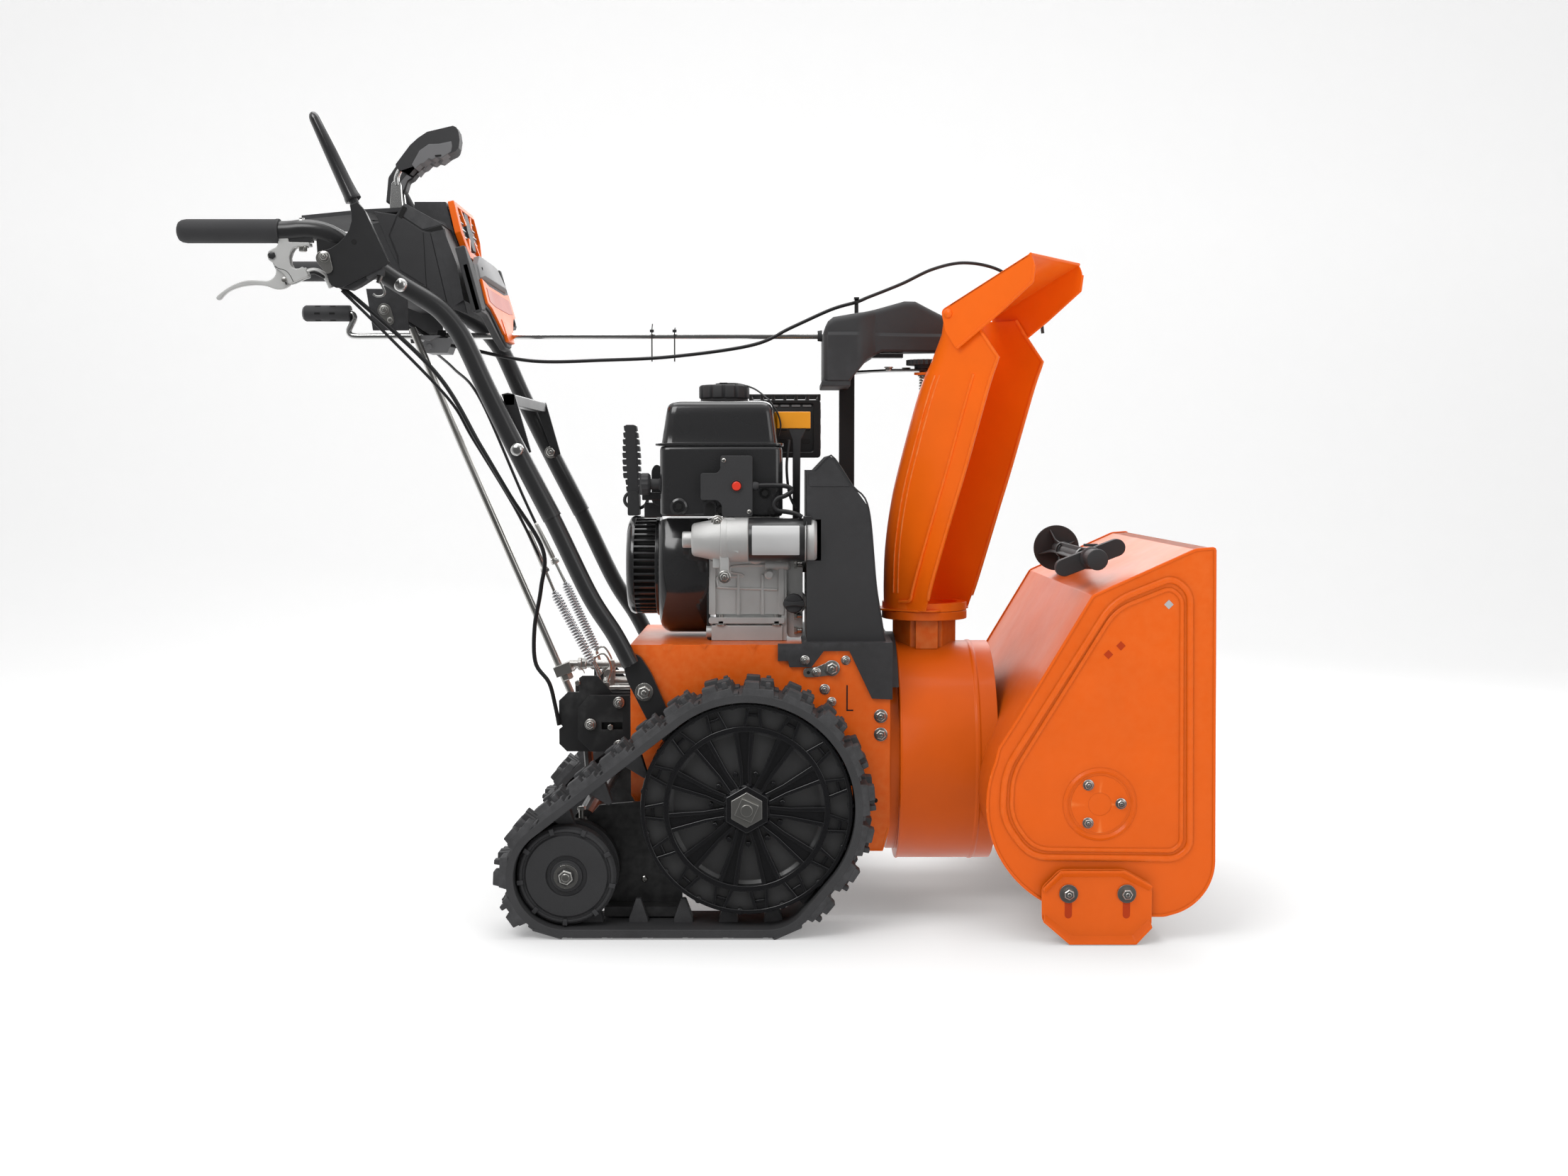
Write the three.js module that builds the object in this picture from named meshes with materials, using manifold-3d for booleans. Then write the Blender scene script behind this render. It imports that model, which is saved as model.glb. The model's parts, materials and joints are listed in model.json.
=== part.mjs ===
// Tracked two-stage snowblower, 610 mm clearing width, built as separate sub-parts.
// Units are millimetres. +X points forward (auger end), +Y to the operator's left, +Z up.
// Sub-parts are drawn about the point straight below the drive axle, at ground level in the mid plane;
// add() then moves them so that the origin is the bottom centre of the whole machine's bounding box.
import * as THREE from 'three';
import { mergeVertices } from 'three/addons/utils/BufferGeometryUtils.js';
import Module from 'manifold-3d';

const wasm = await Module();
wasm.setup();

// ---------------------------------------------------------------- driving dimensions
const GAP = 0.3;                 // clearance between touching pieces

const BOX_CENTRE_X = -70.25;     // middle of the machine's length, from the drive axle
const SOLE_Z = 0.5;              // lowest face, the skid shoes' soles
const AXLE_Z = 182;              // drive axle height
const FRAME_HALF = 165;          // half width over the tractor frame's side walls
const FRAME_SHEET = 3;
const FRAME_REAR_X = -172;
const FRAME_FRONT_X = 207;
const DECK_Z = 401;              // top of the engine deck

const BAND_IN = 190;             // inner and outer edge of a track band, from the mid plane
const BAND_OUT = 297;
const BAND_T = 11.5;             // rubber thickness of the band
const WHEEL_WRAP_R = 151.5;      // inside radius of the band round the drive wheel
const WHEEL_R = 149;             // drive wheel rim
const WHEEL_IN = 206;            // inner and outer face of the wheel
const WHEEL_OUT = 284;
const SPROCKET_TEETH = 15;
const IDLER_X = -253;
const IDLER_Z = 87.4;
const IDLER_R = 70;
const IDLER_WRAP_R = 72.5;
const NOSE_X = 30;               // where the ground run starts to lift in front
const NOSE_R = 60;
const LUG_H = 17;
const LUG_L = 26;
const HORN_H = 33;               // guide horns along the middle of the band
const HORN_OUT = 256;
const HORN_IN = 236;
const GROOVE_OUT = HORN_OUT + 2; // groove that the horns run in, round the wheel and the idler
const GROOVE_IN = HORN_IN - 2;
const GROOVE_DEEP = HORN_H + 3;

const AUGER_X = 488.7;           // auger cross shaft
const AUGER_Z = 194;
const AUGER_R = 142;
const HOUSING_HALF = 307;        // half width over the housing's side plates
const HOUSING_SHEET = 3;
const HOUSING_ARC_R = 152;       // curved back of the housing round the auger
const DRUM_Z = 223;              // impeller axis
const DRUM_R = 168;
const DRUM_REAR_X = 222;
const IMPELLER_R = 156;

const CHUTE_X = 269;             // chute's vertical turning axis
const CHUTE_YAW = -35 * Math.PI / 180;   // the chute rests turned to the operator's right
const CHUTE_SHEET = 3;
const RING_R = 65.5;
const RING_Z = 429;

const CRANK_Z = 509;             // engine crankshaft
const TUBE_Y = 181;              // centre plane of each handlebar tube
const TUBE_R = 12.7;
const UPPER_TUBE_R = 14;
const GRIP_R = 16.5;

const ROD_Y = 30;                // chute crank rod
const ROD_Z = 862;
const ROD_R = 4.8;

// ---------------------------------------------------------------- solid helpers

function positionsOnly(geometry) {
  const g = geometry.clone();
  g.deleteAttribute('normal');
  g.deleteAttribute('uv');
  return mergeVertices(g, 1e-3);
}

// Signed volume of a triangle soup; negative when the faces look inwards.
function signedVolume(position, index) {
  const a = new THREE.Vector3();
  const b = new THREE.Vector3();
  const c = new THREE.Vector3();
  let volume = 0;
  for (let i = 0; i < index.length; i += 3) {
    a.fromBufferAttribute(position, index[i]);
    b.fromBufferAttribute(position, index[i + 1]);
    c.fromBufferAttribute(position, index[i + 2]);
    volume += a.dot(b.cross(c)) / 6;
  }
  return volume;
}

function toManifold(geometry) {
  const g = positionsOnly(geometry);
  const source = Array.from(g.index.array);
  const index = [];
  for (let i = 0; i < source.length; i += 3) {
    const [p, q, r] = source.slice(i, i + 3);
    if (p !== q && q !== r && r !== p) index.push(p, q, r);
  }
  if (signedVolume(g.attributes.position, index) < 0) index.reverse();
  return new wasm.Manifold(new wasm.Mesh({
    numProp: 3,
    vertProperties: new Float32Array(g.attributes.position.array),
    triVerts: new Uint32Array(index),
  }));
}

function fromManifold(solid) {
  const mesh = solid.getMesh();
  const g = new THREE.BufferGeometry();
  g.setAttribute('position', new THREE.BufferAttribute(new Float32Array(mesh.vertProperties), 3));
  g.setIndex(new THREE.BufferAttribute(new Uint32Array(mesh.triVerts), 1));
  g.computeVertexNormals();
  return g;
}

function join(...pieces) {
  return fromManifold(pieces.map(toManifold).reduce((sum, solid) => sum.add(solid)));
}

function cut(body, ...tools) {
  return fromManifold(tools.map(toManifold).reduce((rest, tool) => rest.subtract(tool), toManifold(body)));
}

// Mirror a solid to the other side of the machine.
function mirrored(geometry) {
  const g = positionsOnly(geometry);
  g.scale(1, -1, 1);
  return fromManifold(toManifold(g));
}

// Box from one corner to the opposite corner.
function box(x0, x1, y0, y1, z0, z1) {
  const g = new THREE.BoxGeometry(x1 - x0, y1 - y0, z1 - z0);
  return g.translate((x0 + x1) / 2, (y0 + y1) / 2, (z0 + z1) / 2);
}

function alongX(geometry) {
  return geometry.rotateZ(-Math.PI / 2);
}

function alongZ(geometry) {
  return geometry.rotateX(Math.PI / 2);
}

function rodX(r, x0, x1, y, z, sides = 16) {
  return alongX(new THREE.CylinderGeometry(r, r, x1 - x0, sides)).translate((x0 + x1) / 2, y, z);
}

function rodY(r, y0, y1, x, z, sides = 16) {
  return new THREE.CylinderGeometry(r, r, y1 - y0, sides).translate(x, (y0 + y1) / 2, z);
}

function rodZ(r, z0, z1, x, y, sides = 16) {
  return alongZ(new THREE.CylinderGeometry(r, r, z1 - z0, sides)).translate(x, y, (z0 + z1) / 2);
}

function shapeOf(points, holes = []) {
  const shape = new THREE.Shape(points.map(([a, b]) => new THREE.Vector2(a, b)));
  for (const hole of holes) shape.holes.push(new THREE.Path(hole.map(([a, b]) => new THREE.Vector2(a, b))));
  return shape;
}

function extruded(points, depth, holes) {
  return new THREE.ExtrudeGeometry(shapeOf(points, holes), { depth, bevelEnabled: false, steps: 1 });
}

// Flat outline in (x, z), thick from y0 to y1.
function plateXZ(points, y0, y1, holes) {
  return extruded(points, y1 - y0, holes).rotateX(Math.PI / 2).translate(0, y1, 0);
}

// Flat outline in (y, z), thick from x0 to x1.
function plateYZ(points, x0, x1, holes) {
  const turn = new THREE.Matrix4().makeBasis(
    new THREE.Vector3(0, 1, 0), new THREE.Vector3(0, 0, 1), new THREE.Vector3(1, 0, 0));
  return extruded(points, x1 - x0, holes).applyMatrix4(turn).translate(x0, 0, 0);
}

// Flat outline in (x, y), thick from z0 to z1.
function plateXY(points, z0, z1, holes) {
  return extruded(points, z1 - z0, holes).translate(0, 0, z0);
}

// Points on an arc, angles in degrees.
function arc(cx, cz, r, from, to, steps) {
  const points = [];
  for (let i = 0; i <= steps; i++) {
    const a = (from + (to - from) * i / steps) * Math.PI / 180;
    points.push([cx + r * Math.cos(a), cz + r * Math.sin(a)]);
  }
  return points;
}

function circle(cx, cz, r, sides) {
  return arc(cx, cz, r, 0, 360 * (1 - 1 / sides), sides - 1);
}

// Solid of revolution about Z from [radius, height] pairs that start and end on the axis.
function turned(profile, sides = 24) {
  const points = profile.map(([r, h]) => new THREE.Vector2(Math.max(r, 0), h));
  return new THREE.LatheGeometry(points, sides).rotateX(Math.PI / 2);
}

// Closed body from rows of closed rings, with a centre point capping each end.
function skinned(rings) {
  const n = rings[0].length;
  const vertices = rings.flat();
  const index = [];
  for (let i = 0; i + 1 < rings.length; i++) {
    for (let j = 0; j < n; j++) {
      const a = i * n + j;
      const b = i * n + (j + 1) % n;
      index.push(a, b, a + n, b, b + n, a + n);
    }
  }
  for (const [row, flip] of [[0, true], [rings.length - 1, false]]) {
    const centre = new THREE.Vector3();
    rings[row].forEach((p) => centre.add(p));
    vertices.push(centre.divideScalar(n));
    for (let j = 0; j < n; j++) {
      const a = row * n + j;
      const b = row * n + (j + 1) % n;
      if (flip) index.push(vertices.length - 1, b, a);
      else index.push(vertices.length - 1, a, b);
    }
  }
  return indexed(vertices, index);
}

function indexed(vertices, index) {
  const g = new THREE.BufferGeometry();
  g.setAttribute('position', new THREE.Float32BufferAttribute(vertices.flatMap((p) => [p.x, p.y, p.z]), 3));
  g.setIndex(index);
  g.setAttribute('normal', new THREE.Float32BufferAttribute(new Float32Array(vertices.length * 3), 3));
  return g;
}

// Round bar along a list of [x, y, z] points; radius may change from point to point.
function bar(points, radius, sides = 8) {
  const path = points.map(([x, y, z]) => new THREE.Vector3(x, y, z));
  const rings = [];
  let across = null;
  path.forEach((p, i) => {
    const before = path[Math.max(i - 1, 0)];
    const after = path[Math.min(i + 1, path.length - 1)];
    const inward = p.clone().sub(before);
    const outward = after.clone().sub(p);
    const tangent = inward.clone().normalize().add(outward.clone().normalize()).normalize();
    if (!across) {
      across = new THREE.Vector3(0, 1, 0);
      if (Math.abs(tangent.y) > 0.9) across.set(1, 0, 0);
    }
    across = across.sub(tangent.clone().multiplyScalar(across.dot(tangent))).normalize();
    const up = tangent.clone().cross(across);
    const r = Array.isArray(radius) ? radius[i] : radius;
    rings.push(Array.from({ length: sides }, (_, k) => {
      const a = 2 * Math.PI * k / sides;
      return p.clone().addScaledVector(across, r * Math.cos(a)).addScaledVector(up, r * Math.sin(a));
    }));
  });
  return skinned(rings);
}

// Smooth curve through a few points, returned as a finer list.
function smooth(points, count) {
  const curve = new THREE.CatmullRomCurve3(points.map(([x, y, z]) => new THREE.Vector3(x, y, z)), false,
    'centripetal');
  return curve.getSpacedPoints(count).map((p) => [p.x, p.y, p.z]);
}

// Thick sheet between two equal grids of points (rows of columns).
function sheet(front, back) {
  const rows = front.length;
  const cols = front[0].length;
  const vertices = [...front.flat(), ...back.flat()];
  const index = [];
  const half = rows * cols;
  const quad = (a, b, c, d) => index.push(a, b, c, a, c, d);
  for (let i = 0; i + 1 < rows; i++) {
    for (let j = 0; j + 1 < cols; j++) {
      const a = i * cols + j;
      quad(a, a + 1, a + cols + 1, a + cols);
      quad(half + a, half + a + cols, half + a + cols + 1, half + a + 1);
    }
  }
  for (let j = 0; j + 1 < cols; j++) {
    const last = (rows - 1) * cols + j;
    quad(j + 1, j, half + j, half + j + 1);
    quad(last, last + 1, half + last + 1, half + last);
  }
  for (let i = 0; i + 1 < rows; i++) {
    const a = i * cols;
    const b = a + cols - 1;
    quad(a, a + cols, half + a + cols, half + a);
    quad(b + cols, b, half + b, half + b + cols);
  }
  return indexed(vertices, index);
}

// ---------------------------------------------------------------- assembly and finishes

const group = new THREE.Group();
group.name = 'two_stage_snowblower';

const FINISH = {
  orange: [0xf26a1b, 0.35, 0.0],
  matteBlack: [0x35363a, 0.75, 0.0],
  glossBlack: [0x141416, 0.25, 0.0],
  blackPaint: [0x202124, 0.45, 0.2],
  rubber: [0x3a3a3c, 0.9, 0.0],
  alu: [0xb8bab8, 0.45, 0.9],
  zinc: [0xc4c6c4, 0.35, 1.0],
  steel: [0x8f9194, 0.4, 1.0],
  red: [0xd83a1e, 0.4, 0.0],
};

function add(name, geometry, finish) {
  const [color, roughness, metalness] = FINISH[finish];
  const solid = fromManifold(toManifold(geometry.translate(-BOX_CENTRE_X, 0, -SOLE_Z)));
  const mesh = new THREE.Mesh(solid, new THREE.MeshStandardMaterial({ color, roughness, metalness }));
  mesh.name = name;
  group.add(mesh);
}

// ---------------------------------------------------------------- tractor frame

const AXLE_R = 12.5;
const AXLE_HOLE_R = AXLE_R + GAP;
const IMPELLER_SHAFT_R = 12;

function tractorFrame() {
  const side = [
    [FRAME_REAR_X, DECK_Z], [FRAME_REAR_X, 180], [-120, 97], [197, 97], [FRAME_FRONT_X, 131],
    [FRAME_FRONT_X, DECK_Z],
  ];
  const axleHole = circle(0, AXLE_Z, AXLE_HOLE_R, 24);
  const inner = FRAME_HALF - FRAME_SHEET;
  const deck = box(FRAME_REAR_X, FRAME_FRONT_X, -FRAME_HALF, FRAME_HALF, DECK_Z - FRAME_SHEET, DECK_Z);
  const motorWall = box(105, 108, -FRAME_HALF, FRAME_HALF, 97, DECK_Z);
  const rearWall = box(FRAME_REAR_X, FRAME_REAR_X + FRAME_SHEET, -FRAME_HALF, FRAME_HALF, 180, DECK_Z);
  const rearWindow = box(FRAME_REAR_X - 1, FRAME_REAR_X + 5, -70, 70, 230, 380);
  const beltOpening = box(110, FRAME_FRONT_X + 1, -64, 64, DECK_Z - 5, DECK_Z + 1);
  return cut(
    join(
      plateXZ(side, -FRAME_HALF, -inner, [axleHole]),
      plateXZ(side, inner, FRAME_HALF, [axleHole]),
      deck, motorWall, rearWall),
    rearWindow,
    beltOpening,
    rodX(IMPELLER_SHAFT_R + 8, 100, 112, 0, DRUM_Z),
  );
}

function rearBracket() {
  const x1 = FRAME_REAR_X - GAP;
  const wing = [
    [x1, 234.5], [-273, 234.5], [-284.4, 246], [-284.4, 268], [-279, 272.5], [-284.4, 277], [-284.4, 311],
    [-271, 324], [-254, 324], [-254, 345], [-249, 348.5], [-227, 348.5], [-205, 324], [x1, 324],
  ];
  const plate = [
    [x1, 237], [-235, 237], [-254, 256], [-254, 302], [-237, 321.5], [x1, 321.5],
  ];
  const slot = [[-219, 270], [-188, 270], [-188, 281], [-219, 281]];
  const right = join(
    plateXZ(wing, -104, -101),
    plateXZ(plate, -121, -118, [slot]),
    box(x1 - 3, x1, -140, -101, 237, 321),
    ...[[-192.7, 311], [-235.2, 278.4], [-192.9, 246.5]].map(([x, z]) => rodY(6, -124, -98, x, z, 6)),
  );
  const lowStrip = box(x1 - 3, x1, -110, 110, 237, 250);
  const highStrip = box(x1 - 3, x1, -110, 110, 300, 321);
  return join(right, mirrored(right), lowStrip, highStrip);
}

// ---------------------------------------------------------------- wheels, idlers and tracks

// Points of a closed belt running round circles, given in order anticlockwise.
function beltPath(circles, offset) {
  const turns = circles.map(([x, z, r], i) => {
    const [x2, z2, r2] = circles[(i + 1) % circles.length];
    const heading = Math.atan2(z2 - z, x2 - x);
    return heading - Math.acos((r - r2) / Math.hypot(x2 - x, z2 - z));
  });
  const points = [];
  circles.forEach(([x, z, r], i) => {
    let from = turns[(i + circles.length - 1) % circles.length];
    const to = turns[i];
    while (from > to) from -= 2 * Math.PI;
    while (to - from > 2 * Math.PI) from += 2 * Math.PI;
    const steps = Math.max(2, Math.ceil((to - from) / (Math.PI / 18)));
    for (let k = 0; k <= steps; k++) {
      const a = from + (to - from) * k / steps;
      points.push([x + (r + offset) * Math.cos(a), z + (r + offset) * Math.sin(a)]);
    }
  });
  return points;
}

const TRACK_CIRCLES = [
  [0, AXLE_Z, WHEEL_WRAP_R],
  [IDLER_X, IDLER_Z, IDLER_WRAP_R],
  [NOSE_X, IDLER_Z - IDLER_WRAP_R + NOSE_R, NOSE_R],
];

// Evenly spaced stations on a closed path, each with its position and outward angle.
function stations(path, count) {
  const lengths = path.map(([x, z], i) => {
    const [x2, z2] = path[(i + 1) % path.length];
    return Math.hypot(x2 - x, z2 - z);
  });
  const total = lengths.reduce((sum, l) => sum + l, 0);
  return Array.from({ length: count }, (_, k) => {
    let left = total * (k + 0.3) / count;
    let i = 0;
    while (left > lengths[i]) left -= lengths[i++];
    const [x, z] = path[i];
    const [x2, z2] = path[(i + 1) % path.length];
    const t = left / lengths[i];
    const along = Math.atan2(z2 - z, x2 - x);
    return { x: x + (x2 - x) * t, z: z + (z2 - z) * t, out: along - Math.PI / 2 };
  });
}

const LUG_COUNT = 24;
const HORN_COUNT = 20;
const GROUND_LUG_H = 1.5;        // lugs of the ground run are pressed almost flat

function trackRight() {
  const inner = beltPath(TRACK_CIRCLES, 0);
  const outer = beltPath(TRACK_CIRCLES, BAND_T);
  const band = plateXZ(outer, -BAND_OUT, -BAND_IN, [inner]);
  const lugs = stations(outer, LUG_COUNT).map(({ x, z, out }) => {
    const grounded = z < IDLER_Z - IDLER_WRAP_R;
    const h = grounded ? GROUND_LUG_H : LUG_H;
    const lug = box(-3, h, -BAND_OUT + 3, -BAND_IN - 3, -LUG_L / 2, LUG_L / 2);
    return lug.rotateY(-out).translate(x, 0, z);
  });
  const horns = stations(inner, HORN_COUNT).map(({ x, z, out }) => {
    const profile = [[3, -14], [-8, -14], [-HORN_H, -4], [-HORN_H, 4], [-8, 14], [3, 14]];
    return plateXZ(profile, -HORN_OUT, -HORN_IN).rotateY(-out).translate(x, 0, z);
  });
  return join(band, ...lugs, ...horns);
}

function driveWheelRight() {
  const spokes = SPROCKET_TEETH;
  const tyre = rodY(WHEEL_R, -WHEEL_OUT, -WHEEL_IN, 0, AXLE_Z, 45);
  const hollow = rodY(WHEEL_R - 9, -WHEEL_IN - 22, -WHEEL_IN + 1, 0, AXLE_Z, 32);
  const dish = turned([[0, 0], [26, 0], [112, 14], [112, 30], [0, 30]], 30)
    .rotateX(-Math.PI / 2).translate(0, -WHEEL_OUT - 14, AXLE_Z);
  const windows = Array.from({ length: spokes }, (_, k) => {
    const window = plateXZ([[120, -11], [144, -15], [144, 15], [120, 11]], -WHEEL_OUT - 1, -WHEEL_OUT + 20);
    return window.rotateY(-2 * Math.PI * k / spokes).translate(0, 0, AXLE_Z);
  });
  const groove = cut(
    rodY(WHEEL_R + 5, -GROOVE_OUT, -GROOVE_IN, 0, AXLE_Z, 45),
    rodY(WHEEL_WRAP_R - GROOVE_DEEP, -GROOVE_OUT - 1, -GROOVE_IN + 1, 0, AXLE_Z, 45));
  const hub = rodY(30, -WHEEL_OUT, -WHEEL_IN + 4, 0, AXLE_Z, 24);
  const bore = rodY(AXLE_R + GAP, -WHEEL_OUT - 1, -WHEEL_IN + 5, 0, AXLE_Z, 24);
  return cut(join(cut(tyre, hollow, dish, groove, ...windows), hub), bore);
}

// Half shaft with the zinc hub nut on its outer end.
function axleRight() {
  return join(
    rodY(AXLE_R, -WHEEL_OUT - 1, -2, 0, AXLE_Z, 24),
    rodY(26, -WHEEL_OUT - 7, -WHEEL_OUT - GAP, 0, AXLE_Z, 6),
    rodY(9, -WHEEL_OUT - 12, -WHEEL_OUT - 7, 0, AXLE_Z, 16),
  );
}

const IDLER_PIN_R = 9;

function idlerRight() {
  const groove = IDLER_WRAP_R - GROOVE_DEEP;
  const grooveFrom = WHEEL_OUT - 1 - GROOVE_OUT;
  const grooveTo = WHEEL_OUT - 1 - GROOVE_IN;
  const profile = [
    [IDLER_PIN_R + GAP, 0], [30, 0], [34, 5], [58, 5], [65, 1], [IDLER_R, 8], [IDLER_R, grooveFrom],
    [groove, grooveFrom], [groove, grooveTo], [IDLER_R, grooveTo], [IDLER_R, 66], [62, 74],
    [IDLER_PIN_R + GAP, 74], [IDLER_PIN_R + GAP, 0],
  ];
  return turned(profile, 30).rotateX(-Math.PI / 2).translate(IDLER_X, -WHEEL_OUT + 1, IDLER_Z);
}

const YOKE_Y0 = -201;            // side plate between the idler and the drive wheel
const YOKE_Y1 = -195;
const CROSS_X = -236;
const CROSS_Z = 152;

function trackFrame() {
  const outline = [
    ...arc(0, AXLE_Z, 44, -60, 110, 8), [-150, 178], [-215, 172],
    ...arc(IDLER_X, IDLER_Z, 30, 110, 250, 6), [-40, 52],
  ];
  const hole = circle(0, AXLE_Z, AXLE_R + GAP, 24);
  const side = join(
    plateXZ(outline, YOKE_Y0, YOKE_Y1, [hole]),
    box(-205, -95, -236, YOKE_Y0 + 1, 18, 32),
    box(-205, -95, YOKE_Y0, YOKE_Y1, 18, 60),
    rodY(IDLER_PIN_R, -WHEEL_OUT - 3, YOKE_Y1, IDLER_X, IDLER_Z),
    rodY(13, -WHEEL_OUT - 8, -WHEEL_OUT, IDLER_X, IDLER_Z, 6),
  );
  const crossTube = rodY(14, YOKE_Y0 + 2, -YOKE_Y0 - 2, CROSS_X, CROSS_Z);
  const strut = join(
    bar([[CROSS_X, -80, CROSS_Z], [-241, -80, 190], [-246, -80, 262]], 7, 8),
    rodY(9, -92, -68, -246, 262),
  );
  return join(side, mirrored(side), crossTube, strut);
}

// ---------------------------------------------------------------- auger housing

// Back of the housing from the top front edge round to the scraper lip, offset inwards.
function housingCurve(offset) {
  const r = HOUSING_ARC_R - offset;
  const slope = [[376.3 + 0.86 * offset, 314.2 - 0.51 * offset], [476.3 + 0.6 * offset, 482.6 - offset]];
  return [
    [642, 548 - offset], [616, 546 - offset], slope[1], slope[0],
    ...arc(AUGER_X, AUGER_Z, r, 150, 268, 11),
    [560, 38 + offset],
  ];
}

function housingSide() {
  return [
    [642, 548], [616, 546], [476.3, 482.6], [376.3, 314.2], [349.3, 271.3],
    ...arc(AUGER_X, AUGER_Z, HOUSING_ARC_R + 3, 158, 250, 9),
    [560, 38], [580, 38], ...arc(572, 114, 75.5, -70, 0, 5),
  ];
}

const NECK_R = 49;               // six-sided neck under the chute ring
const SKID_BOLTS_X = [445.3, 525.6];
const SKID_BOLT_Z = 71;

function augerHousing() {
  const inside = HOUSING_HALF - HOUSING_SHEET;
  const shell = plateXZ([...housingCurve(0), ...housingCurve(HOUSING_SHEET).reverse()], -inside - 1,
    inside + 1);
  const drumTube = rodX(DRUM_R, DRUM_REAR_X, 440, 0, DRUM_Z, 40);
  const neck = rodZ(NECK_R, DRUM_Z, RING_Z, CHUTE_X, 0, 6);
  const ring = rodZ(RING_R, RING_Z - 1, RING_Z + 11, CHUTE_X, 0, 28);
  const outside = plateXZ([...housingCurve(HOUSING_SHEET / 2), [760, 38], [760, 548]], -inside, inside);
  const rearDisc = rodX(DRUM_R - 13, FRAME_FRONT_X + GAP, DRUM_REAR_X + 1, 0, DRUM_Z, 40);
  const bodies = join(shell, cut(join(drumTube, rearDisc, neck, ring), outside));
  const bore = rodX(DRUM_R - 3, DRUM_REAR_X + 3, 450, 0, DRUM_Z, 40);
  const throat = rodZ(NECK_R - 4, DRUM_Z, RING_Z + 20, CHUTE_X, 0, 6);
  const shaftHole = rodX(IMPELLER_SHAFT_R + GAP, FRAME_FRONT_X - 5, DRUM_REAR_X + 5, 0, DRUM_Z);
  const plates = [-1, 1].map((s) => plateXZ(housingSide(), s > 0 ? inside : -HOUSING_HALF,
    s > 0 ? HOUSING_HALF : -inside));
  const scraper = box(556, 590, -inside, inside, 38, 43);
  const skidBolts = SKID_BOLTS_X.flatMap((x) => [-1, 1].map((s) => join(
    rodY(5, s > 0 ? inside : -324, s > 0 ? 324 : -inside, x, SKID_BOLT_Z, 8),
    rodY(11.5, s > 0 ? 317 : -319, s > 0 ? 319 : -317, x, SKID_BOLT_Z, 12))));
  return cut(join(bodies, ...plates, scraper, ...skidBolts), bore, throat, shaftHole,
    ...[-1, 1].map((s) => rodY(AUGER_SHAFT_R + GAP, s > 0 ? 290 : -315, s > 0 ? 315 : -290, AUGER_X,
      AUGER_Z)));
}

const SKID_LIFT = 30;

function skidRight() {
  const outline = [[408, 79.6], [433, 105], [522, 105], [561, 83.5], [561, 24.7], [539, 0.5], [446, 0.5],
    [409, 32.5]];
  const slots = SKID_BOLTS_X.map((x) => [
    ...arc(x, SKID_BOLT_Z, 5.5, 0, 180, 6), ...arc(x, SKID_BOLT_Z - SKID_LIFT - 2, 5.5, 180, 360, 6)]);
  const y = -HOUSING_HALF - 5;
  return join(
    plateXZ(outline, y - 4, y, slots),
    plateXZ([[446, 0.5], [539, 0.5], [561, 24.7], [557, 27], [537, 4.5], [448, 4.5], [412, 35], [409, 32.5]],
      y - 14, y - 2),
  );
}

// ---------------------------------------------------------------- auger, gearcase and impeller

const AUGER_SHAFT_R = 12.5;
const GEARCASE_HALF = 36;

function augerGearcase() {
  const body = join(
    rodY(50, -GEARCASE_HALF + 8, GEARCASE_HALF - 8, AUGER_X, AUGER_Z, 24),
    rodY(26, -GEARCASE_HALF, GEARCASE_HALF, AUGER_X, AUGER_Z, 20),
    rodX(24, 425, 510, 0, DRUM_Z, 20),
  );
  return cut(body,
    rodY(AUGER_SHAFT_R + GAP, -60, 60, AUGER_X, AUGER_Z, 24),
    rodX(IMPELLER_SHAFT_R + GAP, 420, 500, 0, DRUM_Z, 24));
}

function augerShaft() {
  return rodY(AUGER_SHAFT_R, -HOUSING_HALF - 1, HOUSING_HALF + 1, AUGER_X, AUGER_Z, 24);
}

// One side's ribbon screw on its sleeve, wound so that it carries snow to the middle.
function augerFlightRight() {
  const start = -GEARCASE_HALF - 14;
  const length = 228;
  const turns = 1.5;
  const steps = 24;
  const spread = (y0, thickness) => Array.from({ length: steps + 1 }, (_, i) => {
    const a = 2 * Math.PI * turns * i / steps;
    const y = start - length * i / steps + y0 * thickness;
    return [AUGER_SHAFT_R + 2, 62, AUGER_R].map((r) =>
      new THREE.Vector3(AUGER_X + r * Math.cos(a), y, AUGER_Z + r * Math.sin(a)));
  });
  const sleeve = rodY(AUGER_SHAFT_R + 6, start - length - 6, start + 10, AUGER_X, AUGER_Z, 20);
  const bore = rodY(AUGER_SHAFT_R + GAP, start - length - 10, start + 15, AUGER_X, AUGER_Z, 24);
  const ribbon = sheet(spread(0.5, 4), spread(-0.5, 4));
  return cut(join(sleeve, ribbon), bore);
}

const PULLEY_X0 = 130;

function impeller() {
  const blades = Array.from({ length: 3 }, (_, k) => {
    const arm = join(
      box(248, 318, -3, 3, 10, IMPELLER_R),
      box(248, 318, -3, 26, IMPELLER_R - 5, IMPELLER_R),
    );
    return arm.rotateX(2 * Math.PI * k / 3 + 0.5).translate(0, 0, DRUM_Z);
  });
  const hub = rodX(28, 240, 322, 0, DRUM_Z, 20);
  const shaft = rodX(IMPELLER_SHAFT_R, PULLEY_X0 - 12, 496, 0, DRUM_Z, 24);
  const pulley = turned([[0, 0], [88, 0], [78, 8], [78, 14], [88, 22], [0, 22]], 32)
    .rotateY(Math.PI / 2).translate(PULLEY_X0, 0, DRUM_Z);
  return join(shaft, hub, pulley, ...blades);
}

// ---------------------------------------------------------------- chute and deflector

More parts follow.
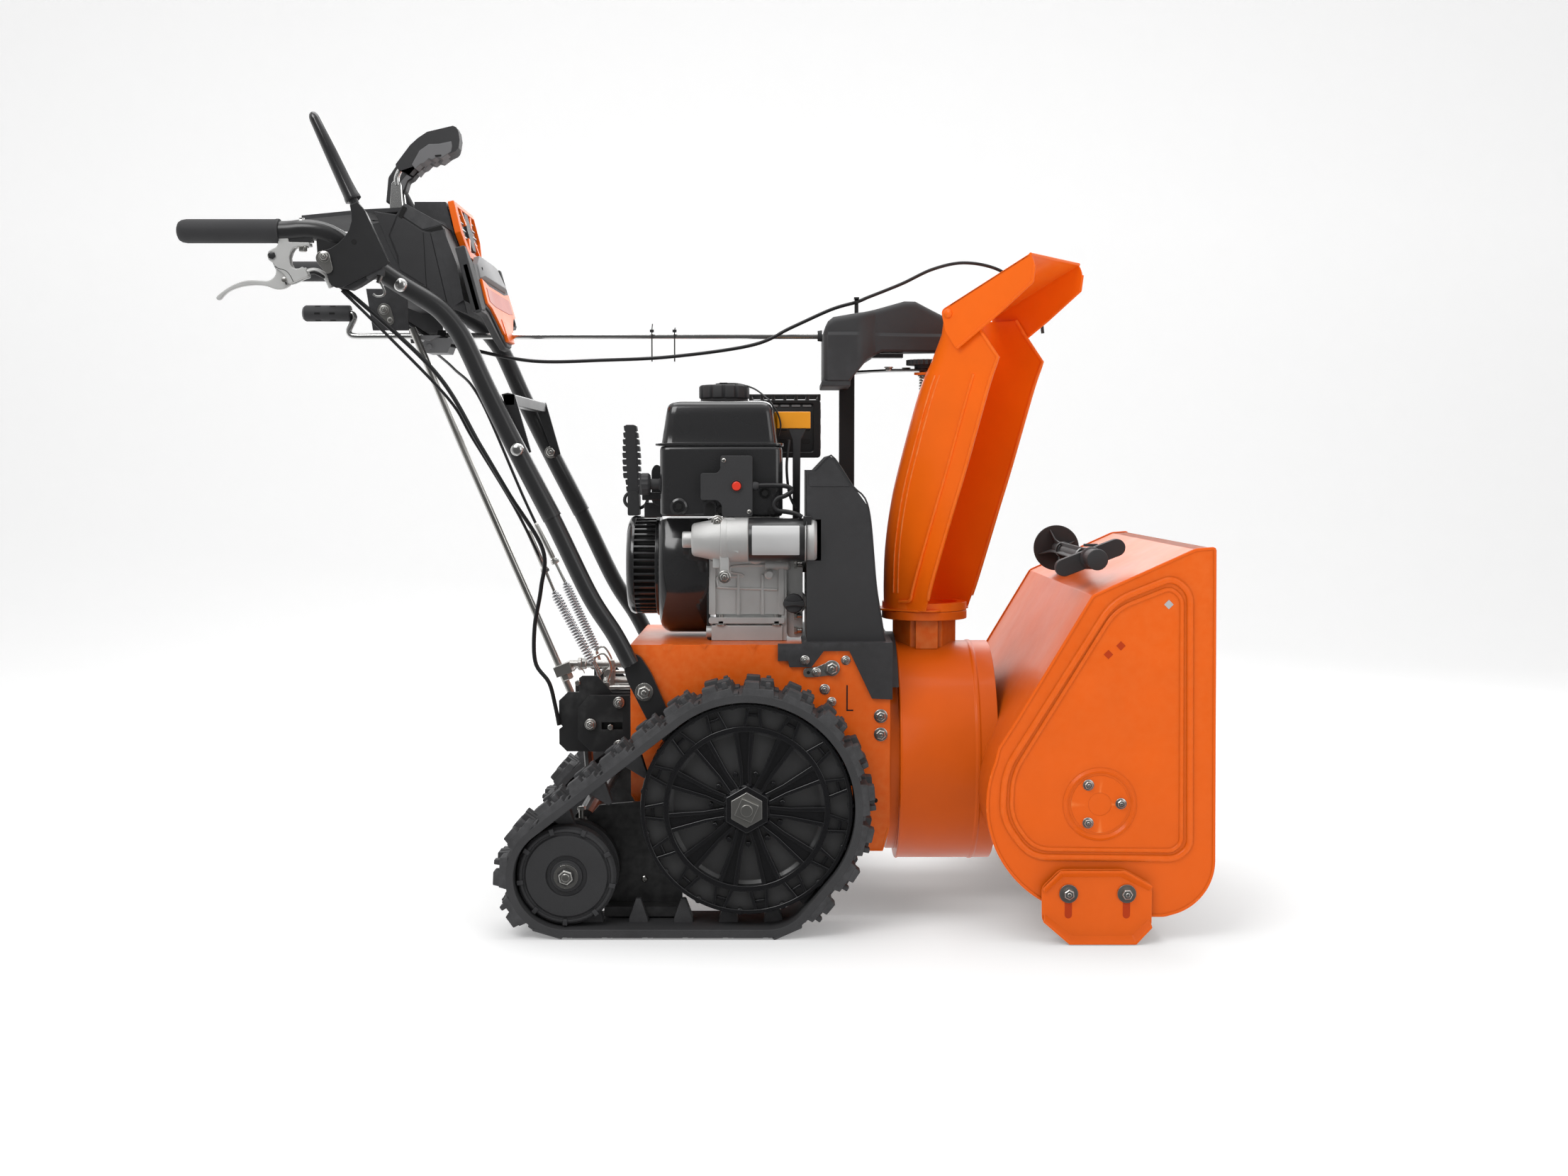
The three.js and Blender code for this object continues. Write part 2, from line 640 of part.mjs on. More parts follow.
// U-shaped section of the chute at one height, in the chute's own forward / left axes.
function chuteSection(z, back, front, halfWidth, frontHalf, inset) {
  const b = back + inset;
  const w = halfWidth - inset;
  const corner = Math.min(w * 0.8, (front - back) * 0.5, 46) - inset;
  const middle = back + (front - back) * 0.62;
  const points = [];
  points.push([front, -(frontHalf - inset)]);
  points.push([middle, -w]);
  const rear = arc(b + corner, -(w - corner), corner, 270, 180, 4);
  rear.forEach((p) => points.push(p));
  arc(b + corner, w - corner, corner, 180, 90, 4).forEach((p) => points.push(p));
  points.push([middle, w]);
  points.push([front, frontHalf - inset]);
  return points.map(([f, y]) => new THREE.Vector3(f, y, z));
}

const CHUTE_Z0 = RING_Z + 13;
// height, back, front, half width, half width at the front edge
const CHUTE_STATIONS = [
  [CHUTE_Z0, -54, 41, 64, 66], [480, -53, 53, 67, 70], [534, -49, 71, 69.4, 71.2], [594, -40, 91, 70.2, 71.5],
  [654, -25.5, 111, 70.8, 71.5], [772, 11.5, 147, 71.4, 71.8], [818, 33.5, 163, 72, 72], [856, 52, 135, 72, 72],
  [882, 62, 118, 72, 72],
];
const CHUTE_BOLT_R = 4;

function chute() {
  const outer = CHUTE_STATIONS.map((s) => chuteSection(...s, 0));
  const inner = CHUTE_STATIONS.map((s) => chuteSection(...s, CHUTE_SHEET));
  const collar = cut(
    rodZ(RING_R - 0.5, RING_Z + 11 + GAP, RING_Z + 24, 0, 0, 36),
    rodZ(NECK_R, RING_Z, RING_Z + 30, 0, 0, 24));
  const bracket = box(-12, 42, -14, 14, 800, 804);
  const gear = rodZ(30, 815, 823, 0, 0, 28);
  const bolt = rodZ(CHUTE_BOLT_R, 782, 826, 0, 0, 12);
  const nut = rodZ(7, 783, 790, 0, 0, 6);
  return join(sheet(outer, inner), collar, bracket, gear, bolt, nut);
}


function deflector() {
  const w = 76;
  const side = [[73, 889], [217.5, 962], [224, 946], [221, 921], [168, 880], [98, 832], [80, 858]];
  const top = [[70, 889], [217, 963], [218.5, 960], [71.5, 886]];
  return join(
    plateXZ(side, -w - 3, -w),
    plateXZ(side, w, w + 3),
    plateXZ(top, -w - 3, w + 3),
  );
}

function inChuteFrame(geometry) {
  return geometry.rotateZ(CHUTE_YAW).translate(CHUTE_X, 0, 0);
}

const POST_Y0 = 68;              // the post stands on the deck beside the belt opening
const POST_Y1 = 92;

// Post with the flat arm that carries the chute's top pivot.
function chutePost() {
  const arm = [[134, 95], [166, 95], [190, 40], [240, 16], [270, 14], [283, 8], [283, -8], [270, -14],
    [215, -14], [134, 62]];
  return join(
    box(139, 163, POST_Y0, POST_Y1, DECK_Z + GAP, 808),
    box(128, 174, POST_Y0 - 2, 112, DECK_Z + GAP, 406),
    plateXY(arm, 806, 809, [circle(CHUTE_X, 0, CHUTE_BOLT_R + GAP, 16)]),
  );
}

// Plastic cover over the chute gear, wide at the rear and narrow over the chute axis.
function gearCover() {
  const profile = [
    [111, 787], [111, 868], [122, 885], [175, 893], [235, 911], [250, 911], [298, 888], [293, 834],
    [200, 834],
    [178, 822], [160, 800], [150, 787],
  ];
  const plan = [
    [105, -60], [172, -60], [190, -40], [225, -30], [268, -21], [302, -18], [302, 18], [268, 21], [225, 30],
    [190, 42],
    [175, 98], [105, 98],
  ];
  const solid = toManifold(plateXZ(profile, -100, 100)).intersect(toManifold(plateXY(plan, 700, 1000)));
  return cut(fromManifold(solid),
    box(132, 256, -40, 96, 780, 824),
    rodX(ROD_R + GAP, 90, 190, ROD_Y, ROD_Z, 16),
    rodZ(34, 800, 830, CHUTE_X, 0, 28));
}

// ---------------------------------------------------------------- engine

const ENGINE_FOOT_Z = DECK_Z + GAP;
const SHEAVE_X0 = 128;

function engineBlock() {
  const body = join(
    box(-60, 53, -100, 70, 440, 580),
    box(-56, 50, -106, 80, ENGINE_FOOT_Z, 424),
    box(-50, 48, -96, 66, 424, 440),
    box(-45, 45, 60, 150, 470, 600),
    rodX(70, 53, 78, -10, 500, 28),
    box(53, 78, -92, -40, 430, 500),
  );
  const shaft = rodX(12, 70, SHEAVE_X0 + 4, 0, CRANK_Z, 20);
  return cut(join(body, shaft),
    rodY(11 + GAP, -110, -84, 66.4, 458, 16));
}

function crankSheave() {
  const profile = [[0, 0], [40, 0], [31, 9], [31, 13], [40, 22], [0, 22]];
  return cut(turned(profile, 20).rotateY(Math.PI / 2).translate(SHEAVE_X0, 0, CRANK_Z),
    rodX(12 + GAP, SHEAVE_X0 - 1, SHEAVE_X0 + 5, 0, CRANK_Z, 20));
}

function blowerShroud() {
  const outline = [...arc(0, CRANK_Z, 104, 150, 360 + 30, 22), [84, 583], [-84, 583]];
  return plateYZ(outline, -137, -61);
}

function recoilCover() {
  const ring = turned([[0, 0], [70, 0], [75.5, 6], [75.5, 50], [66, 50], [66, 8], [0, 8]], 30)
    .rotateY(Math.PI / 2).translate(-188, 0, CRANK_Z);
  const slots = Array.from({ length: 12 }, (_, k) =>
    box(-175, -145, -4, 4, 60, 80).rotateX(2 * Math.PI * k / 12).translate(0, 0, CRANK_Z));
  return cut(ring, ...slots);
}

function recoilHandle() {
  const outline = [
    [-196, 622], [-197, 640], [-196, 700], [-193, 722], [-180, 724], [-174, 700], [-173, 640], [-175, 622],
    [-180, 600], [-182, 590], [-192, 590], [-193, 600],
  ];
  return plateXZ(outline, -14, 14);
}

function engineCover() {
  const outline = [[-131, 587], [50, 587], [50, 684], [43, 690], [-124, 690], [-131, 684]];
  const button = rodX(8 + GAP, -140, -118, -100, 634, 16);
  return cut(plateXZ(outline, -125, 46), button);
}

function chokeKnob() {
  return join(
    rodX(8, -147, -119, -100, 634, 16),
    rodX(17, -160, -146, -100, 634, 14),
  );
}

function fuelTank() {
  const rings = [[0, 690 + GAP, 3], [0, 694, 3], [0, 694.1, -4], [0, 712, -7], [0, 745, -12], [0, 753, -17],
    [0, 757, -28]];
  const sections = rings.map(([, z, grow]) => {
    const x0 = -135 - grow;
    const x1 = 49 + grow;
    const y0 = -121 - grow;
    const y1 = 46 + grow;
    const c = 16;
    return [
      [x0 + c, y0], [x1 - c, y0], [x1 - c / 3, y0 + c / 3], [x1, y0 + c], [x1, y1 - c],
      [x1 - c / 3, y1 - c / 3],
      [x1 - c, y1], [x0 + c, y1], [x0 + c / 3, y1 - c / 3], [x0, y1 - c], [x0, y0 + c],
      [x0 + c / 3, y0 + c / 3],
    ].map(([x, y]) => new THREE.Vector3(x, y, z));
  });
  return join(skinned(sections), rodZ(30, 750, 762, CAP_X, CAP_Y, 24));
}

const CAP_X = -39;
const CAP_Y = -20;

function fuelCap() {
  const ribs = 16;
  const outline = Array.from({ length: ribs * 2 }, (_, k) => {
    const a = Math.PI * k / ribs;
    const r = k % 2 ? 38.5 : 36;
    return [CAP_X + r * Math.cos(a), CAP_Y + r * Math.sin(a)];
  });
  return cut(plateXY(outline, 759, 783), rodZ(30 + GAP, 750, 762 + GAP, CAP_X, CAP_Y, 24));
}

function muffler() {
  return join(
    box(0, 106, 62, 190, 676, 770),
    box(-3, 109.5, 58, 194, 680, 774),
    rodZ(16, 600 + GAP, 680, 20, 110, 16),
  );
}

// Amber plate on its black bracket beside the tank.
function amberPlate() {
  return join(
    box(45, 92, -50, -44, 718, 742),
    plateXZ([[62, 718.5], [82, 718.5], [76, 702], [76, 562], [66, 562], [66, 702]], -49, -45),
  );
}

function oilPlug() {
  return join(
    rodY(11, -112, -85, 66.4, 458, 16),
    rodY(13, -124, -112, 66.4, 458, 16),
    box(53, 79, -128, -122, 454, 462),
  );
}

const STARTER_Y = -137;
const STARTER_Z = 553;

function starterMotor() {
  const profile = [
    [0, 0], [12, 0], [12, 13], [23, 13], [27, 18], [30, 50], [31, 60], [31, 97], [29, 98], [29, 178],
    [31, 179],
    [31, 193], [27, 197], [0, 197],
  ];
  const body = turned(profile, 20).rotateY(Math.PI / 2).translate(-97, STARTER_Y, STARTER_Z);
  const flange = plateXZ([[-36, 520], [-10, 520], [-10, 583], [-30, 583]], -120, -101);
  return join(body, flange);
}

const BUTTON_X = -17.4;
const BUTTON_Z = 631.6;
const BUTTON_TRAVEL = 3;

function switchBox() {
  const outline = [
    [-70, 611], [-48, 611], [-40, 603], [-39, 588], [2, 587], [6, 591], [6, 672], [2, 676], [-38, 676],
    [-41, 671], [-41, 656], [-46, 650.5], [-70, 650.5],
  ];
  const lead = bar(smooth([
    [4, -133, 632], [52, -136, 632], [66, -138, 625], [52, -140, 617], [40, -141, 608], [42, -142, 594],
    [66, -145, 590], [84, -147, 588.5]], 14), 3.4, 6);
  const body = cut(plateXZ(outline, -139, -125 - GAP), rodY(6.8 + GAP, -142, -130, BUTTON_X, BUTTON_Z, 16));
  return join(body, lead);
}

function startButton() {
  return rodY(6.8, -144.5, -130 - BUTTON_TRAVEL - GAP, BUTTON_X, BUTTON_Z, 16);
}

function beltCover() {
  const face = [[85, 405], [85, 655], [97, 655], [117, 676], [126, 671], [152, 633], [176, 600], [188, 484],
    [201, 405]];
  const low = [
    [43, 378], [58, 378], [60, 369], [92, 369], [110, 392.5], [147, 392.5], [180, 323], [210, 321.5],
    [210, 404],
    [78, 404], [78, 403], [43, 403],
  ];
  const shell = plateXZ(face, -150, 150);
  const hollow = plateXZ([[88, 401], [88, 650], [98, 650], [117, 668], [124, 667], [148, 631], [172, 598],
    [184, 484], [197, 401]],
    -146, 146);
  const shaftHole = rodX(12 + 2, 80, 92, 0, CRANK_Z, 20);
  const skirt = plateXZ(low, -171, -FRAME_HALF - GAP);
  const shelf = box(78, 210, -171, 171, DECK_Z + GAP, 405);
  const postHole = box(127, 175, POST_Y0 - 3, 113, 395, 410);
  const postSlot = box(138, 164, POST_Y0 - 1, POST_Y1 + 1, 395, 720);
  const beltWay = box(88, 196, -64, 64, 395, 410);
  const starterRecess = rodX(33, 80, 106, STARTER_Y, STARTER_Z, 20);
  const collar = cut(
    rodX(DRUM_R + 14, 205, 221, 0, DRUM_Z, 48),
    rodX(DRUM_R + 1, 200, 225, 0, DRUM_Z, 48),
    box(200, 230, -220, 220, 0, 336),
    box(200, FRAME_FRONT_X + GAP, -162 - 4, 162 + 4, 300, DECK_Z + GAP));
  return cut(join(shell, skirt, mirrored(skirt), shelf, collar),
    hollow, shaftHole, postHole, postSlot, beltWay, starterRecess);
}

// ---------------------------------------------------------------- handlebars and console

const GRIP_Y = -247;
const GRIP_Z = 985.3;
const GRIP_X0 = -788;
const GRIP_X1 = -646.5;

function handlebarRight() {
  const y = -TUBE_Y;
  const tube = bar([[-346, y, 714], [-280, y, 582], [-229, y, 475], [-193, y, 418],
    [-170, y + 2, 374]], TUBE_R, 12);
  const blade = [[-186, 392], [-176, 350], [-145, 288], [-113, 297], [-141, 362], [-158, 388]];
  return join(
    tube,
    plateXZ(blade, -177, -FRAME_HALF - 2 * GAP),
    rodY(10, -185, -176, -151, 333.4, 6),
  );
}

// Both upper tubes with the brace that ties them, and the lever pivots below them.
function handlebarUpper() {
  const y = -TUBE_Y;
  const tube = bar([
    [-282, y, 587], [-331.6, y, 684], [-374, y, 771], [-395, -183, 818], [-409, -186, 847], [-426, -190, 871],
    [-446, -196, 890], [-487, -208, 915.4], [-525, -222, 941.6], [-552, -234, 963.6], [-568, -240, 975],
    [-584, -244, 983], [-602, -246, 987], [-622, -247, 987], [-646, -247, GRIP_Z], [-782, -247, GRIP_Z],
  ], UPPER_TUBE_R, 12);
  const bore = bar([[-276, y, 574], [-350, y, 722]], TUBE_R + 2 * GAP, 12);
  const half = cut(join(tube, leverTab(), triggerBody()), bore);
  const brace = box(-352, -336, -TUBE_Y, TUBE_Y, 748, 764);
  const left = join(cut(tube, bore), leverTab());
  return join(half, mirrored(left), brace);
}

const LEVER_PIVOT = [-579.7, 948.3];
const LEVER_PLATE_Y = -265;      // outer face of the clutch lever's plate
const LEVER_SHEET = 3;

function leverTab() {
  const [x, z] = LEVER_PIVOT;
  return join(
    plateXZ([[x - 16, 984], [x + 14, 976], [x + 14, z - 6], [x, z - 12], [x - 14, z - 6]], -251, -247),
    rodY(4.5, LEVER_PLATE_Y - 6, -248, x, z, 12),
    rodY(8, LEVER_PLATE_Y - 7, LEVER_PLATE_Y - GAP, x, z, 6),
  );
}

function grip() {
  return cut(
    bar([[GRIP_X0, GRIP_Y, GRIP_Z], [GRIP_X0 + 5, GRIP_Y, GRIP_Z], [GRIP_X1, GRIP_Y, GRIP_Z]],
      [11.5, GRIP_R, GRIP_R], 18),
    bar([[-782 - GAP, GRIP_Y, GRIP_Z], [GRIP_X1 + 2, GRIP_Y, GRIP_Z]], UPPER_TUBE_R + 1.5 * GAP, 18));
}

// Sheet lever with a round sleeve; it swings back until the sleeve lies over the grip.
function clutchLeverRight() {
  const plate = [
    [-586, 955], [-572, 960], [-558, 970], [-547, 982], [-542, 997], [-544, 1013], [-547, 1036], [-533, 1036],
    [-517, 997], [-491, 939], [-502, 933], [-555, 907], [-565, 905.5], [-574.4, 911], [-578, 923],
    [-588, 939],
    [-590, 948],
  ];
  const y = LEVER_PLATE_Y;
  const sleeve = bar([
    [-536, -258, 1014], [-544.4, -256, 1031.7], [-571.7, -255, 1090.7], [-596, -254, 1142],
    [-598, -254, 1146],
  ], [6, 10.8, 9, 7, 3], 12);
  return join(
    plateXZ(plate, y, y + LEVER_SHEET, [circle(...LEVER_PIVOT, 4.5 + GAP, 12), circle(-540.3, 968.6, 3.6,
      10)]),
    sleeve,
  );
}

const TRIGGER_PIVOT = [-657.3, 951.3];

// Cast clamp of the trigger, under the right grip's tube.
function triggerBody() {
  const outline = [
    [-645.5, 978], [-636, 978], [-634, 969], [-604, 969], [-604, 962], [-626, 960], [-633, 954], [-634, 944],
    [-628, 938], [-616, 938], [-611, 925], [-632, 924], [-646, 935], [-664, 945], [-664, 957], [-655, 964],
    [-645.5, 966],
  ];
  return join(
    plateXZ(outline, GRIP_Y - 9, GRIP_Y - 4),
    plateXZ(outline, GRIP_Y + 4, GRIP_Y + 9),
    plateXZ([[-645.5, 984], [-634, 984], [-634, 958], [-645.5, 962]], GRIP_Y - 8, GRIP_Y + 8),
    rodY(4, GRIP_Y - 10, GRIP_Y + 10, ...TRIGGER_PIVOT, 10),
  );
}

function triggerLever() {
  const outline = [
    [-664, 955], [-660, 958.5], [-653, 958], [-650, 953], [-651, 938], [-640, 926], [-634, 920],
    [-640, 911], [-651, 907],
    [-668, 911], [-690, 912], [-707, 909], [-720, 902], [-731, 891], [-738, 894], [-728, 907], [-712, 916],
    [-692, 920.5], [-672, 920], [-659, 925], [-657, 937],
  ];
  return plateXZ(outline, GRIP_Y - 3.5, GRIP_Y + 3.5, [circle(...TRIGGER_PIVOT, 4 + GAP, 10)]);
}

const HAND_LEVER_X = -525;
const HAND_LEVER_Z = 950;
const SPEED_Y = -45;
const DEFLECT_Y = 12;
const SLOT_HALF = 8;

function leverSlot(y) {
  return box(-566, -488, y - SLOT_HALF, y + SLOT_HALF, 925, 1060);
}

function consoleShell() {
  const body = [
    [-560, 1004], [-511, 1016], [-496, 1037], [-441, 1007], [-420, 951], [-411, 900], [-428, 889],
    [-465, 920],
    [-507, 936], [-560, 985],
  ];
  const hump = [[-496, 1030], [-495, 1051], [-449, 1051], [-430, 978], [-440, 960]];
  const dash = [[-668, -58], [-668, 58], [-560, 120], [-496, 140], [-496, -140], [-560, -120]];
  const bracket = [[-556, 918], [-497, 918], [-495, 858], [-547, 858]];
  const pins = [SPEED_Y, DEFLECT_Y].map((y) => rodY(5, y - SLOT_HALF - 1, y + SLOT_HALF + 1, HAND_LEVER_X,
    HAND_LEVER_Z, 12));
  const solid = cut(
    join(
      plateXZ(body, -150, 150),
      plateXZ(hump, -78, 78),
      plateXY(dash, 1028, 1034),
      plateXZ(bracket, -132, -128),
      plateXZ(bracket, 128, 132),
      box(-530, -490, -132, 132, 905, 945)),
    leverSlot(SPEED_Y), leverSlot(DEFLECT_Y));
  return join(solid, ...pins);
}

// Sloping plate in front of the console, outline in (y, z below the top edge).
function sloped(outline, x, z, tilt, thickness) {
  return plateYZ(outline, -thickness, 0).rotateY(-tilt * Math.PI / 180).translate(x, 0, z);
}

const rodWay = () => rodX(ROD_R + 1.5, -500, -340, ROD_Y, ROD_Z, 12);

function frontPanel() {
  const outline = [
    [-165, 5], [165, 5], [165, -68], [118, -70], [60, -100], [20, -109], [-20, -109], [-60, -100],
    [-118, -70], [-165, -68],
  ];
  const panel = sloped(outline, -399, 948, 14.9, 11);
  const badge = sloped([
    [-128, -13], [-70, -20], [70, -20], [128, -13], [132, -56], [98, -62], [48, -94], [-48, -94],
    [-98, -62], [-132, -56],
  ], -395, 949, 14.9, 5);
  return cut(join(panel, badge), rodWay());
}

function headlight() {
  return sloped([[-80, 2], [80, 2], [82, -46], [52, -80], [-52, -80], [-82, -46]], -438, 1051, 13.4, 8);
}

function handLever(y, lean) {
  const gripShape = [
    [-549, 1060], [-543, 1092], [-524, 1114], [-500, 1140], [-478, 1153], [-438, 1163], [-430, 1150],
    [-430, 1132],
    [-446, 1119], [-486, 1098], [-508, 1082], [-518, 1052], [-541, 1050],
  ];
  const stem = [[-531, 942], [-519, 942], [-519, 1000], [-520, 1096], [-534, 1096], [-533, 1000]];
  const lever = join(
    plateXZ(gripShape, -13, 13),
    plateXZ(stem, -4, 4),
    rodY(12, -4, 4, HAND_LEVER_X, HAND_LEVER_Z, 16),
  );
  const drilled = cut(lever, rodY(5 + GAP, -5, 5, HAND_LEVER_X, HAND_LEVER_Z, 16));
  return drilled.translate(-HAND_LEVER_X, 0, -HAND_LEVER_Z).rotateY(lean).translate(HAND_LEVER_X, y,
    HAND_LEVER_Z);
}

// ---------------------------------------------------------------- chute crank, rods, cables and tool

const ROLLER_X0 = -690;
const ROLLER_X1 = -617;
const CRANK_THROW_Z = ROD_Z + 34.7;

function chuteCrank() {
  return bar([
    [ROLLER_X0 + 8, ROD_Y, CRANK_THROW_Z], [ROLLER_X1, ROD_Y, CRANK_THROW_Z],
    [-613, ROD_Y, CRANK_THROW_Z - 3],
    [-614, ROD_Y, CRANK_THROW_Z - 11], [-622, ROD_Y, ROD_Z + 9], [-621, ROD_Y, ROD_Z + 3],
    [-614, ROD_Y, ROD_Z],
    [185, ROD_Y, ROD_Z],
  ], ROD_R, 12);
}

function crankRoller() {
  return cut(
    bar([[ROLLER_X0, ROD_Y, CRANK_THROW_Z], [ROLLER_X0 + 3, ROD_Y, CRANK_THROW_Z],
      [ROLLER_X1 - 6, ROD_Y, CRANK_THROW_Z]],
      [10, 12.5, 12.5], 18),
    rodX(ROD_R + 2 * GAP, ROLLER_X0 + 7, ROLLER_X1 + 2, ROD_Y, CRANK_THROW_Z, 18));
}

// Rod from the speed lever down to the drive, with its clevis block and cross arm.
function shiftRod() {
  return join(
    bar([[-508, -45, 868], [-434.4, -45, 689.7], [-265.6, -45, 297]], 5.5, 10),
    box(-13, 13, -14, 14, -8, 8).rotateY(-0.38).translate(-284, -45, 352),
    rodX(6, -275, -178, -45, 360, 12),
    rodX(6, -215, -178, -45, 334, 12),
    box(-214, -206, -51, -39, 330, 364),
  );
}

// One clutch cable with its return spring, hooked to the arm below.
function clutchLinkRight() {
  const cable = smooth([
    [-562, -249, 904], [-512, -232, 852], [-425, -206, 757], [-392, -196, 700], [-340, -150, 600],
    [-309, -108, 522],
    [-290.6, -95, 472],
  ], 18);
  const spring = [[-292, -95, 475], [-233.7, -95, 365.7]];
  const hook = [[-236, -95, 370], [-218, -95, 330]];
  return join(bar(cable, 2.2, 6), bar(spring, 7.5, 10), bar(hook, 1.6, 6));
}

function clutchLinkLeft() {
  const cable = smooth([
    [-562, 249, 904], [-530, 190, 858], [-470, 80, 815], [-410, -25, 762], [-340, -25, 600], [-282, -25, 480],
  ], 16);
  const spring = [[-284, -25, 484], [-236.4, -25, 379.4]];
  const hook = [[-238, -25, 383], [-224, -25, 345]];
  return join(bar(cable, 2.2, 6), bar(spring, 7.5, 10), bar(hook, 1.6, 6));
}

function heightCable() {
  return bar(smooth([
    [-606, -247, 929], [-592, -246, 926], [-544.5, -235, 893], [-438, -215, 790], [-380, -205, 690],
    [-345, -170, 620],
    [-303, -130, 539], [-306.6, -125, 481], [-317, -122, 423], [-316.5, -120, 370], [-297, -118, 340],
    [-289, -112, 305], [-284, -108, 275],
  ], 26), 3, 6);
}

function deflectorCable() {
  return bar(smooth([
    [-520, -20, 878], [-472.6, -20, 850], [-425, -20, 838], [-331, -10, 821], [-224, 0, 823], [-117, 6, 829],
    [4, 12, 847], [64, 14, 874], [125, 22, 902], [164, 30, 914], [180, 35, 921],
  ], 26), 2.6, 6);
}

const TOOL_X = 490;
const TOOL_Z = 530;

function cleanOutTool() {
  const tilt = Math.atan2(38, 98);
  const crossBar = bar([[-52, 0, 0], [-46, 0, 0], [46, 0, 0], [52, 0, 0]], [7, 12.5, 12.5, 7], 12);
  return join(
    rodY(9, -200, 112, TOOL_X, TOOL_Z, 12),
    rodY(36.4, 109, 114, TOOL_X, TOOL_Z, 28),
    crossBar.rotateY(-tilt).translate(TOOL_X, -196, TOOL_Z),
    rodY(15, -262, -196, TOOL_X, TOOL_Z, 16),
  );
}

// ---------------------------------------------------------------- the machine

add('tractor_frame', tractorFrame(), 'orange');
add('rear_bracket', rearBracket(), 'blackPaint');
add('axle_right', axleRight(), 'zinc');
add('axle_left', mirrored(axleRight()), 'zinc');
add('drive_wheel_right', driveWheelRight(), 'glossBlack');
add('drive_wheel_left', mirrored(driveWheelRight()), 'glossBlack');
add('track_frame', trackFrame(), 'blackPaint');
add('track_right', trackRight(), 'rubber');
add('track_left', mirrored(trackRight()), 'rubber');
add('idler_right', idlerRight(), 'matteBlack');
add('idler_left', mirrored(idlerRight()), 'matteBlack');

add('auger_housing', augerHousing(), 'orange');
add('skid_right', skidRight(), 'orange');
add('skid_left', mirrored(skidRight()), 'orange');
add('auger_gearcase', augerGearcase(), 'alu');
add('auger_shaft', augerShaft(), 'steel');
add('auger_flight_right', augerFlightRight(), 'orange');
add('auger_flight_left', mirrored(augerFlightRight()), 'orange');
add('impeller', impeller(), 'orange');
add('chute', inChuteFrame(chute()), 'orange');
add('deflector', inChuteFrame(deflector()), 'orange');
add('chute_post', chutePost(), 'blackPaint');
add('gear_cover', gearCover(), 'matteBlack');
add('clean_out_tool', cleanOutTool(), 'matteBlack');

add('engine_block', engineBlock(), 'alu');
add('blower_shroud', blowerShroud(), 'glossBlack');
add('recoil_cover', recoilCover(), 'glossBlack');
add('recoil_handle', recoilHandle(), 'matteBlack');
add('engine_cover', engineCover(), 'glossBlack');
add('choke_knob', chokeKnob(), 'matteBlack');
add('fuel_tank', fuelTank(), 'glossBlack');
add('fuel_cap', fuelCap(), 'matteBlack');
add('muffler', muffler(), 'blackPaint');
add('amber_plate', amberPlate(), 'matteBlack');
add('oil_plug', oilPlug(), 'matteBlack');
add('starter_motor', starterMotor(), 'alu');
add('switch_box', switchBox(), 'matteBlack');
add('start_button', startButton(), 'red');
add('crank_sheave', crankSheave(), 'steel');
add('belt_cover', beltCover(), 'matteBlack');

add('handlebar_right', handlebarRight(), 'blackPaint');
add('handlebar_left', mirrored(handlebarRight()), 'blackPaint');
add('handlebar_upper', handlebarUpper(), 'blackPaint');
add('grip_right', grip(), 'rubber');
add('grip_left', mirrored(grip()), 'rubber');
add('clutch_lever_right', clutchLeverRight(), 'blackPaint');
add('clutch_lever_left', mirrored(clutchLeverRight()), 'blackPaint');
add('trigger_lever', triggerLever(), 'alu');
add('console', consoleShell(), 'matteBlack');
add('front_panel', frontPanel(), 'matteBlack');
add('headlight', headlight(), 'orange');
add('speed_lever', handLever(SPEED_Y, 0), 'matteBlack');
add('deflector_lever', handLever(DEFLECT_Y, -0.06), 'matteBlack');
add('chute_crank', chuteCrank(), 'steel');
add('crank_roller', crankRoller(), 'matteBlack');
add('shift_rod', shiftRod(), 'zinc');
add('clutch_link_right', clutchLinkRight(), 'steel');
add('clutch_link_left', clutchLinkLeft(), 'steel');
add('height_cable', heightCable(), 'rubber');
add('deflector_cable', deflectorCable(), 'rubber');

export default group;
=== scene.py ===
"""Looks of the tracked two-stage snowblower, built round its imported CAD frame.

Shapes are drawn in millimetres from the point on the ground below the drive axle. Piece.add turns them into
metres in the frame.
"""
import json
import math
import random

import bmesh
import bpy
from mathutils import Matrix, Vector

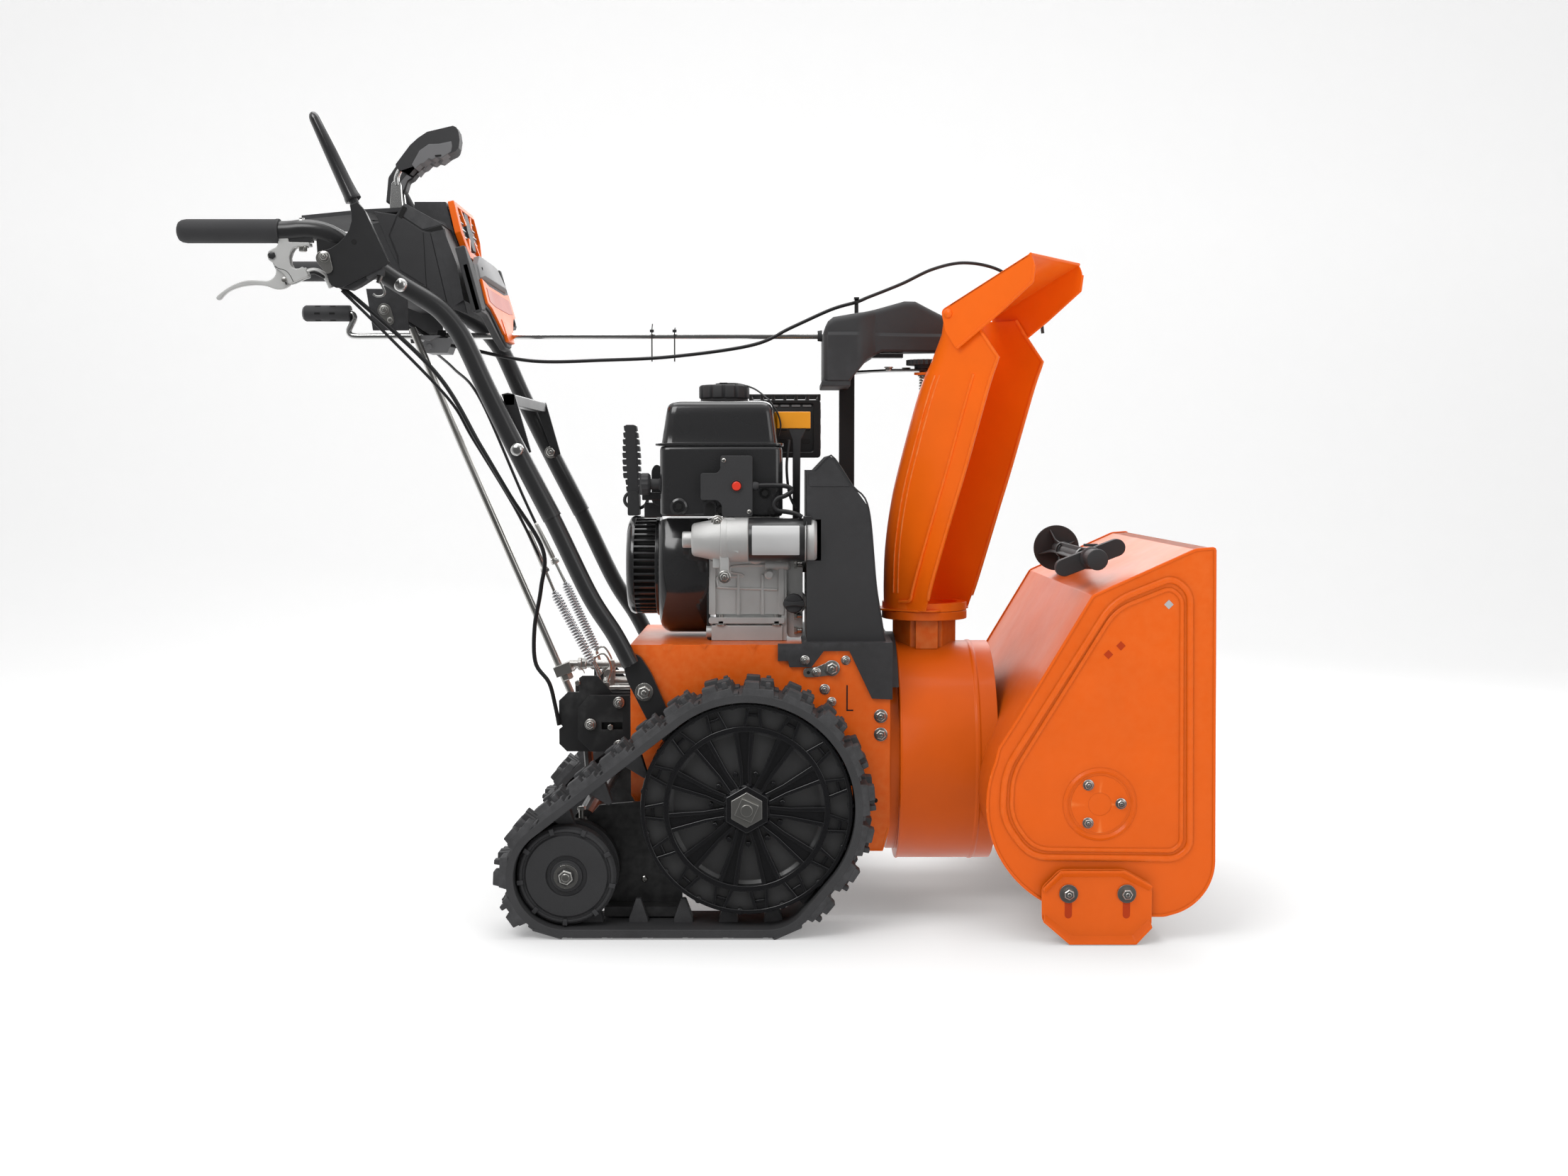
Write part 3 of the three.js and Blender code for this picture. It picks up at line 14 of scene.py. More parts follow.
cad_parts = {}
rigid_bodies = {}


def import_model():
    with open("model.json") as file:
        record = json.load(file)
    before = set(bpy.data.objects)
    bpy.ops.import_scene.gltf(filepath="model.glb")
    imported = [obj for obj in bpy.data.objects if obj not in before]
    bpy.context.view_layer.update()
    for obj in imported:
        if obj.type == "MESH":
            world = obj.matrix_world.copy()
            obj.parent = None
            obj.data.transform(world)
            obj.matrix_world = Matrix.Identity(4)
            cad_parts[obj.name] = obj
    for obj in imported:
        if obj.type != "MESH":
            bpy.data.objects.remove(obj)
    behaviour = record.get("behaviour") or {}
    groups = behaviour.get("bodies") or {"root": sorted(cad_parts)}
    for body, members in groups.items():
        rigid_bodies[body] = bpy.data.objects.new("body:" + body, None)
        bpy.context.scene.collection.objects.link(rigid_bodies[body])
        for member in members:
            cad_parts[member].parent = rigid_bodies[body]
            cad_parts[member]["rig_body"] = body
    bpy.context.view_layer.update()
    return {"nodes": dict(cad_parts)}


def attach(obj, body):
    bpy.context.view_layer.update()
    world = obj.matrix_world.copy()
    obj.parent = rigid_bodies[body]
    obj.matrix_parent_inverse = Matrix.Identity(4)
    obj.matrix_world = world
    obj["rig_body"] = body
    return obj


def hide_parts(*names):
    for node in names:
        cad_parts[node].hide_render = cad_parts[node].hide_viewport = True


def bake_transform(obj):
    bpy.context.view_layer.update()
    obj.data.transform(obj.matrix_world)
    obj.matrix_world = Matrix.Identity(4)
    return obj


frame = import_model()
MM = 0.001
ORIGIN = Vector((70.25, 0, -0.5))    # where the drawing origin lies in the frame, in millimetres
rng = random.Random(7)

# ---------------------------------------------------------------- materials

MIX_A, MIX_B, MIX_OUT = 6, 7, 2      # a colour Mix node's sockets


def material(name, color, rough, metal=0.0, coat=0.0, grain=0.0, scale=500.0, vary=0.06, tone=0.06, wear=None,
             brushed=None, specular=0.5, bounce=None):
    """Procedural finish: noise in the colour and roughness, a fine bump and, if asked for, worn edges."""
    mat = bpy.data.materials.new(name)
    mat.use_nodes = True
    nodes, links = mat.node_tree.nodes, mat.node_tree.links
    shader = nodes["Principled BSDF"]
    place = nodes.new("ShaderNodeTexCoord")
    mapping = nodes.new("ShaderNodeMapping")
    links.new(place.outputs["Object"], mapping.inputs["Vector"])
    if brushed:
        mapping.inputs["Scale"].default_value = brushed

    def noise(size, detail=3.0, vector=None):
        n = nodes.new("ShaderNodeTexNoise")
        n.inputs["Scale"].default_value = size
        n.inputs["Detail"].default_value = detail
        links.new(vector or place.outputs["Object"], n.inputs["Vector"])
        return n.outputs["Fac"]

    def spread(value, low, high):
        r = nodes.new("ShaderNodeMapRange")
        r.inputs["From Min"].default_value = 0.3
        r.inputs["From Max"].default_value = 0.7
        r.inputs["To Min"].default_value = low
        r.inputs["To Max"].default_value = high
        links.new(value, r.inputs["Value"])
        return r.outputs["Result"]

    mix = nodes.new("ShaderNodeMix")
    mix.data_type = "RGBA"
    mix.inputs[MIX_A].default_value = (*[c * (1 - tone) for c in color], 1)
    mix.inputs[MIX_B].default_value = (*[min(1, c * (1 + tone)) for c in color], 1)
    links.new(spread(noise(14), 0, 1), mix.inputs[0])
    base = mix.outputs[MIX_OUT]
    if wear:
        geo = nodes.new("ShaderNodeNewGeometry")
        ramp = nodes.new("ShaderNodeMapRange")
        ramp.inputs["From Min"].default_value = 0.53
        ramp.inputs["From Max"].default_value = 0.62
        links.new(geo.outputs["Pointiness"], ramp.inputs["Value"])
        gate = nodes.new("ShaderNodeMath")
        gate.operation = "MULTIPLY"
        links.new(ramp.outputs["Result"], gate.inputs[0])
        links.new(spread(noise(90), 0, 0.8), gate.inputs[1])
        worn = nodes.new("ShaderNodeMix")
        worn.data_type = "RGBA"
        worn.inputs[MIX_B].default_value = (*wear, 1)
        links.new(gate.outputs[0], worn.inputs[0])
        links.new(base, worn.inputs[MIX_A])
        base = worn.outputs[MIX_OUT]
    if bounce:
        # what the surface throws onto the floor is less coloured than what the camera sees
        rays = nodes.new("ShaderNodeLightPath")
        grey = nodes.new("ShaderNodeMix")
        grey.data_type = "RGBA"
        grey.inputs[MIX_B].default_value = (*bounce, 1)
        links.new(rays.outputs["Is Diffuse Ray"], grey.inputs[0])
        links.new(base, grey.inputs[MIX_A])
        base = grey.outputs[MIX_OUT]
    links.new(base, shader.inputs["Base Color"])
    links.new(spread(noise(9, 5), max(0.02, rough - vary), min(1, rough + vary)), shader.inputs["Roughness"])
    shader.inputs["Metallic"].default_value = metal
    shader.inputs["Specular IOR Level"].default_value = specular
    shader.inputs["Coat Weight"].default_value = coat
    shader.inputs["Coat Roughness"].default_value = 0.12
    if grain:
        bump = nodes.new("ShaderNodeBump")
        bump.inputs["Strength"].default_value = grain
        bump.inputs["Distance"].default_value = 0.0006
        links.new(noise(scale, 2, mapping.outputs["Vector"]), bump.inputs["Height"])
        links.new(bump.outputs["Normal"], shader.inputs["Normal"])
    return mat


M = {
    "orange": material("orange_paint", (0.84, 0.124, 0.004), 0.36, coat=0.10, grain=0.04, scale=900, tone=0.03,
                       wear=(0.98, 0.3, 0.08), specular=0.22, bounce=(0.22, 0.14, 0.11)),
    # the chute and deflector get the housing's orange paint made lighter: a painted lit copy of one paint
    "chuteorange": material("chute_orange_lit_copy", (0.97, 0.150, 0.004), 0.34, coat=0.12, grain=0.04, scale=900,
                            tone=0.03, wear=(0.98, 0.3, 0.08), specular=0.22),
    "black": material("black_paint", (0.020, 0.020, 0.021), 0.34, coat=0.3, grain=0.05, scale=900,
                      wear=(0.05, 0.05, 0.05)),
    "matte": material("matte_black_plastic", (0.034, 0.034, 0.036), 0.6, grain=0.35, scale=1400,
                      wear=(0.06, 0.06, 0.065)),
    "gloss": material("gloss_black_plastic", (0.022, 0.022, 0.023), 0.17, coat=0.6, vary=0.02, tone=0.02),
    "wheel": material("wheel_black", (0.006, 0.006, 0.007), 0.16, coat=0.7, vary=0.02),
    "petal": material("wheel_disc_black", (0.042, 0.042, 0.043), 0.34, coat=0.2, vary=0.05),
    "rubber": material("track_rubber", (0.040, 0.040, 0.042), 0.72, grain=0.5, scale=800, tone=0.12,
                       wear=(0.1, 0.1, 0.105)),
    "grip": material("grip_rubber", (0.03, 0.03, 0.032), 0.66, grain=0.4, scale=1600, wear=(0.07, 0.07, 0.07)),
    "pad": material("grey_pad", (0.16, 0.16, 0.165), 0.6, grain=0.5, scale=2200),
    "cable": material("cable_sheath", (0.013, 0.013, 0.014), 0.4, grain=0.06, scale=700),
    "alu": material("cast_aluminium", (0.62, 0.62, 0.61), 0.48, metal=0.6, grain=0.45, scale=1300, tone=0.08,
                    vary=0.1),
    "zinc": material("zinc_steel", (0.66, 0.65, 0.62), 0.3, metal=1.0, grain=0.12, scale=900, vary=0.1,
                     tone=0.08),
    "dullzinc": material("dull_zinc", (0.42, 0.42, 0.41), 0.4, metal=1.0, grain=0.12, scale=900, vary=0.1,
                         tone=0.08),
    "steel": material("bare_steel", (0.55, 0.56, 0.58), 0.28, metal=1.0, grain=0.15, scale=600, vary=0.08,
                      brushed=(1, 1, 12)),
    "bright": material("bright_steel", (0.80, 0.80, 0.79), 0.22, metal=1.0, grain=0.08, scale=600, vary=0.06),
    "plate": material("silver_plate", (0.62, 0.62, 0.62), 0.35, metal=0.3, grain=0.05, scale=500),
    "red": material("red_plastic", (0.75, 0.035, 0.012), 0.3, coat=0.3, grain=0.03),
    "amber": material("amber_plastic", (0.95, 0.36, 0.005), 0.35, coat=0.2, grain=0.05),
    "lens": material("grey_lens", (0.22, 0.23, 0.235), 0.34, metal=0.3, coat=0.2, grain=0.2, scale=260),
    "orangeplastic": material("orange_plastic", (0.95, 0.15, 0.004), 0.42, coat=0.02, grain=0.04, scale=600,
                              tone=0.03,
                              specular=0.2),
    "hump": material("dark_grey_plastic", (0.040, 0.040, 0.043), 0.58, grain=0.5, scale=1800,
                     wear=(0.09, 0.09, 0.09)),
    "greyplastic": material("grey_plastic", (0.20, 0.20, 0.205), 0.5, grain=0.25, scale=1500),
    # darker orange put in the housing windows, the skid slots and the badge's recess stands for the shade inside them
    # (painted shade)
    "amberdark": material("painted_shade_orange", (0.50, 0.045, 0.004), 0.4, grain=0.08, scale=700, specular=0.2),
    # near-black put in holes, slots, recesses and gaps between parts stands for the shade inside them (painted
    # shade); a few dark seam lines and bolt heads use it too
    "dark": material("painted_shade_and_seam_black", (0.008, 0.008, 0.008), 0.8, grain=0.1),
}

# ---------------------------------------------------------------- geometry helpers (verts, faces)


def arc(cx, cy, r, a0, a1, n):
    turns = [math.radians(a0 + (a1 - a0) * i / n) for i in range(n + 1)]
    return [(cx + r * math.cos(a), cy + r * math.sin(a)) for a in turns]


def ridged(even, odd, count):
    """Round outline with count ridges, its radius swapping between two values."""
    return [((odd if k % 2 else even) * math.cos(math.pi * k / count),
             (odd if k % 2 else even) * math.sin(math.pi * k / count)) for k in range(2 * count)]


def rounded(points, r, n=4):
    """Outline with every corner rounded."""
    out = []
    count = len(points)
    for i, p in enumerate(points):
        p = Vector(p)
        a, b = Vector(points[i - 1]) - p, Vector(points[(i + 1) % count]) - p
        reach = min(r, a.length * 0.45, b.length * 0.45)
        s, e = p + a.normalized() * reach, p + b.normalized() * reach
        for k in range(n + 1):
            t = k / n
            out.append(tuple((1 - t) ** 2 * s + 2 * t * (1 - t) * p + t * t * e))
    return out


def ring_faces(rows, cols, wrap=True):
    """Quads between neighbouring rows of points."""
    faces = []
    for i in range(rows - 1):
        for j in range(cols if wrap else cols - 1):
            a, b = i * cols + j, i * cols + (j + 1) % cols
            faces.append((a, b, b + cols, a + cols))
    return faces


def loft(rings, closed=False):
    """Skin through rings of points: capped at both ends, or joined up into a loop when closed."""
    n = len(rings[0])
    verts = [Vector(p) for ring in rings for p in ring]
    faces = ring_faces(len(rings), n)
    if closed:
        last = (len(rings) - 1) * n
        faces += [(last + j, last + (j + 1) % n, (j + 1) % n, j) for j in range(n)]
    else:
        faces += [tuple(reversed(range(n))), tuple(range(len(verts) - n, len(verts)))]
    return verts, faces


def prism(points, a0, a1, plane="xz"):
    """Outline in one plane, thick across it from a0 to a1."""
    put = {"xz": lambda p, q, t: (p, t, q), "yz": lambda p, q, t: (t, p, q), "xy": lambda p, q,
           t: (p, q, t)}[plane]
    return loft([[put(p, q, a) for p, q in points] for a in (a0, a1)])


def box(x0, x1, y0, y1, z0, z1):
    """Block between two corners."""
    return prism([(x0, z0), (x1, z0), (x1, z1), (x0, z1)], y0, y1)


def frame_at(tangent, across):
    """Two directions square to the tangent, the first one near across."""
    across = (across - tangent * across.dot(tangent))
    across = across.normalized() if across.length > 1e-6 else tangent.orthogonal().normalized()
    return across, tangent.cross(across)


def tube(path, r, sides=12, closed=False):
    """Round bar along a path; r may be a list."""
    path = [Vector(p) for p in path]
    n = len(path)
    circle = [(math.cos(2 * math.pi * j / sides), math.sin(2 * math.pi * j / sides)) for j in range(sides)]
    rings, across = [], Vector((0, 1, 0.013))
    for i, p in enumerate(path):
        a = path[i - 1] if (i or closed) else p
        b = path[(i + 1) % n] if (i < n - 1 or closed) else p
        t = ((p - a).normalized() + (b - p).normalized()).normalized()
        across, up = frame_at(t, across)
        k = r[i] if isinstance(r, (list, tuple)) else r
        rings.append([p + across * (u * k) + up * (w * k) for u, w in circle])
    return loft(rings, closed)


def smooth(points, count):
    """Catmull-Rom curve through the points, evenly resampled."""
    pts = [Vector(p) for p in points]
    ext = [pts[0] * 2 - pts[1]] + pts + [pts[-1] * 2 - pts[-2]]
    fine = []
    for i in range(1, len(ext) - 2):
        p0, p1, p2, p3 = ext[i - 1:i + 3]
        for k in range(16):
            t = k / 16
            fine.append(0.5 * (2 * p1 + (p2 - p0) * t + (2 * p0 - 5 * p1 + 4 * p2 - p3) * t * t
                               + (3 * p1 - p0 - 3 * p2 + p3) * t ** 3))
    fine.append(pts[-1])
    steps = [0.0]
    for a, b in zip(fine, fine[1:]):
        steps.append(steps[-1] + (b - a).length)
    out, j = [], 0
    for i in range(count + 1):
        s = steps[-1] * i / count
        while j < len(fine) - 2 and steps[j + 1] < s:
            j += 1
        span = steps[j + 1] - steps[j]
        out.append(fine[j].lerp(fine[j + 1], (s - steps[j]) / span if span else 0))
    return out


AXES = {"x": Vector((1, 0, 0)), "y": Vector((0, 1, 0)), "z": Vector((0, 0, 1))}


def direction(d):
    if isinstance(d, str):
        return AXES[d[-1]] * (-1 if d[0] == "-" else 1)
    return Vector(d).normalized()


def lathe(profile, origin, d, sides=48, closed=False, start=0.0, end=360.0):
    """Revolve (radius, height) pairs about the line through origin along d."""
    d, origin = direction(d), Vector(origin)
    u, w = frame_at(d, Vector((0, 0, 1)) if abs(d.z) < 0.9 else Vector((1, 0, 0)))
    full = abs(end - start) >= 360
    turns = [math.radians(start + (end - start) * j / sides) for j in range(sides if full else sides + 1)]
    rings = [[origin + d * h + u * (r * math.cos(a)) + w * (r * math.sin(a)) for a in turns] for r,
             h in profile]
    n = len(turns)
    verts = [p for ring in rings for p in ring]
    faces = ring_faces(len(rings), n, full)
    if closed:
        last = (len(rings) - 1) * n
        faces += [(last + j, last + (j + 1) % n, (j + 1) % n, j) for j in range(n if full else n - 1)]
    else:
        faces += [tuple(reversed(range(n))), tuple(range(len(verts) - n, len(verts)))]
    return verts, faces


def rod(o, d, r, length, sides=24):
    """Cylinder from o along d."""
    return lathe([(r, 0), (r, length)], o, d, sides)


def spin(shape, origin, d, degrees):
    turn = Matrix.Translation(origin) @ Matrix.Rotation(math.radians(degrees), 4,
                                                        direction(d)) @ Matrix.Translation(-Vector(origin))
    return [turn @ Vector(v) for v in shape[0]], shape[1]


def shifted(shape, x, y, z):
    return [Vector(v) + Vector((x, y, z)) for v in shape[0]], shape[1]


def flipped(shape):
    """Mirror to the other side of the machine."""
    return [Vector((v[0], -v[1], v[2])) for v in shape[0]], [tuple(reversed(f)) for f in shape[1]]


def helix(a, b, radius, turns, wire):
    """Coil spring from a to b."""
    a, b = Vector(a), Vector(b)
    d = (b - a).normalized()
    u, w = frame_at(d, Vector((0, 1, 0)))
    steps = int(turns * 10)
    path = []
    for i in range(steps + 1):
        angle = 2 * math.pi * turns * i / steps
        path.append(a.lerp(b, i / steps) + u * (radius * math.cos(angle)) + w * (radius * math.sin(angle)))
    return tube(path, wire, 6)


def hull(*points):
    """Convex solid round the points."""
    bm = bmesh.new()
    for p in points:
        bm.verts.new(p)
    made = bmesh.ops.convex_hull(bm, input=bm.verts)
    bmesh.ops.delete(bm, geom=list({v for v in made["geom_interior"] + made["geom_unused"]
                                    if isinstance(v, bmesh.types.BMVert)}), context="VERTS")
    bmesh.ops.dissolve_limit(bm, angle_limit=math.radians(1), verts=bm.verts, edges=bm.edges)
    bm.verts.ensure_lookup_table()
    bm.verts.index_update()
    shape = [v.co.copy() for v in bm.verts], [tuple(v.index for v in f.verts) for f in bm.faces]
    bm.free()
    return shape


def wide(points, half):
    """Outline points in xz, put on both sides of the mid plane."""
    return [(x, side * half, z) for x, z in points for side in (-1, 1)]


class Piece:
    """One visible object, gathered from shapes, that rides on a CAD body."""

    def __init__(self, name, body, mat, bevel=0.0, angle=32, segments=2, stands_for=()):
        self.name, self.body, self.mat, self.bevel = name, body, mat, bevel
        self.angle, self.segments, self.stands_for = angle, segments, stands_for
        self.verts, self.faces, self.mats, self.extra = [], [], [], []

    def add(self, *shapes, mat=None):
        for verts, faces in shapes:
            k = len(self.verts)
            self.verts += [(Vector(v) + ORIGIN) * MM for v in verts]
            self.faces += [tuple(i + k for i in f) for f in faces]
            if mat and mat not in self.extra:
                self.extra.append(mat)
            self.mats += [self.extra.index(mat) + 1 if mat else 0] * len(faces)
        return self

    def both(self, *shapes, mat=None):
        self.add(*shapes, mat=mat)
        return self.add(*[flipped(s) for s in shapes], mat=mat)

    def sided(self, side):
        """The left piece is the right one mirrored."""
        if side == "left":
            self.verts = [Vector((v.x, -v.y, v.z)) for v in self.verts]
        self.done()

    def mesh(self):
        me = bpy.data.meshes.new(self.name)
        me.from_pydata([tuple(v) for v in self.verts], [], self.faces)
        bm = bmesh.new()
        bm.from_mesh(me)
        for f, m in zip(bm.faces, self.mats):
            f.material_index = m
        bmesh.ops.recalc_face_normals(bm, faces=bm.faces)
        bm.to_mesh(me)
        bm.free()
        for m in [self.mat] + self.extra:
            me.materials.append(M[m])
        me.shade_smooth()
        me.set_sharp_from_angle(angle=math.radians(self.angle))
        o = bpy.data.objects.new(self.name, me)
        bpy.context.scene.collection.objects.link(o)
        if self.bevel:
            b = o.modifiers.new("edges", "BEVEL")
            b.width, b.segments, b.limit_method = self.bevel * MM, self.segments, "ANGLE"
            b.angle_limit = math.radians(self.angle)
            b.harden_normals = True
            b.use_clamp_overlap = True
        return o

    def done(self):
        o = self.mesh()
        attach(o, self.body)
        if self.stands_for:
            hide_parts(*self.stands_for)
        return o


def rework(node, mat, bevel=0.8, angle=30):
    """A finished copy of a CAD node: welded, its flat faces merged, its edges rounded."""
    source = frame["nodes"][node]
    bm = bmesh.new()
    bm.from_mesh(source.data)
    bmesh.ops.remove_doubles(bm, verts=bm.verts, dist=2e-5)
    bmesh.ops.dissolve_limit(bm, angle_limit=math.radians(0.6), verts=bm.verts, edges=bm.edges)
    me = bpy.data.meshes.new(node + "_skin")
    bm.to_mesh(me)
    bm.free()
    me.materials.clear()
    me.materials.append(M[mat])
    me.shade_smooth()
    me.set_sharp_from_angle(angle=math.radians(angle))
    o = bpy.data.objects.new(me.name, me)
    bpy.context.scene.collection.objects.link(o)
    if bevel:
        b = o.modifiers.new("edges", "BEVEL")
        b.width, b.segments, b.limit_method = bevel * MM, 2, "ANGLE"
        b.angle_limit = math.radians(angle)
        b.harden_normals = True
    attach(o, source["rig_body"])
    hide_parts(node)
    return o


def hexagon(o, d, across, h, turn=0.0):
    """Hex head with a chamfered crown."""
    r = across / math.sqrt(3)
    return spin(lathe([(r, 0), (r, h * 0.8), (r * 0.8, h)], o, d, 6), o, d, turn)


def bolt(o, d, across=13, washer=True):
    """Flanged hex bolt head, seated on o and standing out along d."""
    o, d = Vector(o), direction(d)
    turn = rng.uniform(0, 60)
    parts = [hexagon(o + d * 1.5, d, across, across * 0.42, turn)]
    if washer:
        parts.append(lathe([(across * 0.78, 0), (across * 0.78, 1.2), (across * 0.62, 2.0)], o, d, 24))
    parts.append(lathe([(across * 0.24, 0), (across * 0.24, across * 0.5 + 1),
                        (across * 0.17, across * 0.56 + 1)], o, d, 12))
    return parts


def dome(o, d, r, h):
    """Round carriage-bolt head."""
    crown = [(r, 0), (r * 0.96, h * 0.35), (r * 0.8, h * 0.68), (r * 0.5, h * 0.92), (r * 0.05, h)]
    return lathe(crown, o, d, 24)


# ---------------------------------------------------------------- tracks, wheels and undercarriage

AXLE_Z = 182
IDLER = (-253, 87.4)
TRACK_CIRCLES = [(0, AXLE_Z, 151.5), (*IDLER, 72.5), (30, 74.9, 60)]
BAND_THICK = 11.5
LUG_COUNT = 24
HORN_COUNT = 20
SPOKE_COUNT = 11
RIM_POCKETS = 15


def belt_path(circles, offset, step=2.5):
    """Closed path round circles taken anticlockwise, as (x, z, outward angle)."""
    turns = []
    for i, (x, z, r) in enumerate(circles):
        x2, z2, r2 = circles[(i + 1) % len(circles)]
        turns.append(math.atan2(z2 - z, x2 - x) - math.acos((r - r2) / math.hypot(x2 - x, z2 - z)))
    points = []
    for i, (x, z, r) in enumerate(circles):
        a, b = turns[i - 1], turns[i]
        while a > b:
            a -= 2 * math.pi
        n = max(3, int(math.degrees(b - a) / step))
        points += [(x + (r + offset) * math.cos(a + (b - a) * k / n),
                    z + (r + offset) * math.sin(a + (b - a) * k / n),
                    a + (b - a) * k / n) for k in range(n + 1)]
    return points


def stations(path, spots):
    """Points on a closed path at the given shares of its length."""
    pts = path + path[:1]
    lengths = [math.hypot(b[0] - a[0], b[1] - a[1]) for a, b in zip(pts, pts[1:])]
    total = sum(lengths)
    out = []
    for s in spots:
        left, i = (s % 1) * total, 0
        while left > lengths[i]:
            left -= lengths[i]
            i += 1
        a, b = pts[i], pts[i + 1]
        t = left / lengths[i]
        out.append((a[0] + (b[0] - a[0]) * t, a[1] + (b[1] - a[1]) * t,
                    math.atan2(b[1] - a[1], b[0] - a[0]) - math.pi / 2))
    return out


def on_belt(shape, spot):
    """Place a shape drawn with +X outward and +Z along the belt."""
    x, z, out = spot
    turn = Matrix.Translation((x, 0, z)) @ Matrix.Rotation(-out, 4, "Y")
    return [turn @ Vector(v) for v in shape[0]], shape[1]


def block(h, length, y0, y1, taper=3.0, shift=0.0):
    """Rubber block with drafted sides, standing out of the belt."""
    def row(x, t):
        return [(x, y0 + t, shift - length / 2 + t), (x, y1 - t, shift - length / 2 + t),
                (x, y1 - t, shift + length / 2 - t), (x, y0 + t, shift + length / 2 - t)]
    return loft([row(-3.0, 0), row(h, taper)])


def track(side):
    """Rubber band with its lugs outside and the row of guide horns inside."""
    band = Piece("track_band_" + side, "undercarriage", "rubber", bevel=1.4, stands_for=("track_" + side,))
    inner, outer = belt_path(TRACK_CIRCLES, 0), belt_path(TRACK_CIRCLES, BAND_THICK)
    pairs = list(zip(inner, outer))
    band.add(loft([[(a[0], -297, a[1]), (a[0], -190, a[1]), (b[0], -190, b[1]), (b[0], -297, b[1])] for a,
                   b in pairs], closed=True))
    lugs = Piece("track_lugs_" + side, "undercarriage", "rubber", bevel=1.2)
    for k in range(LUG_COUNT):
        spot = stations(outer, [(k + 0.3) / LUG_COUNT])[0]
        down = spot[1] < 20
        high, low = (1.6, 1.2) if down else (17, 8.5)
        shapes = [block(low, 46, -297, -262, 2, -2), block(high, 24, -296, -268, 2.5, 7),
                  block(low, 46, -225, -190, 2, -2), block(high, 24, -219, -191, 2.5, 7),
                  block(high, 22, -260, -245, 2, -13), block(high, 22, -242, -227, 2, -13),
                  block(low, 30, -268, -219, 2, 2),]
        if not down:
            shapes += [block(high + 0.2, 9, -290, -274, 1.2, -15), block(high + 0.2, 9, -213, -197, 1.2, -15)]
        lugs.add(*[on_belt(s, spot) for s in shapes])
        seam = stations(outer, [(k + 0.82) / LUG_COUNT])[0]
        ridge = 1 if down else 3
        lugs.add(*[on_belt(block(ridge, 9, y0, y1, 1), seam) for y0, y1 in ((-296, -262), (-225, -191))])
    horns = Piece("track_horns_" + side, "undercarriage", "rubber", bevel=1.5)
    for spot in stations(inner, [(k + 0.3) / HORN_COUNT for k in range(HORN_COUNT)]):
        def row(x, half, y1):
            return [(x, -492 - y1, -half), (x, y1, -half), (x, y1, half), (x, -492 - y1, half)]
        horns.add(on_belt(loft([row(3, 14, -236), row(-6, 13, -236), row(-20, 8, -238), row(-33, 3.5, -241)]),
                          spot))
    for piece in (band, lugs, horns):
        piece.sided(side)


def ring_around(r0, r1, y0, y1):
    return lathe([(r0, y0), (r1, y0), (r1, y1), (r0, y1)], (0, 0, AXLE_Z), "y", 96, closed=True)


def wheel(side):
    """Drive wheel: disc, spokes, rim pockets and the nut on its axle."""
    hub = Piece("wheel_disc_" + side, "wheel_" + side, "wheel", bevel=1.3, segments=3, angle=28,
                stands_for=("drive_wheel_" + side,))
    hub.add(lathe([(13, -272), (30, -271), (104, -266), (112, -272), (144, -272), (147, -284), (149, -282),
                   (149, -258), (116, -258), (116, -234), (149, -234), (149, -206), (142, -206), (140, -228),
                   (30, -228), (30, -204), (13, -204)], (0, 0, AXLE_Z), "y", 96, closed=True), mat="petal")
    hub.add(ring_around(109, 117, -283, -260), ring_around(142.5, 148.5, -284, -274))
    hub.add(lathe([(24, -287), (33, -287), (38, -280), (38, -262), (24, -262)], (0, 0, AXLE_Z), "y", 6,
                  closed=True))
    centre = (0, 0, AXLE_Z)
    for k in range(SPOKE_COUNT):
        a = 360 * k / SPOKE_COUNT + 6
        spoke = [(32, AXLE_Z - 8), (56, AXLE_Z - 8), (112, AXLE_Z - 15), (112, AXLE_Z + 15), (56, AXLE_Z + 8),
                 (32, AXLE_Z + 8)]
        rib = [(30, AXLE_Z + 3.5), (60, AXLE_Z + 3.2), (112, AXLE_Z + 8), (112, AXLE_Z + 14.5),
               (60, AXLE_Z + 8.5), (30, AXLE_Z + 8)]
        low = [(x, 2 * AXLE_Z - z) for x, z in rib]
        hub.add(*[spin(s, centre, "y", a) for s in (prism(spoke, -277, -262), prism(rib, -282, -266),
                                                    prism(low, -282, -266))])
        petal = [(47, AXLE_Z - 2.5), (52, AXLE_Z - 4), (55, AXLE_Z), (52, AXLE_Z + 4), (47, AXLE_Z + 2.5)]
        hub.add(spin(prism(petal, -280, -262), centre, "y", a + 180 / SPOKE_COUNT))
    for k in range(RIM_POCKETS):
        a = 360 * k / RIM_POCKETS + 10
        leg = [(115, AXLE_Z + 9), (144, AXLE_Z + 5), (144, AXLE_Z + 9.5), (115, AXLE_Z + 14)]
        low = [(x, 2 * AXLE_Z - z) for x, z in leg]
        bar = [(130, AXLE_Z - 7), (134, AXLE_Z - 7), (134, AXLE_Z + 7), (130, AXLE_Z + 7)]
        hub.add(*[spin(prism(s, -282.5, -262), centre, "y", a) for s in (leg, low)])
        hub.add(spin(prism(bar, -279, -262), centre, "y", a))
        hub.add(spin(lathe([(5, -283.5), (5, -259)], (145.5, 0, AXLE_Z), "y", 12), centre, "y", a + 12))
    nut = Piece("wheel_nut_" + side, "wheel_" + side, "zinc", bevel=0.8, stands_for=("axle_" + side,))
    nut.add(lathe([(25, -289), (25, -284.6), (24, -283)], centre, "y", 6))
    nut.add(spin(box(-13, 13, -293, -288, AXLE_Z - 13, AXLE_Z + 13), centre, "y", 24))
    nut.add(rod((0, -295.5, AXLE_Z), "y", 8.5, 6), rod((0, -290, AXLE_Z), "y", 12.5, 286))
    for piece in (hub, nut):
        piece.sided(side)


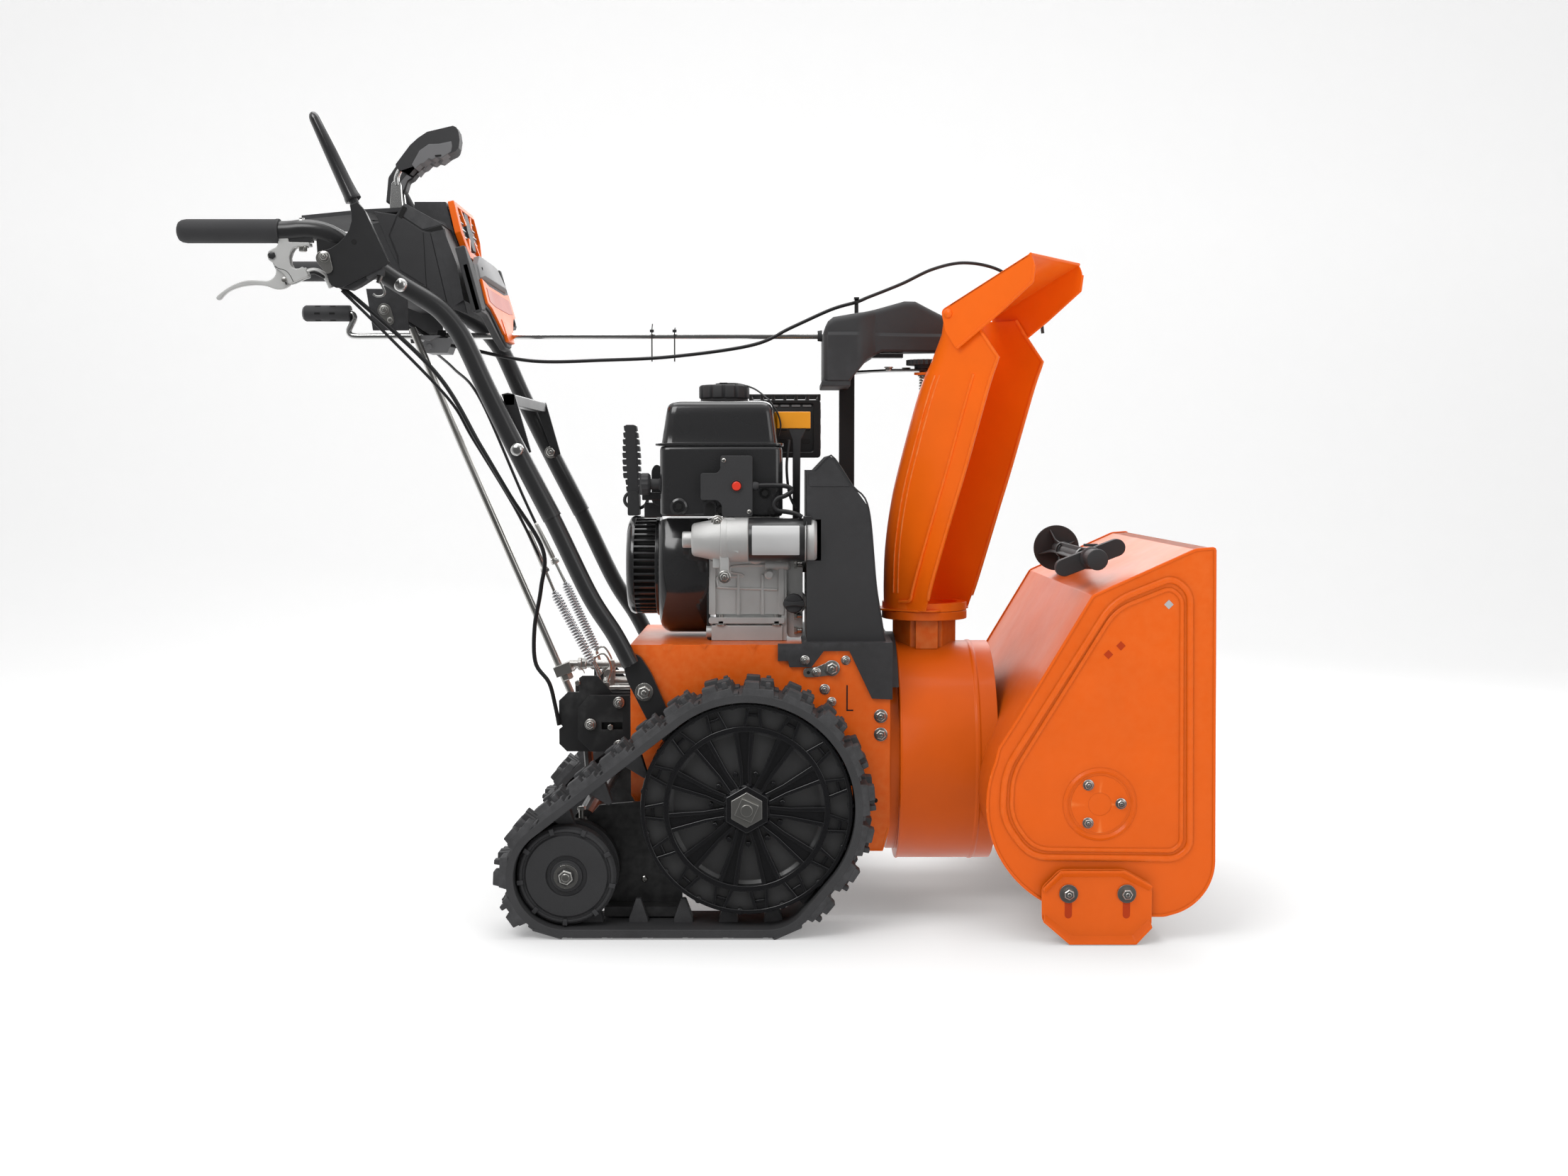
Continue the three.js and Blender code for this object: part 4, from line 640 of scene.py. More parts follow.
def idler(side):
    """Pressed idler wheel with a rim of small pads."""
    x, z = IDLER
    wheel_piece = Piece("idler_wheel_" + side, "idler_wheel_" + side, "matte", bevel=0.8,
                        stands_for=("idler_" + side,))
    wheel_piece.add(lathe([(9.4, -284), (17, -284), (18.5, -283), (22, -283), (23, -278.5), (28, -278.5),
                           (29, -283), (57, -284), (59, -280), (61.5, -280), (63, -283.5), (66, -283),
                           (70, -278), (70, -258), (37, -258), (37, -234), (70, -234), (70, -216), (64, -209),
                           (9.4, -209)], (x, 0, z), "y", 72, closed=True))
    for k in range(9):
        wheel_piece.add(spin(prism([(x + 61, z - 3), (x + 70, z - 3.4), (x + 70, z + 3.4), (x + 61, z + 3)],
                                   -285, -272), (x, 0, z), "y", 40 * k + 12))
    wheel_piece.sided(side)


def undercarriage():
    """The tilting frame of the tracks and its bolts."""
    rework("track_frame", "black", 1.5)
    bolts = Piece("undercarriage_bolts", "undercarriage", "zinc", bevel=0.5)
    x, z = IDLER
    bolts.both(lathe([(17, -285.4), (17, -287.4), (9, -287.4)], (x, 0, z), "y", 32),
               hexagon((x, -287, z), "-y", 19, 7, 12), dome((x, -294, z), "-y", 6, 1.5))
    bolts.both(dome((-150, -201, 64), "-y", 5, 2), hexagon((-238, -201.5, 150), "-y", 13, 5.5, 20))
    bolts.both(rod((-240, -204, 152), "z", 4, 14, 12), hexagon((-240, -204, 166), "z", 11, 5, 10))
    bolts.done()


for side in ("right", "left"):
    track(side)
    wheel(side)
    idler(side)
undercarriage()

# ---------------------------------------------------------------- auger housing, augers and impeller

AUGER = (488.7, 194)              # auger axis, x and z
SKID_BOLTS_X = (445.3, 525.6)
DRUM_Z = 223


def housing_curve(offset):
    return [(642, 548 - offset), (616, 546 - offset), (476.3 + 0.6 * offset, 482.6 - offset),
            (376.3 + 0.86 * offset, 314.2 - 0.51 * offset)] + arc(*AUGER, 152 - offset, 150, 268,
                                                                  48) + [(560, 38 + offset)]


def housing_side():
    edge = [(642, 548), (616, 546), (476.3, 482.6), (376.3, 314.2), (349.3, 271.3)] + arc(*AUGER, 155, 158, 250, 40)
    return edge + [(560, 38), (580, 38)] + arc(572, 114, 75.5, -70, 0, 14)


def diamond(x, z, r=6):
    return [(x - r, z), (x, z - r), (x + r, z), (x, z + r)]


def housing():
    """Auger housing: shell, beaded side plates, impeller drum, chute neck, scraper and bolts."""
    shell = Piece("housing_shell", "chassis", "orange", bevel=0.9, stands_for=("auger_housing",))
    outline = housing_curve(0) + list(reversed(housing_curve(3)))
    shell.add(prism(outline, -305, 305))
    shell.add(prism([(642, 548), (642, 534), (639, 534), (639, 545), (616, 543), (616, 546)], -305, 305))
    shell.done()
    sides = Piece("housing_sides", "chassis", "orange", bevel=1.3, segments=3)
    edge = housing_side()
    sides.both(prism(edge, -307, -304))
    rim = [(x, -306.6, z) for x, z in rounded(edge, 3, 2)]
    sides.both(tube(rim, 2.4, 10, closed=True))
    panel = rounded([(503, 475), (585, 508), (609, 488), (614, 134), (595, 118), (393, 120), (354, 173),
                     (357, 240)], 26, 8)
    inner = rounded([(507, 464), (582, 494), (598, 480), (602, 140), (590, 129), (398, 131), (366, 176),
                     (368, 236)], 24, 8)
    for path, r in ((panel, 5.0), (inner, 3.4)):
        sides.both(tube([(x, -306.6, z) for x, z in path], r, 12, closed=True))
    sides.both(lathe([(51, 0), (51, 1.0), (47, 4.2), (43, 0.8), (43, 0)], (AUGER[0], -306.8, AUGER[1]), "-y",
                     64, closed=True))
    sides.both(lathe([(40, 0), (40, 0.9), (16, 0.9), (16, 0)], (AUGER[0], -306.8, AUGER[1]), "-y", 48,
                     closed=True))
    sides.done()
    # the windows are flat diamonds; the darker orange ones are painted shade of the openings
    holes = Piece("housing_windows", "chassis", "plate")
    for x, z in ((580, 471), (498, 402), (515, 414)):
        holes.both(prism(diamond(x, z, 6.5), -307.35, -306.9), mat="plate" if x > 550 else "amberdark")
    holes.done()
    drum = Piece("impeller_drum", "chassis", "orange", bevel=1.0)
    drum.add(lathe([(12.4, 207.4), (154, 207.4), (154, 222), (168, 222), (169.5, 224), (168, 227), (168, 333),
                    (169.3, 335), (169.3, 339), (168, 341), (168, 366), (165, 366), (165, 226), (12.4, 226)],
                   (0, 0, DRUM_Z), "x", 128, closed=True))
    drum.done()
    neck = Piece("chute_neck", "chassis", "orange", bevel=1.2)
    neck.add(lathe([(49, 382), (49, 429), (45, 429), (45, 382)], (269, 0, 0), "z", 6, closed=True))
    neck.add(lathe([(49, 427), (65.5, 427), (65.5, 440), (45, 440), (45, 427)], (269, 0, 0), "z", 64,
                   closed=True))
    neck.add(box(252, 286, -52, -46, 383, 429))
    neck.done()
    scraper = Piece("scraper_bar", "chassis", "orange", bevel=0.8)
    scraper.add(box(556, 590, -304, 304, 38, 43))
    scraper.done()
    hardware = Piece("housing_bolts", "chassis", "zinc", bevel=0.35)
    for x, z in ((472.5, 221), (517.8, 195), (472.4, 168)):
        hardware.both(*bolt((x, -307.7, z), "-y", 10))
    for x in SKID_BOLTS_X:
        hardware.both(lathe([(13, 0), (13, 2), (8, 2)], (x, -316.6, 71), "-y", 28),
                      *bolt((x, -318.6, 71), "-y", 13, False))
        hardware.both(rod((x, -319, 71), "y", 4.8, 14, 16))
    hardware.done()


def skid(side):
    """Skid shoe with its folded ends and two slots."""
    shoe = Piece("skid_shoe_" + side, "skid_shoe_" + side, "orange", bevel=1.2, segments=3,
                 stands_for=("skid_" + side,))
    outline = rounded([(408, 79.6), (433, 105), (522, 105), (561, 83.5), (561, 24.7), (539, 0.5), (446, 0.5),
                       (409, 32.5)], 6, 3)
    face = [(x, -316, z) for x, z in outline]
    shoe.add(loft([face, [(x, -312, z) for x, z in outline]]))
    low = ([(409, 32.5), (446, 0.5), (539, 0.5), (561, 24.7)],
           [(411, 35.5), (447.5, 4), (537.5, 4), (558.5, 27.5)],
           [(411, 41), (450, 10.5), (535, 10.5), (559, 34)], [(413, 44), (451.5, 14), (533.5, 14), (557, 37)])
    high = ([(408, 79.6), (433, 105), (522, 105), (561, 83.5)],
            [(410, 77), (434, 102), (521, 102), (559, 81)], [(411, 72), (437, 95), (518, 95), (558.5, 76)],
            [(413, 69), (438, 92), (517, 92), (556.5, 73)])
    for a, b, c, d in (low, high):
        ring = [(x, -324, z) for x, z in a] + [(x, -324, z) for x, z in reversed(b)]
        foot = [(x, -314, z) for x, z in c] + [(x, -314, z) for x, z in reversed(d)]
        shoe.add(loft([ring, foot]))
    shoe.sided(side)
    # the slots are flat darker-orange sheets: painted shade
    slots = Piece("skid_slots_" + side, "skid_shoe_" + side, "amberdark")
    for x in SKID_BOLTS_X:
        slots.add(prism(arc(x, 70, 5, 0, 180, 8) + arc(x, 41, 5, 180, 360, 8), -316.35, -315.9))
    slots.sided(side)


def auger():
    """Auger shaft, its two ribbon screws and the gearcase bolts."""
    shaft = Piece("auger_axle", "auger", "steel", bevel=0.5, stands_for=("auger_shaft",))
    shaft.add(rod((AUGER[0], -306, AUGER[1]), "y", 12.4, 612, 40))
    shaft.done()
    for side, s in (("right", -1), ("left", 1)):
        screw = Piece("auger_screw_" + side, "auger", "orange", bevel=0.6, angle=40,
                      stands_for=("auger_flight_" + side,))
        n, turns, length = 96, 1.5, 228
        for r0, r1, w0, w1 in ((100, 142, 2.2, 2.2), (18, 104, 1.2, 1.2)):
            rings = []
            for i in range(n + 1):
                a = 2 * math.pi * turns * i / n
                y = s * (50 + length * i / n)
                rings.append([(AUGER[0] + r * math.cos(a), y + w, AUGER[1] + r * math.sin(a)) for r,
                              w in ((r0, -w0), (r1, -w1), (r1, w1), (r0, w0))])
            screw.add(loft(rings))
        screw.add(lathe([(12.8, 40), (18.5, 40), (18.5, 284), (12.8, 284)], (AUGER[0], 0, AUGER[1]),
                        (0, s, 0), 40, closed=True))
        for y in (62, 268):
            screw.add(rod((AUGER[0], s * y, AUGER[1] - 26), "z", 3.4, 52, 12),
                      hexagon((AUGER[0], s * y, AUGER[1] + 22), "z", 10, 5))
        screw.done()
    rework("auger_gearcase", "alu", 1.2)
    case = Piece("gearcase_bolts", "chassis", "zinc", bevel=0.3)
    for k in range(6):
        a = math.radians(60 * k + 20)
        case.both(*bolt((AUGER[0] + 42 * math.cos(a), -28, AUGER[1] + 42 * math.sin(a)), "-y", 8))
    case.done()


for side in ("right", "left"):
    skid(side)
housing()
auger()
rework("impeller", "orange", 1.2)

# ---------------------------------------------------------------- chute and deflector

CHUTE = (269, 0)
YAW = math.radians(-35)
CHUTE_STATIONS = [
    (442, -54, 41, 64, 66), (480, -53, 53, 67, 71), (534, -49, 71, 70, 72), (594, -40, 91, 71, 72),
    (654, -25.5, 111, 71.5, 72), (772, 11.5, 147, 72, 72), (818, 33.5, 163, 72, 72), (856, 52, 135, 72, 72),
    (882, 62, 118, 72, 72),
]


def in_chute(shape):
    """Place a shape drawn round the chute's axis, with +X towards its open side."""
    turn = Matrix.Translation((CHUTE[0], 0, 0)) @ Matrix.Rotation(YAW, 4, "Z")
    return [turn @ Vector(v) for v in shape[0]], shape[1]


def chute_row(z, back, front, half, front_half, inset):
    b, w, corner = back + inset, half - inset, min((front - back) * 0.5, 46) - inset
    mid = back + (front - back) * 0.62
    pts = [(front, -(front_half - inset))]
    pts += [(front + (mid - front) * t, -((front_half - inset) * (1 - t) + w * t)) for t in (0.33, 0.66, 1)]
    pts += arc(b + corner, -(w - corner), corner, 270, 180, 9)
    pts += arc(b + corner, w - corner, corner, 180, 90, 9)
    pts += [(mid + (front - mid) * t, (front_half - inset) * t + w * (1 - t)) for t in (0, 0.34, 0.67, 1)]
    return [(f, y, z) for f, y in pts]


def chute():
    """Open discharge chute with rolled lips and pressed beads, and its pivot at the top."""
    curve = [smooth([(s[0], s[k], 0) for s in CHUTE_STATIONS[:7]], 44) for k in range(1, 5)]
    rows = [(c[0].x, c[0].y, c[1].y, c[2].y, c[3].y) for c in zip(*curve)] + CHUTE_STATIONS[7:]
    outer = [chute_row(*r, 0) for r in rows]
    inner = [chute_row(*r, 3) for r in rows]
    n = len(outer[0])
    wall = [a + list(reversed(b)) for a, b in zip(outer, inner)]
    body = Piece("chute_channel", "discharge_chute", "chuteorange", bevel=0.7, angle=40,
                 stands_for=("chute",))
    body.add(in_chute(loft(wall)))
    for edge in (0, n - 1):
        lip = [outer[i][edge] for i in range(2, len(outer))]
        body.add(in_chute(tube([(p[0] - 0.5, p[1] * 0.985, p[2]) for p in lip], 3.0, 10)))
    for s in (-1, 1):
        bead = [(r[2] - 30, s * (r[4] - 0.4), r[0]) for r in rows[3:42]]
        body.add(in_chute(tube(bead, 2.6, 10)))
        x0, y0, z0 = bead[0]
        foot = [(x0, y0, z0), (x0 - 2, y0 - s * 0.4, z0 - 8), (x0 - 8, y0 - s, z0 - 12),
                (x0 - 24, y0 - s * 2.2, z0 - 13)]
        body.add(in_chute(tube(smooth(foot, 16), 2.6, 10)))
        for inset in (38, 46):
            edge = [(r[1] + inset, s * (r[3] - 0.3), r[0]) for r in rows[3:42]]
            body.add(in_chute(tube(edge, 1.5, 8)))
    body.add(in_chute(lathe([(65, 440.4), (65, 453), (50, 453), (50, 440.4)], (0, 0, 0), "z", 64,
                            closed=True)))
    body.add(in_chute(prism(rounded([(-66, -42), (-42, -66), (30, -66), (52, -50), (52, 50), (30, 66),
                                     (-42, 66), (-66, 42)], 8, 3), 440.6, 443.6, "xy")))
    body.add(in_chute(box(-12, 46, -14, 14, 800, 804)))
    body.done()
    gear = Piece("chute_gear", "discharge_chute", "matte", bevel=0.5)
    teeth = ridged(27, 30, 24)
    gear.add(in_chute(prism(teeth, 815, 823, "xy")), in_chute(lathe([(17, 809.5), (17, 815)], (0, 0, 0), "z",
                                                                    32)))
    gear.done()
    pin = Piece("chute_pivot_bolt", "discharge_chute", "zinc", bevel=0.4)
    pin.add(in_chute(rod((0, 0, 776), "z", 4, 48, 16)), in_chute(hexagon((0, 0, 783), "-z", 13, 7)),
            in_chute(lathe([(12, 798), (12, 800)], (0, 0, 0), "z", 28)),
            in_chute(helix((0, 0, 778), (0, 0, 799), 9, 5, 1.5)),
            in_chute(helix((0, 0, 805), (0, 0, 814.5), 9, 2.5, 1.5)))
    pin.done()
    bolts = Piece("chute_bolts", "discharge_chute", "zinc", bevel=0.3)
    bolts.add(in_chute(lathe([(5, 0), (5, 1.6), (2, 2.4)], (80, -72.6, 872), "-y", 16)),
              in_chute(lathe([(5, 0), (5, 1.6), (2, 2.4)], (80, 72.6, 872), "y", 16)))
    bolts.done()


def deflector():
    """Hood that tilts on two pins at the top of the chute."""
    hood = Piece("deflector_hood", "chute_deflector", "chuteorange", bevel=1.0, segments=3,
                 stands_for=("deflector",))
    side = rounded([(72, 889.5), (217.5, 962.5), (225, 946), (221, 921), (168, 880), (98, 831), (79, 858)], 7,
                   4)
    hood.add(*[in_chute(prism(side, y, y + 3)) for y in (-79, 76)])
    top = [(76, 891.5), (217, 962.5), (219, 959.6), (78, 888.6)]
    hood.add(in_chute(prism(top, -79, 79)))
    hood.add(in_chute(tube([(217.5, -79, 961), (217.5, 79, 961)], 2.6, 10)))
    for y in (-78.5, 78.5):
        hood.add(in_chute(tube([(224, y, 945), (221, y, 922), (168, y, 881), (99, y, 832.5)], 2.2, 8)))
    hood.done()
    pins = Piece("deflector_pins", "chute_deflector", "chuteorange", bevel=0.3)
    for s in (-1, 1):
        pins.add(in_chute(lathe([(7, 0), (7, 1.6), (5, 3.4), (0.6, 4.4)], (84, s * 79, 884), (0, s, 0), 24)))
    pins.done()


chute()
deflector()

# ---------------------------------------------------------------- tractor frame, rear bracket, belt cover


def tractor():
    """Box frame with its folds, bolts and slots."""
    rework("tractor_frame", "orange", 1.2)
    extra = Piece("frame_folds", "chassis", "orange", bevel=0.8)
    for x in (-118, 6, 130):
        extra.both(loft([[(x - 9, -165.6, 401.2), (x + 9, -165.6, 401.2), (x, -165.2, 386)],
                         [(x - 9, -160, 401.9), (x + 9, -160, 401.9), (x, -160, 401.6)]]))
    for x, z in ((-64, 401.4), (8, 401.4)):
        extra.both(loft([[(x - 5, -166.6, z + 0.3), (x + 5, -166.6, z + 0.3), (x, -166.2, z - 6.5)],
                         [(x - 5, -162, z + 0.6), (x + 5, -162, z + 0.6), (x, -162, z - 5)]]))
    extra.both(tube([(-169, -164, 181), (-118, -164, 99), (196, -164, 99), (205, -164, 132)], 1.8, 8))
    extra.done()
    hardware = Piece("frame_bolts", "chassis", "zinc", bevel=0.35)
    for x, z, size in ((142, 378.5, 9), (111.4, 336, 10), (121.5, 317.8, 9), (193.3, 296.6, 13),
                       (193.4, 269.8, 13), (82.4, 379.4, 9)):
        y = -171.3 if z > 370 and x < 120 else -165.3
        hardware.both(*bolt((x, y, z), "-y", size))
    hardware.both(*bolt((121.8, -168.6, 367.3), "-y", 15), *bolt((98.9, -168.6, 361.5), "-y", 9))
    link = rounded([(80, 367), (80, 354), (98, 354), (122, 357), (133, 364), (130, 377), (118, 377),
                    (100, 369)], 6, 4)
    hardware.both(prism(link, -168.2, -165.6))
    hardware.done()
    # the slots and holes in the frame are near-black sheets: painted shade
    marks = Piece("frame_slots", "chassis", "dark")
    marks.both(prism([(143, 342), (145, 342), (145, 306), (153, 306), (153, 304), (143, 304)], -165.4,
                     -164.9))
    marks.both(lathe([(2.6, 0), (2.6, 0.5)], (87.5, -168.0, 360.8), "-y", 16),
               lathe([(3.4, 0), (3.4, 0.5)], (186, -165, 172), "-y", 16))
    marks.done()


def rear_end():
    """Bracket behind the frame, with its bolts and springs."""
    rework("rear_bracket", "black", 0.9)
    hardware = Piece("bracket_bolts", "chassis", "zinc", bevel=0.3)
    for x, z in ((-192.7, 311), (-235.2, 278.4), (-192.9, 246.5)):
        hardware.both(*bolt((x, -124.2, z), "-y", 11))
    hardware.both(hexagon((-205.7, -121.2, 274), "-y", 8, 4), hexagon((-256, -104.3, 338), "-y", 8, 4))
    hardware.add(rod((-230, -50, 345), "y", 4, 30, 12), rod((-212, -92, 352), "y", 5, 74, 14))
    hardware.add(tube(smooth([(-222, -94, 350), (-232, -92, 372), (-218, -90, 380), (-208, -90, 360),
                              (-214, -92, 334)], 24), 1.7, 8))
    hardware.add(tube(smooth([(-226, -26, 352), (-236, -28, 376), (-224, -30, 384), (-212, -30, 362),
                              (-218, -28, 340)], 24), 1.7, 8))
    hardware.done()


def belt_guard():
    """Ribs and rim on the belt cover."""
    rework("belt_cover", "matte", 2.2)
    seam = Piece("belt_cover_ribs", "chassis", "matte", bevel=0.8)
    seam.add(tube(smooth([(97, -149.8, 655), (117, -149.8, 675), (127, -149.8, 670), (152, -149.8, 632),
                          (175, -149.8, 600), (187, -149.8, 484), (199, -149.8, 408)], 40), 1.4, 8))
    seam.add(prism(rounded([(88, 652), (98, 652), (117, 671), (125, 667), (149, 631), (88, 631)], 4, 3),
                   -151.2, -149))
    seam.add(lathe([(36, 0), (36, 1.5), (33, 1.5), (33, 0)], (85.5, -137, 553), "-x", 48, closed=True))
    seam.done()


tractor()
rear_end()
belt_guard()

# ---------------------------------------------------------------- engine

CAP_AXIS = (-39, -20, 0)
CRANKSHAFT = (0, 0, 509)
RECOIL_REAR = (-188, 0, 509)
OIL_PLUG = (66.4, -85, 458)
START_X, START_Z = -17.4, 631.6
CHOKE_Y, CHOKE_Z = -100, 634
STARTER_NOSE = (-97, -137, 553)


def rounded_box(x0, x1, y0, y1, levels, r=14, n=6):
    """Stacked rounded rectangles; levels are (height, inset) pairs."""
    return loft([[(x, y, z) for x, y in rounded([(x0 + t, y0 + t), (x1 - t, y0 + t), (x1 - t, y1 - t),
                                                 (x0 + t, y1 - t)], max(r - t * 0.2, 2), n)] for z,
                 t in levels])


def tank():
    """Fuel tank with its lobed cap and tether."""
    body = Piece("tank_shell", "chassis", "gloss", bevel=0.0, angle=50, stands_for=("fuel_tank",))
    body.add(rounded_box(-138, 52, -124, 49, [(690.4, 1), (691, 0), (694, 0), (694.6, 1)], 18))
    levels = [(694.6, 8.5), (696.5, 9.2), (712, 11.4), (735, 14.8), (746, 16.6), (750.5, 18.4), (754, 21.6),
              (756.2, 26), (757.2, 32), (757.4, 48)]
    body.add(rounded_box(-138, 52, -124, 49, levels, 19, 8))
    body.add(lathe([(30, 750), (30, 762)], CAP_AXIS, "z", 32))
    body.done()
    cap = Piece("tank_cap_shell", "tank_cap", "matte", bevel=1.0, segments=3, stands_for=("fuel_cap",))
    turns = [2 * math.pi * k / 144 for k in range(144)]
    radii = [38.4 - 3.2 * max(0, math.cos(a * 12)) ** 6 for a in turns]
    lobes = [(r * math.cos(a), r * math.sin(a)) for r, a in zip(radii, turns)]
    cap.add(loft([[(-39 + u * s, -20 + v * s, z) for u, v in lobes] for s,
                  z in ((0.97, 763), (1, 764.5), (1, 780), (0.97, 782.5), (0.9, 783.6), (0.55, 784))]))
    cap.add(lathe([(30.6, 759), (30.6, 763), (36, 763), (36, 759)], CAP_AXIS, "z", 48, closed=True))
    cap.done()
    tether = Piece("tank_cap_tether", "tank_cap", "cable")
    tether.add(tube(smooth([(-52, -22, 785), (-39, -22, 786), (-16, -26, 785), (8, -38, 777), (30, -50, 760)],
                           40), 1.3, 8), box(-46, -34, -25, -19, 783.5, 787.5))
    tether.done()
    stay = Piece("tether_lower", "chassis", "cable")
    stay.add(tube(smooth([(30.4, -50.2, 759), (42, -58, 741), (47, -62, 722), (44, -64, 706)], 24), 1.3, 8))
    stay.done()


def cover_and_switch():
    """Engine side cover, switch box, start button and their lead."""
    body = Piece("engine_cover_shell", "chassis", "gloss", bevel=1.6, segments=3, angle=40,
                 stands_for=("engine_cover",))
    body.add(rounded_box(-131, 50, -125, 46, [(587, 3), (588.5, 1), (592, 0), (684, 0), (688, 1), (690, 3)],
                         15))
    body.add(lathe([(13, 0), (13, 3), (9, 5), (9, 0)], (-102.6, -124, 601), "-y", 32, closed=True))
    body.add(prism(rounded([(-67, 588), (-67, 606), (-61, 612), (-53, 612), (-47, 606), (-47, 588)], 5, 4),
                   -127.5, -124))
    body.done()
    # the recess in the cover's boss is a near-black sheet, painted shade; the bolt heads and washers share the
    # near-black
    dark = Piece("engine_cover_recess", "chassis", "dark", bevel=0.3)
    dark.add(prism(rounded([(-63.5, 588), (-63.5, 604), (-57, 608), (-50.5, 604), (-50.5, 588)], 4, 4), -128,
                   -126))
    dark.add(hexagon((-102.6, -124.2, 601), "-y", 10, 4))
    for x, z in ((-39, 596), (36, 594), (24, 621)):
        dark.add(lathe([(8, 0), (8, 1.6), (5.6, 2.2)], (x, -125, z), "-y", 24),
                 hexagon((x, -127, z), "-y", 10, 4.5, 12))
    dark.done()
    box_outline = rounded([(-70, 611), (-45, 611), (-39, 604), (-39, 587), (6, 587), (6, 676), (-41, 676),
                           (-41, 656), (-46, 650.5), (-70, 650.5)], 4, 4)
    switch = Piece("switch_box_shell", "chassis", "matte", bevel=1.4, segments=3, stands_for=("switch_box",))
    switch.add(prism(box_outline, -139, -125.5))
    switch.add(lathe([(9.5, 0), (9.5, 1.2), (7.2, 1.2), (7.2, 0)], (START_X, -139, START_Z), "-y", 32,
                     closed=True))
    switch.add(lathe([(6, 0), (6, 5), (4.5, 9)], (6, -133, 632), "x", 20))
    switch.done()
    lead = Piece("switch_lead", "chassis", "cable")
    lead.add(tube(smooth([(8, -133, 632), (36, -134, 632.5), (56, -136, 631), (64, -137, 625),
                          (54, -139, 617.5), (42, -140, 613), (37, -141, 604), (42, -142, 596),
                          (56, -143, 594), (70, -145, 591), (78, -147, 586.5)], 70), 3.4, 12))
    lead.done()
    screws = Piece("switch_screws", "chassis", "zinc", bevel=0.2)
    for x, z in ((-36, 669), (1, 594)):
        screws.add(dome((x, -139, z), "-y", 3.6, 2))
        # the screw slots are near-black: painted shade
        screws.add(box(x - 2.4, x + 2.4, -141.3, -140.6, z - 0.4, z + 0.4), mat="dark")
    screws.done()
    button = Piece("start_button_cap", "starter_button", "red", bevel=0.6, segments=3,
                   stands_for=("start_button",))
    button.add(lathe([(6.7, 0), (6.7, 10), (5.6, 11.2), (0.5, 11.5)], (START_X, -133.3, START_Z), "-y", 32))
    button.done()


def shroud_and_recoil():
    """Blower shroud, slotted recoil cover, recoil handle and choke knob."""
    shroud = Piece("blower_shroud_shell", "chassis", "gloss", bevel=0, angle=45,
                   stands_for=("blower_shroud",))
    outline = arc(0, 509, 104, 150, 390, 60) + [(84, 583), (-84, 583)]
    def row(x, t):
        return [(x, y * (1 - t / 104), 509 + (z - 509) * (1 - t / 104)) for y, z in outline]
    shroud.add(loft([row(-137, 14), row(-135, 8), row(-130, 3), (row(-122, 0)), row(-63, 0), row(-61, 2)]))
    shroud.done()
    recoil = Piece("recoil_housing", "chassis", "gloss", bevel=0.7, angle=40, stands_for=("recoil_cover",))
    recoil.add(lathe([(0.5, 0), (40, 0), (66, 1.5), (73, 5), (75.5, 10), (75.5, 14), (71, 14), (70, 8),
                      (40, 5), (0.5, 5)], RECOIL_REAR, "x", 96, closed=True))
    recoil.add(lathe([(75.5, 45), (78, 46), (78, 51), (66, 51), (66, 45)], RECOIL_REAR, "x", 96, closed=True))
    for k in range(44):
        a = 360 * k / 44
        recoil.add(spin(box(-176, -141, -1.8, 1.8, 579, 584.3), CRANKSHAFT, "x", a))
    recoil.add(lathe([(18, -2), (18, 0), (12, 0), (12, -2)], RECOIL_REAR, "x", 40, closed=True))
    recoil.done()
    # a near-black drum inside the recoil cover stands for the shade seen through its slots (painted shade)
    inside = Piece("recoil_inside_shade", "chassis", "dark")
    inside.add(lathe([(63, 8), (63, 48)], RECOIL_REAR, "x", 64))
    inside.done()
    handle = Piece("recoil_grip_shell", "recoil_grip", "matte", bevel=1.6, segments=3,
                   stands_for=("recoil_handle",))
    core = rounded([(-191.5, 724), (-176, 724), (-174.5, 690), (-172.5, 640), (-171, 622), (-170, 585),
                    (-185, 585), (-187.5, 622), (-189, 650), (-191, 690)], 3, 3)
    handle.add(prism(core, -12, 12))
    handle.add(prism(rounded([(-188, 585), (-170, 585), (-170, 615), (-174, 622), (-183, 622), (-188, 615)],
                             3, 4), -14.5, 14.5))
    for k in range(10):
        z = 621.5 + 10.3 * k
        lean = ((k - 4.5) / 4.5) ** 2
        rear, front = -196.2 + 2.4 * lean + (k < 2) * 3, -168.2 - 2.6 * max(0, (k - 4) / 5) ** 2 * 2
        handle.add(prism(rounded([(-184, z), (rear + 1.2, z), (rear, z + 8.4), (-184, z + 9)], 1.8, 3), -11.4,
                         11.4))
        handle.add(prism(rounded([(-179, z + 0.4), (front, z), (front - 1, z + 8.4), (-179, z + 9)], 1.8, 3),
                         -11.4, 11.4))
    eye = [(-176.3 + 17.6 * math.cos(math.radians(a)), 0,
            608.9 + 13.4 * math.sin(math.radians(a))) for a in range(0, 360, 12)]
    handle.add(tube(eye, 2.7, 10, closed=True))
    handle.done()
    knob = Piece("choke_knob_shell", "choke", "matte", bevel=0.8, stands_for=("choke_knob",))
    ridges = ridged(17, 15.6, 14)
    knob.add(loft([[(x, CHOKE_Y + u * s, CHOKE_Z + v * s) for u, v in ridges] for x,
                   s in ((-160, 0.9), (-158.5, 1), (-149, 1), (-146, 0.8))]))
    knob.add(lathe([(8, 0), (8, 14), (11, 16), (11, 26)], (-147, CHOKE_Y, CHOKE_Z), "x", 32),
             box(-162.5, -158, -103, -97, 618, 650))
    knob.done()
    stem = Piece("choke_body", "chassis", "gloss", bevel=1.2)
    stem.add(prism(rounded([(-146, 606), (-131, 600), (-131, 660), (-140, 664), (-146, 655)], 6, 4), -84,
                   -60))
    stem.add(box(-160, -131, -86, -40, 610, 622), box(-158, -131, -70, -30, 584, 606))
    stem.done()


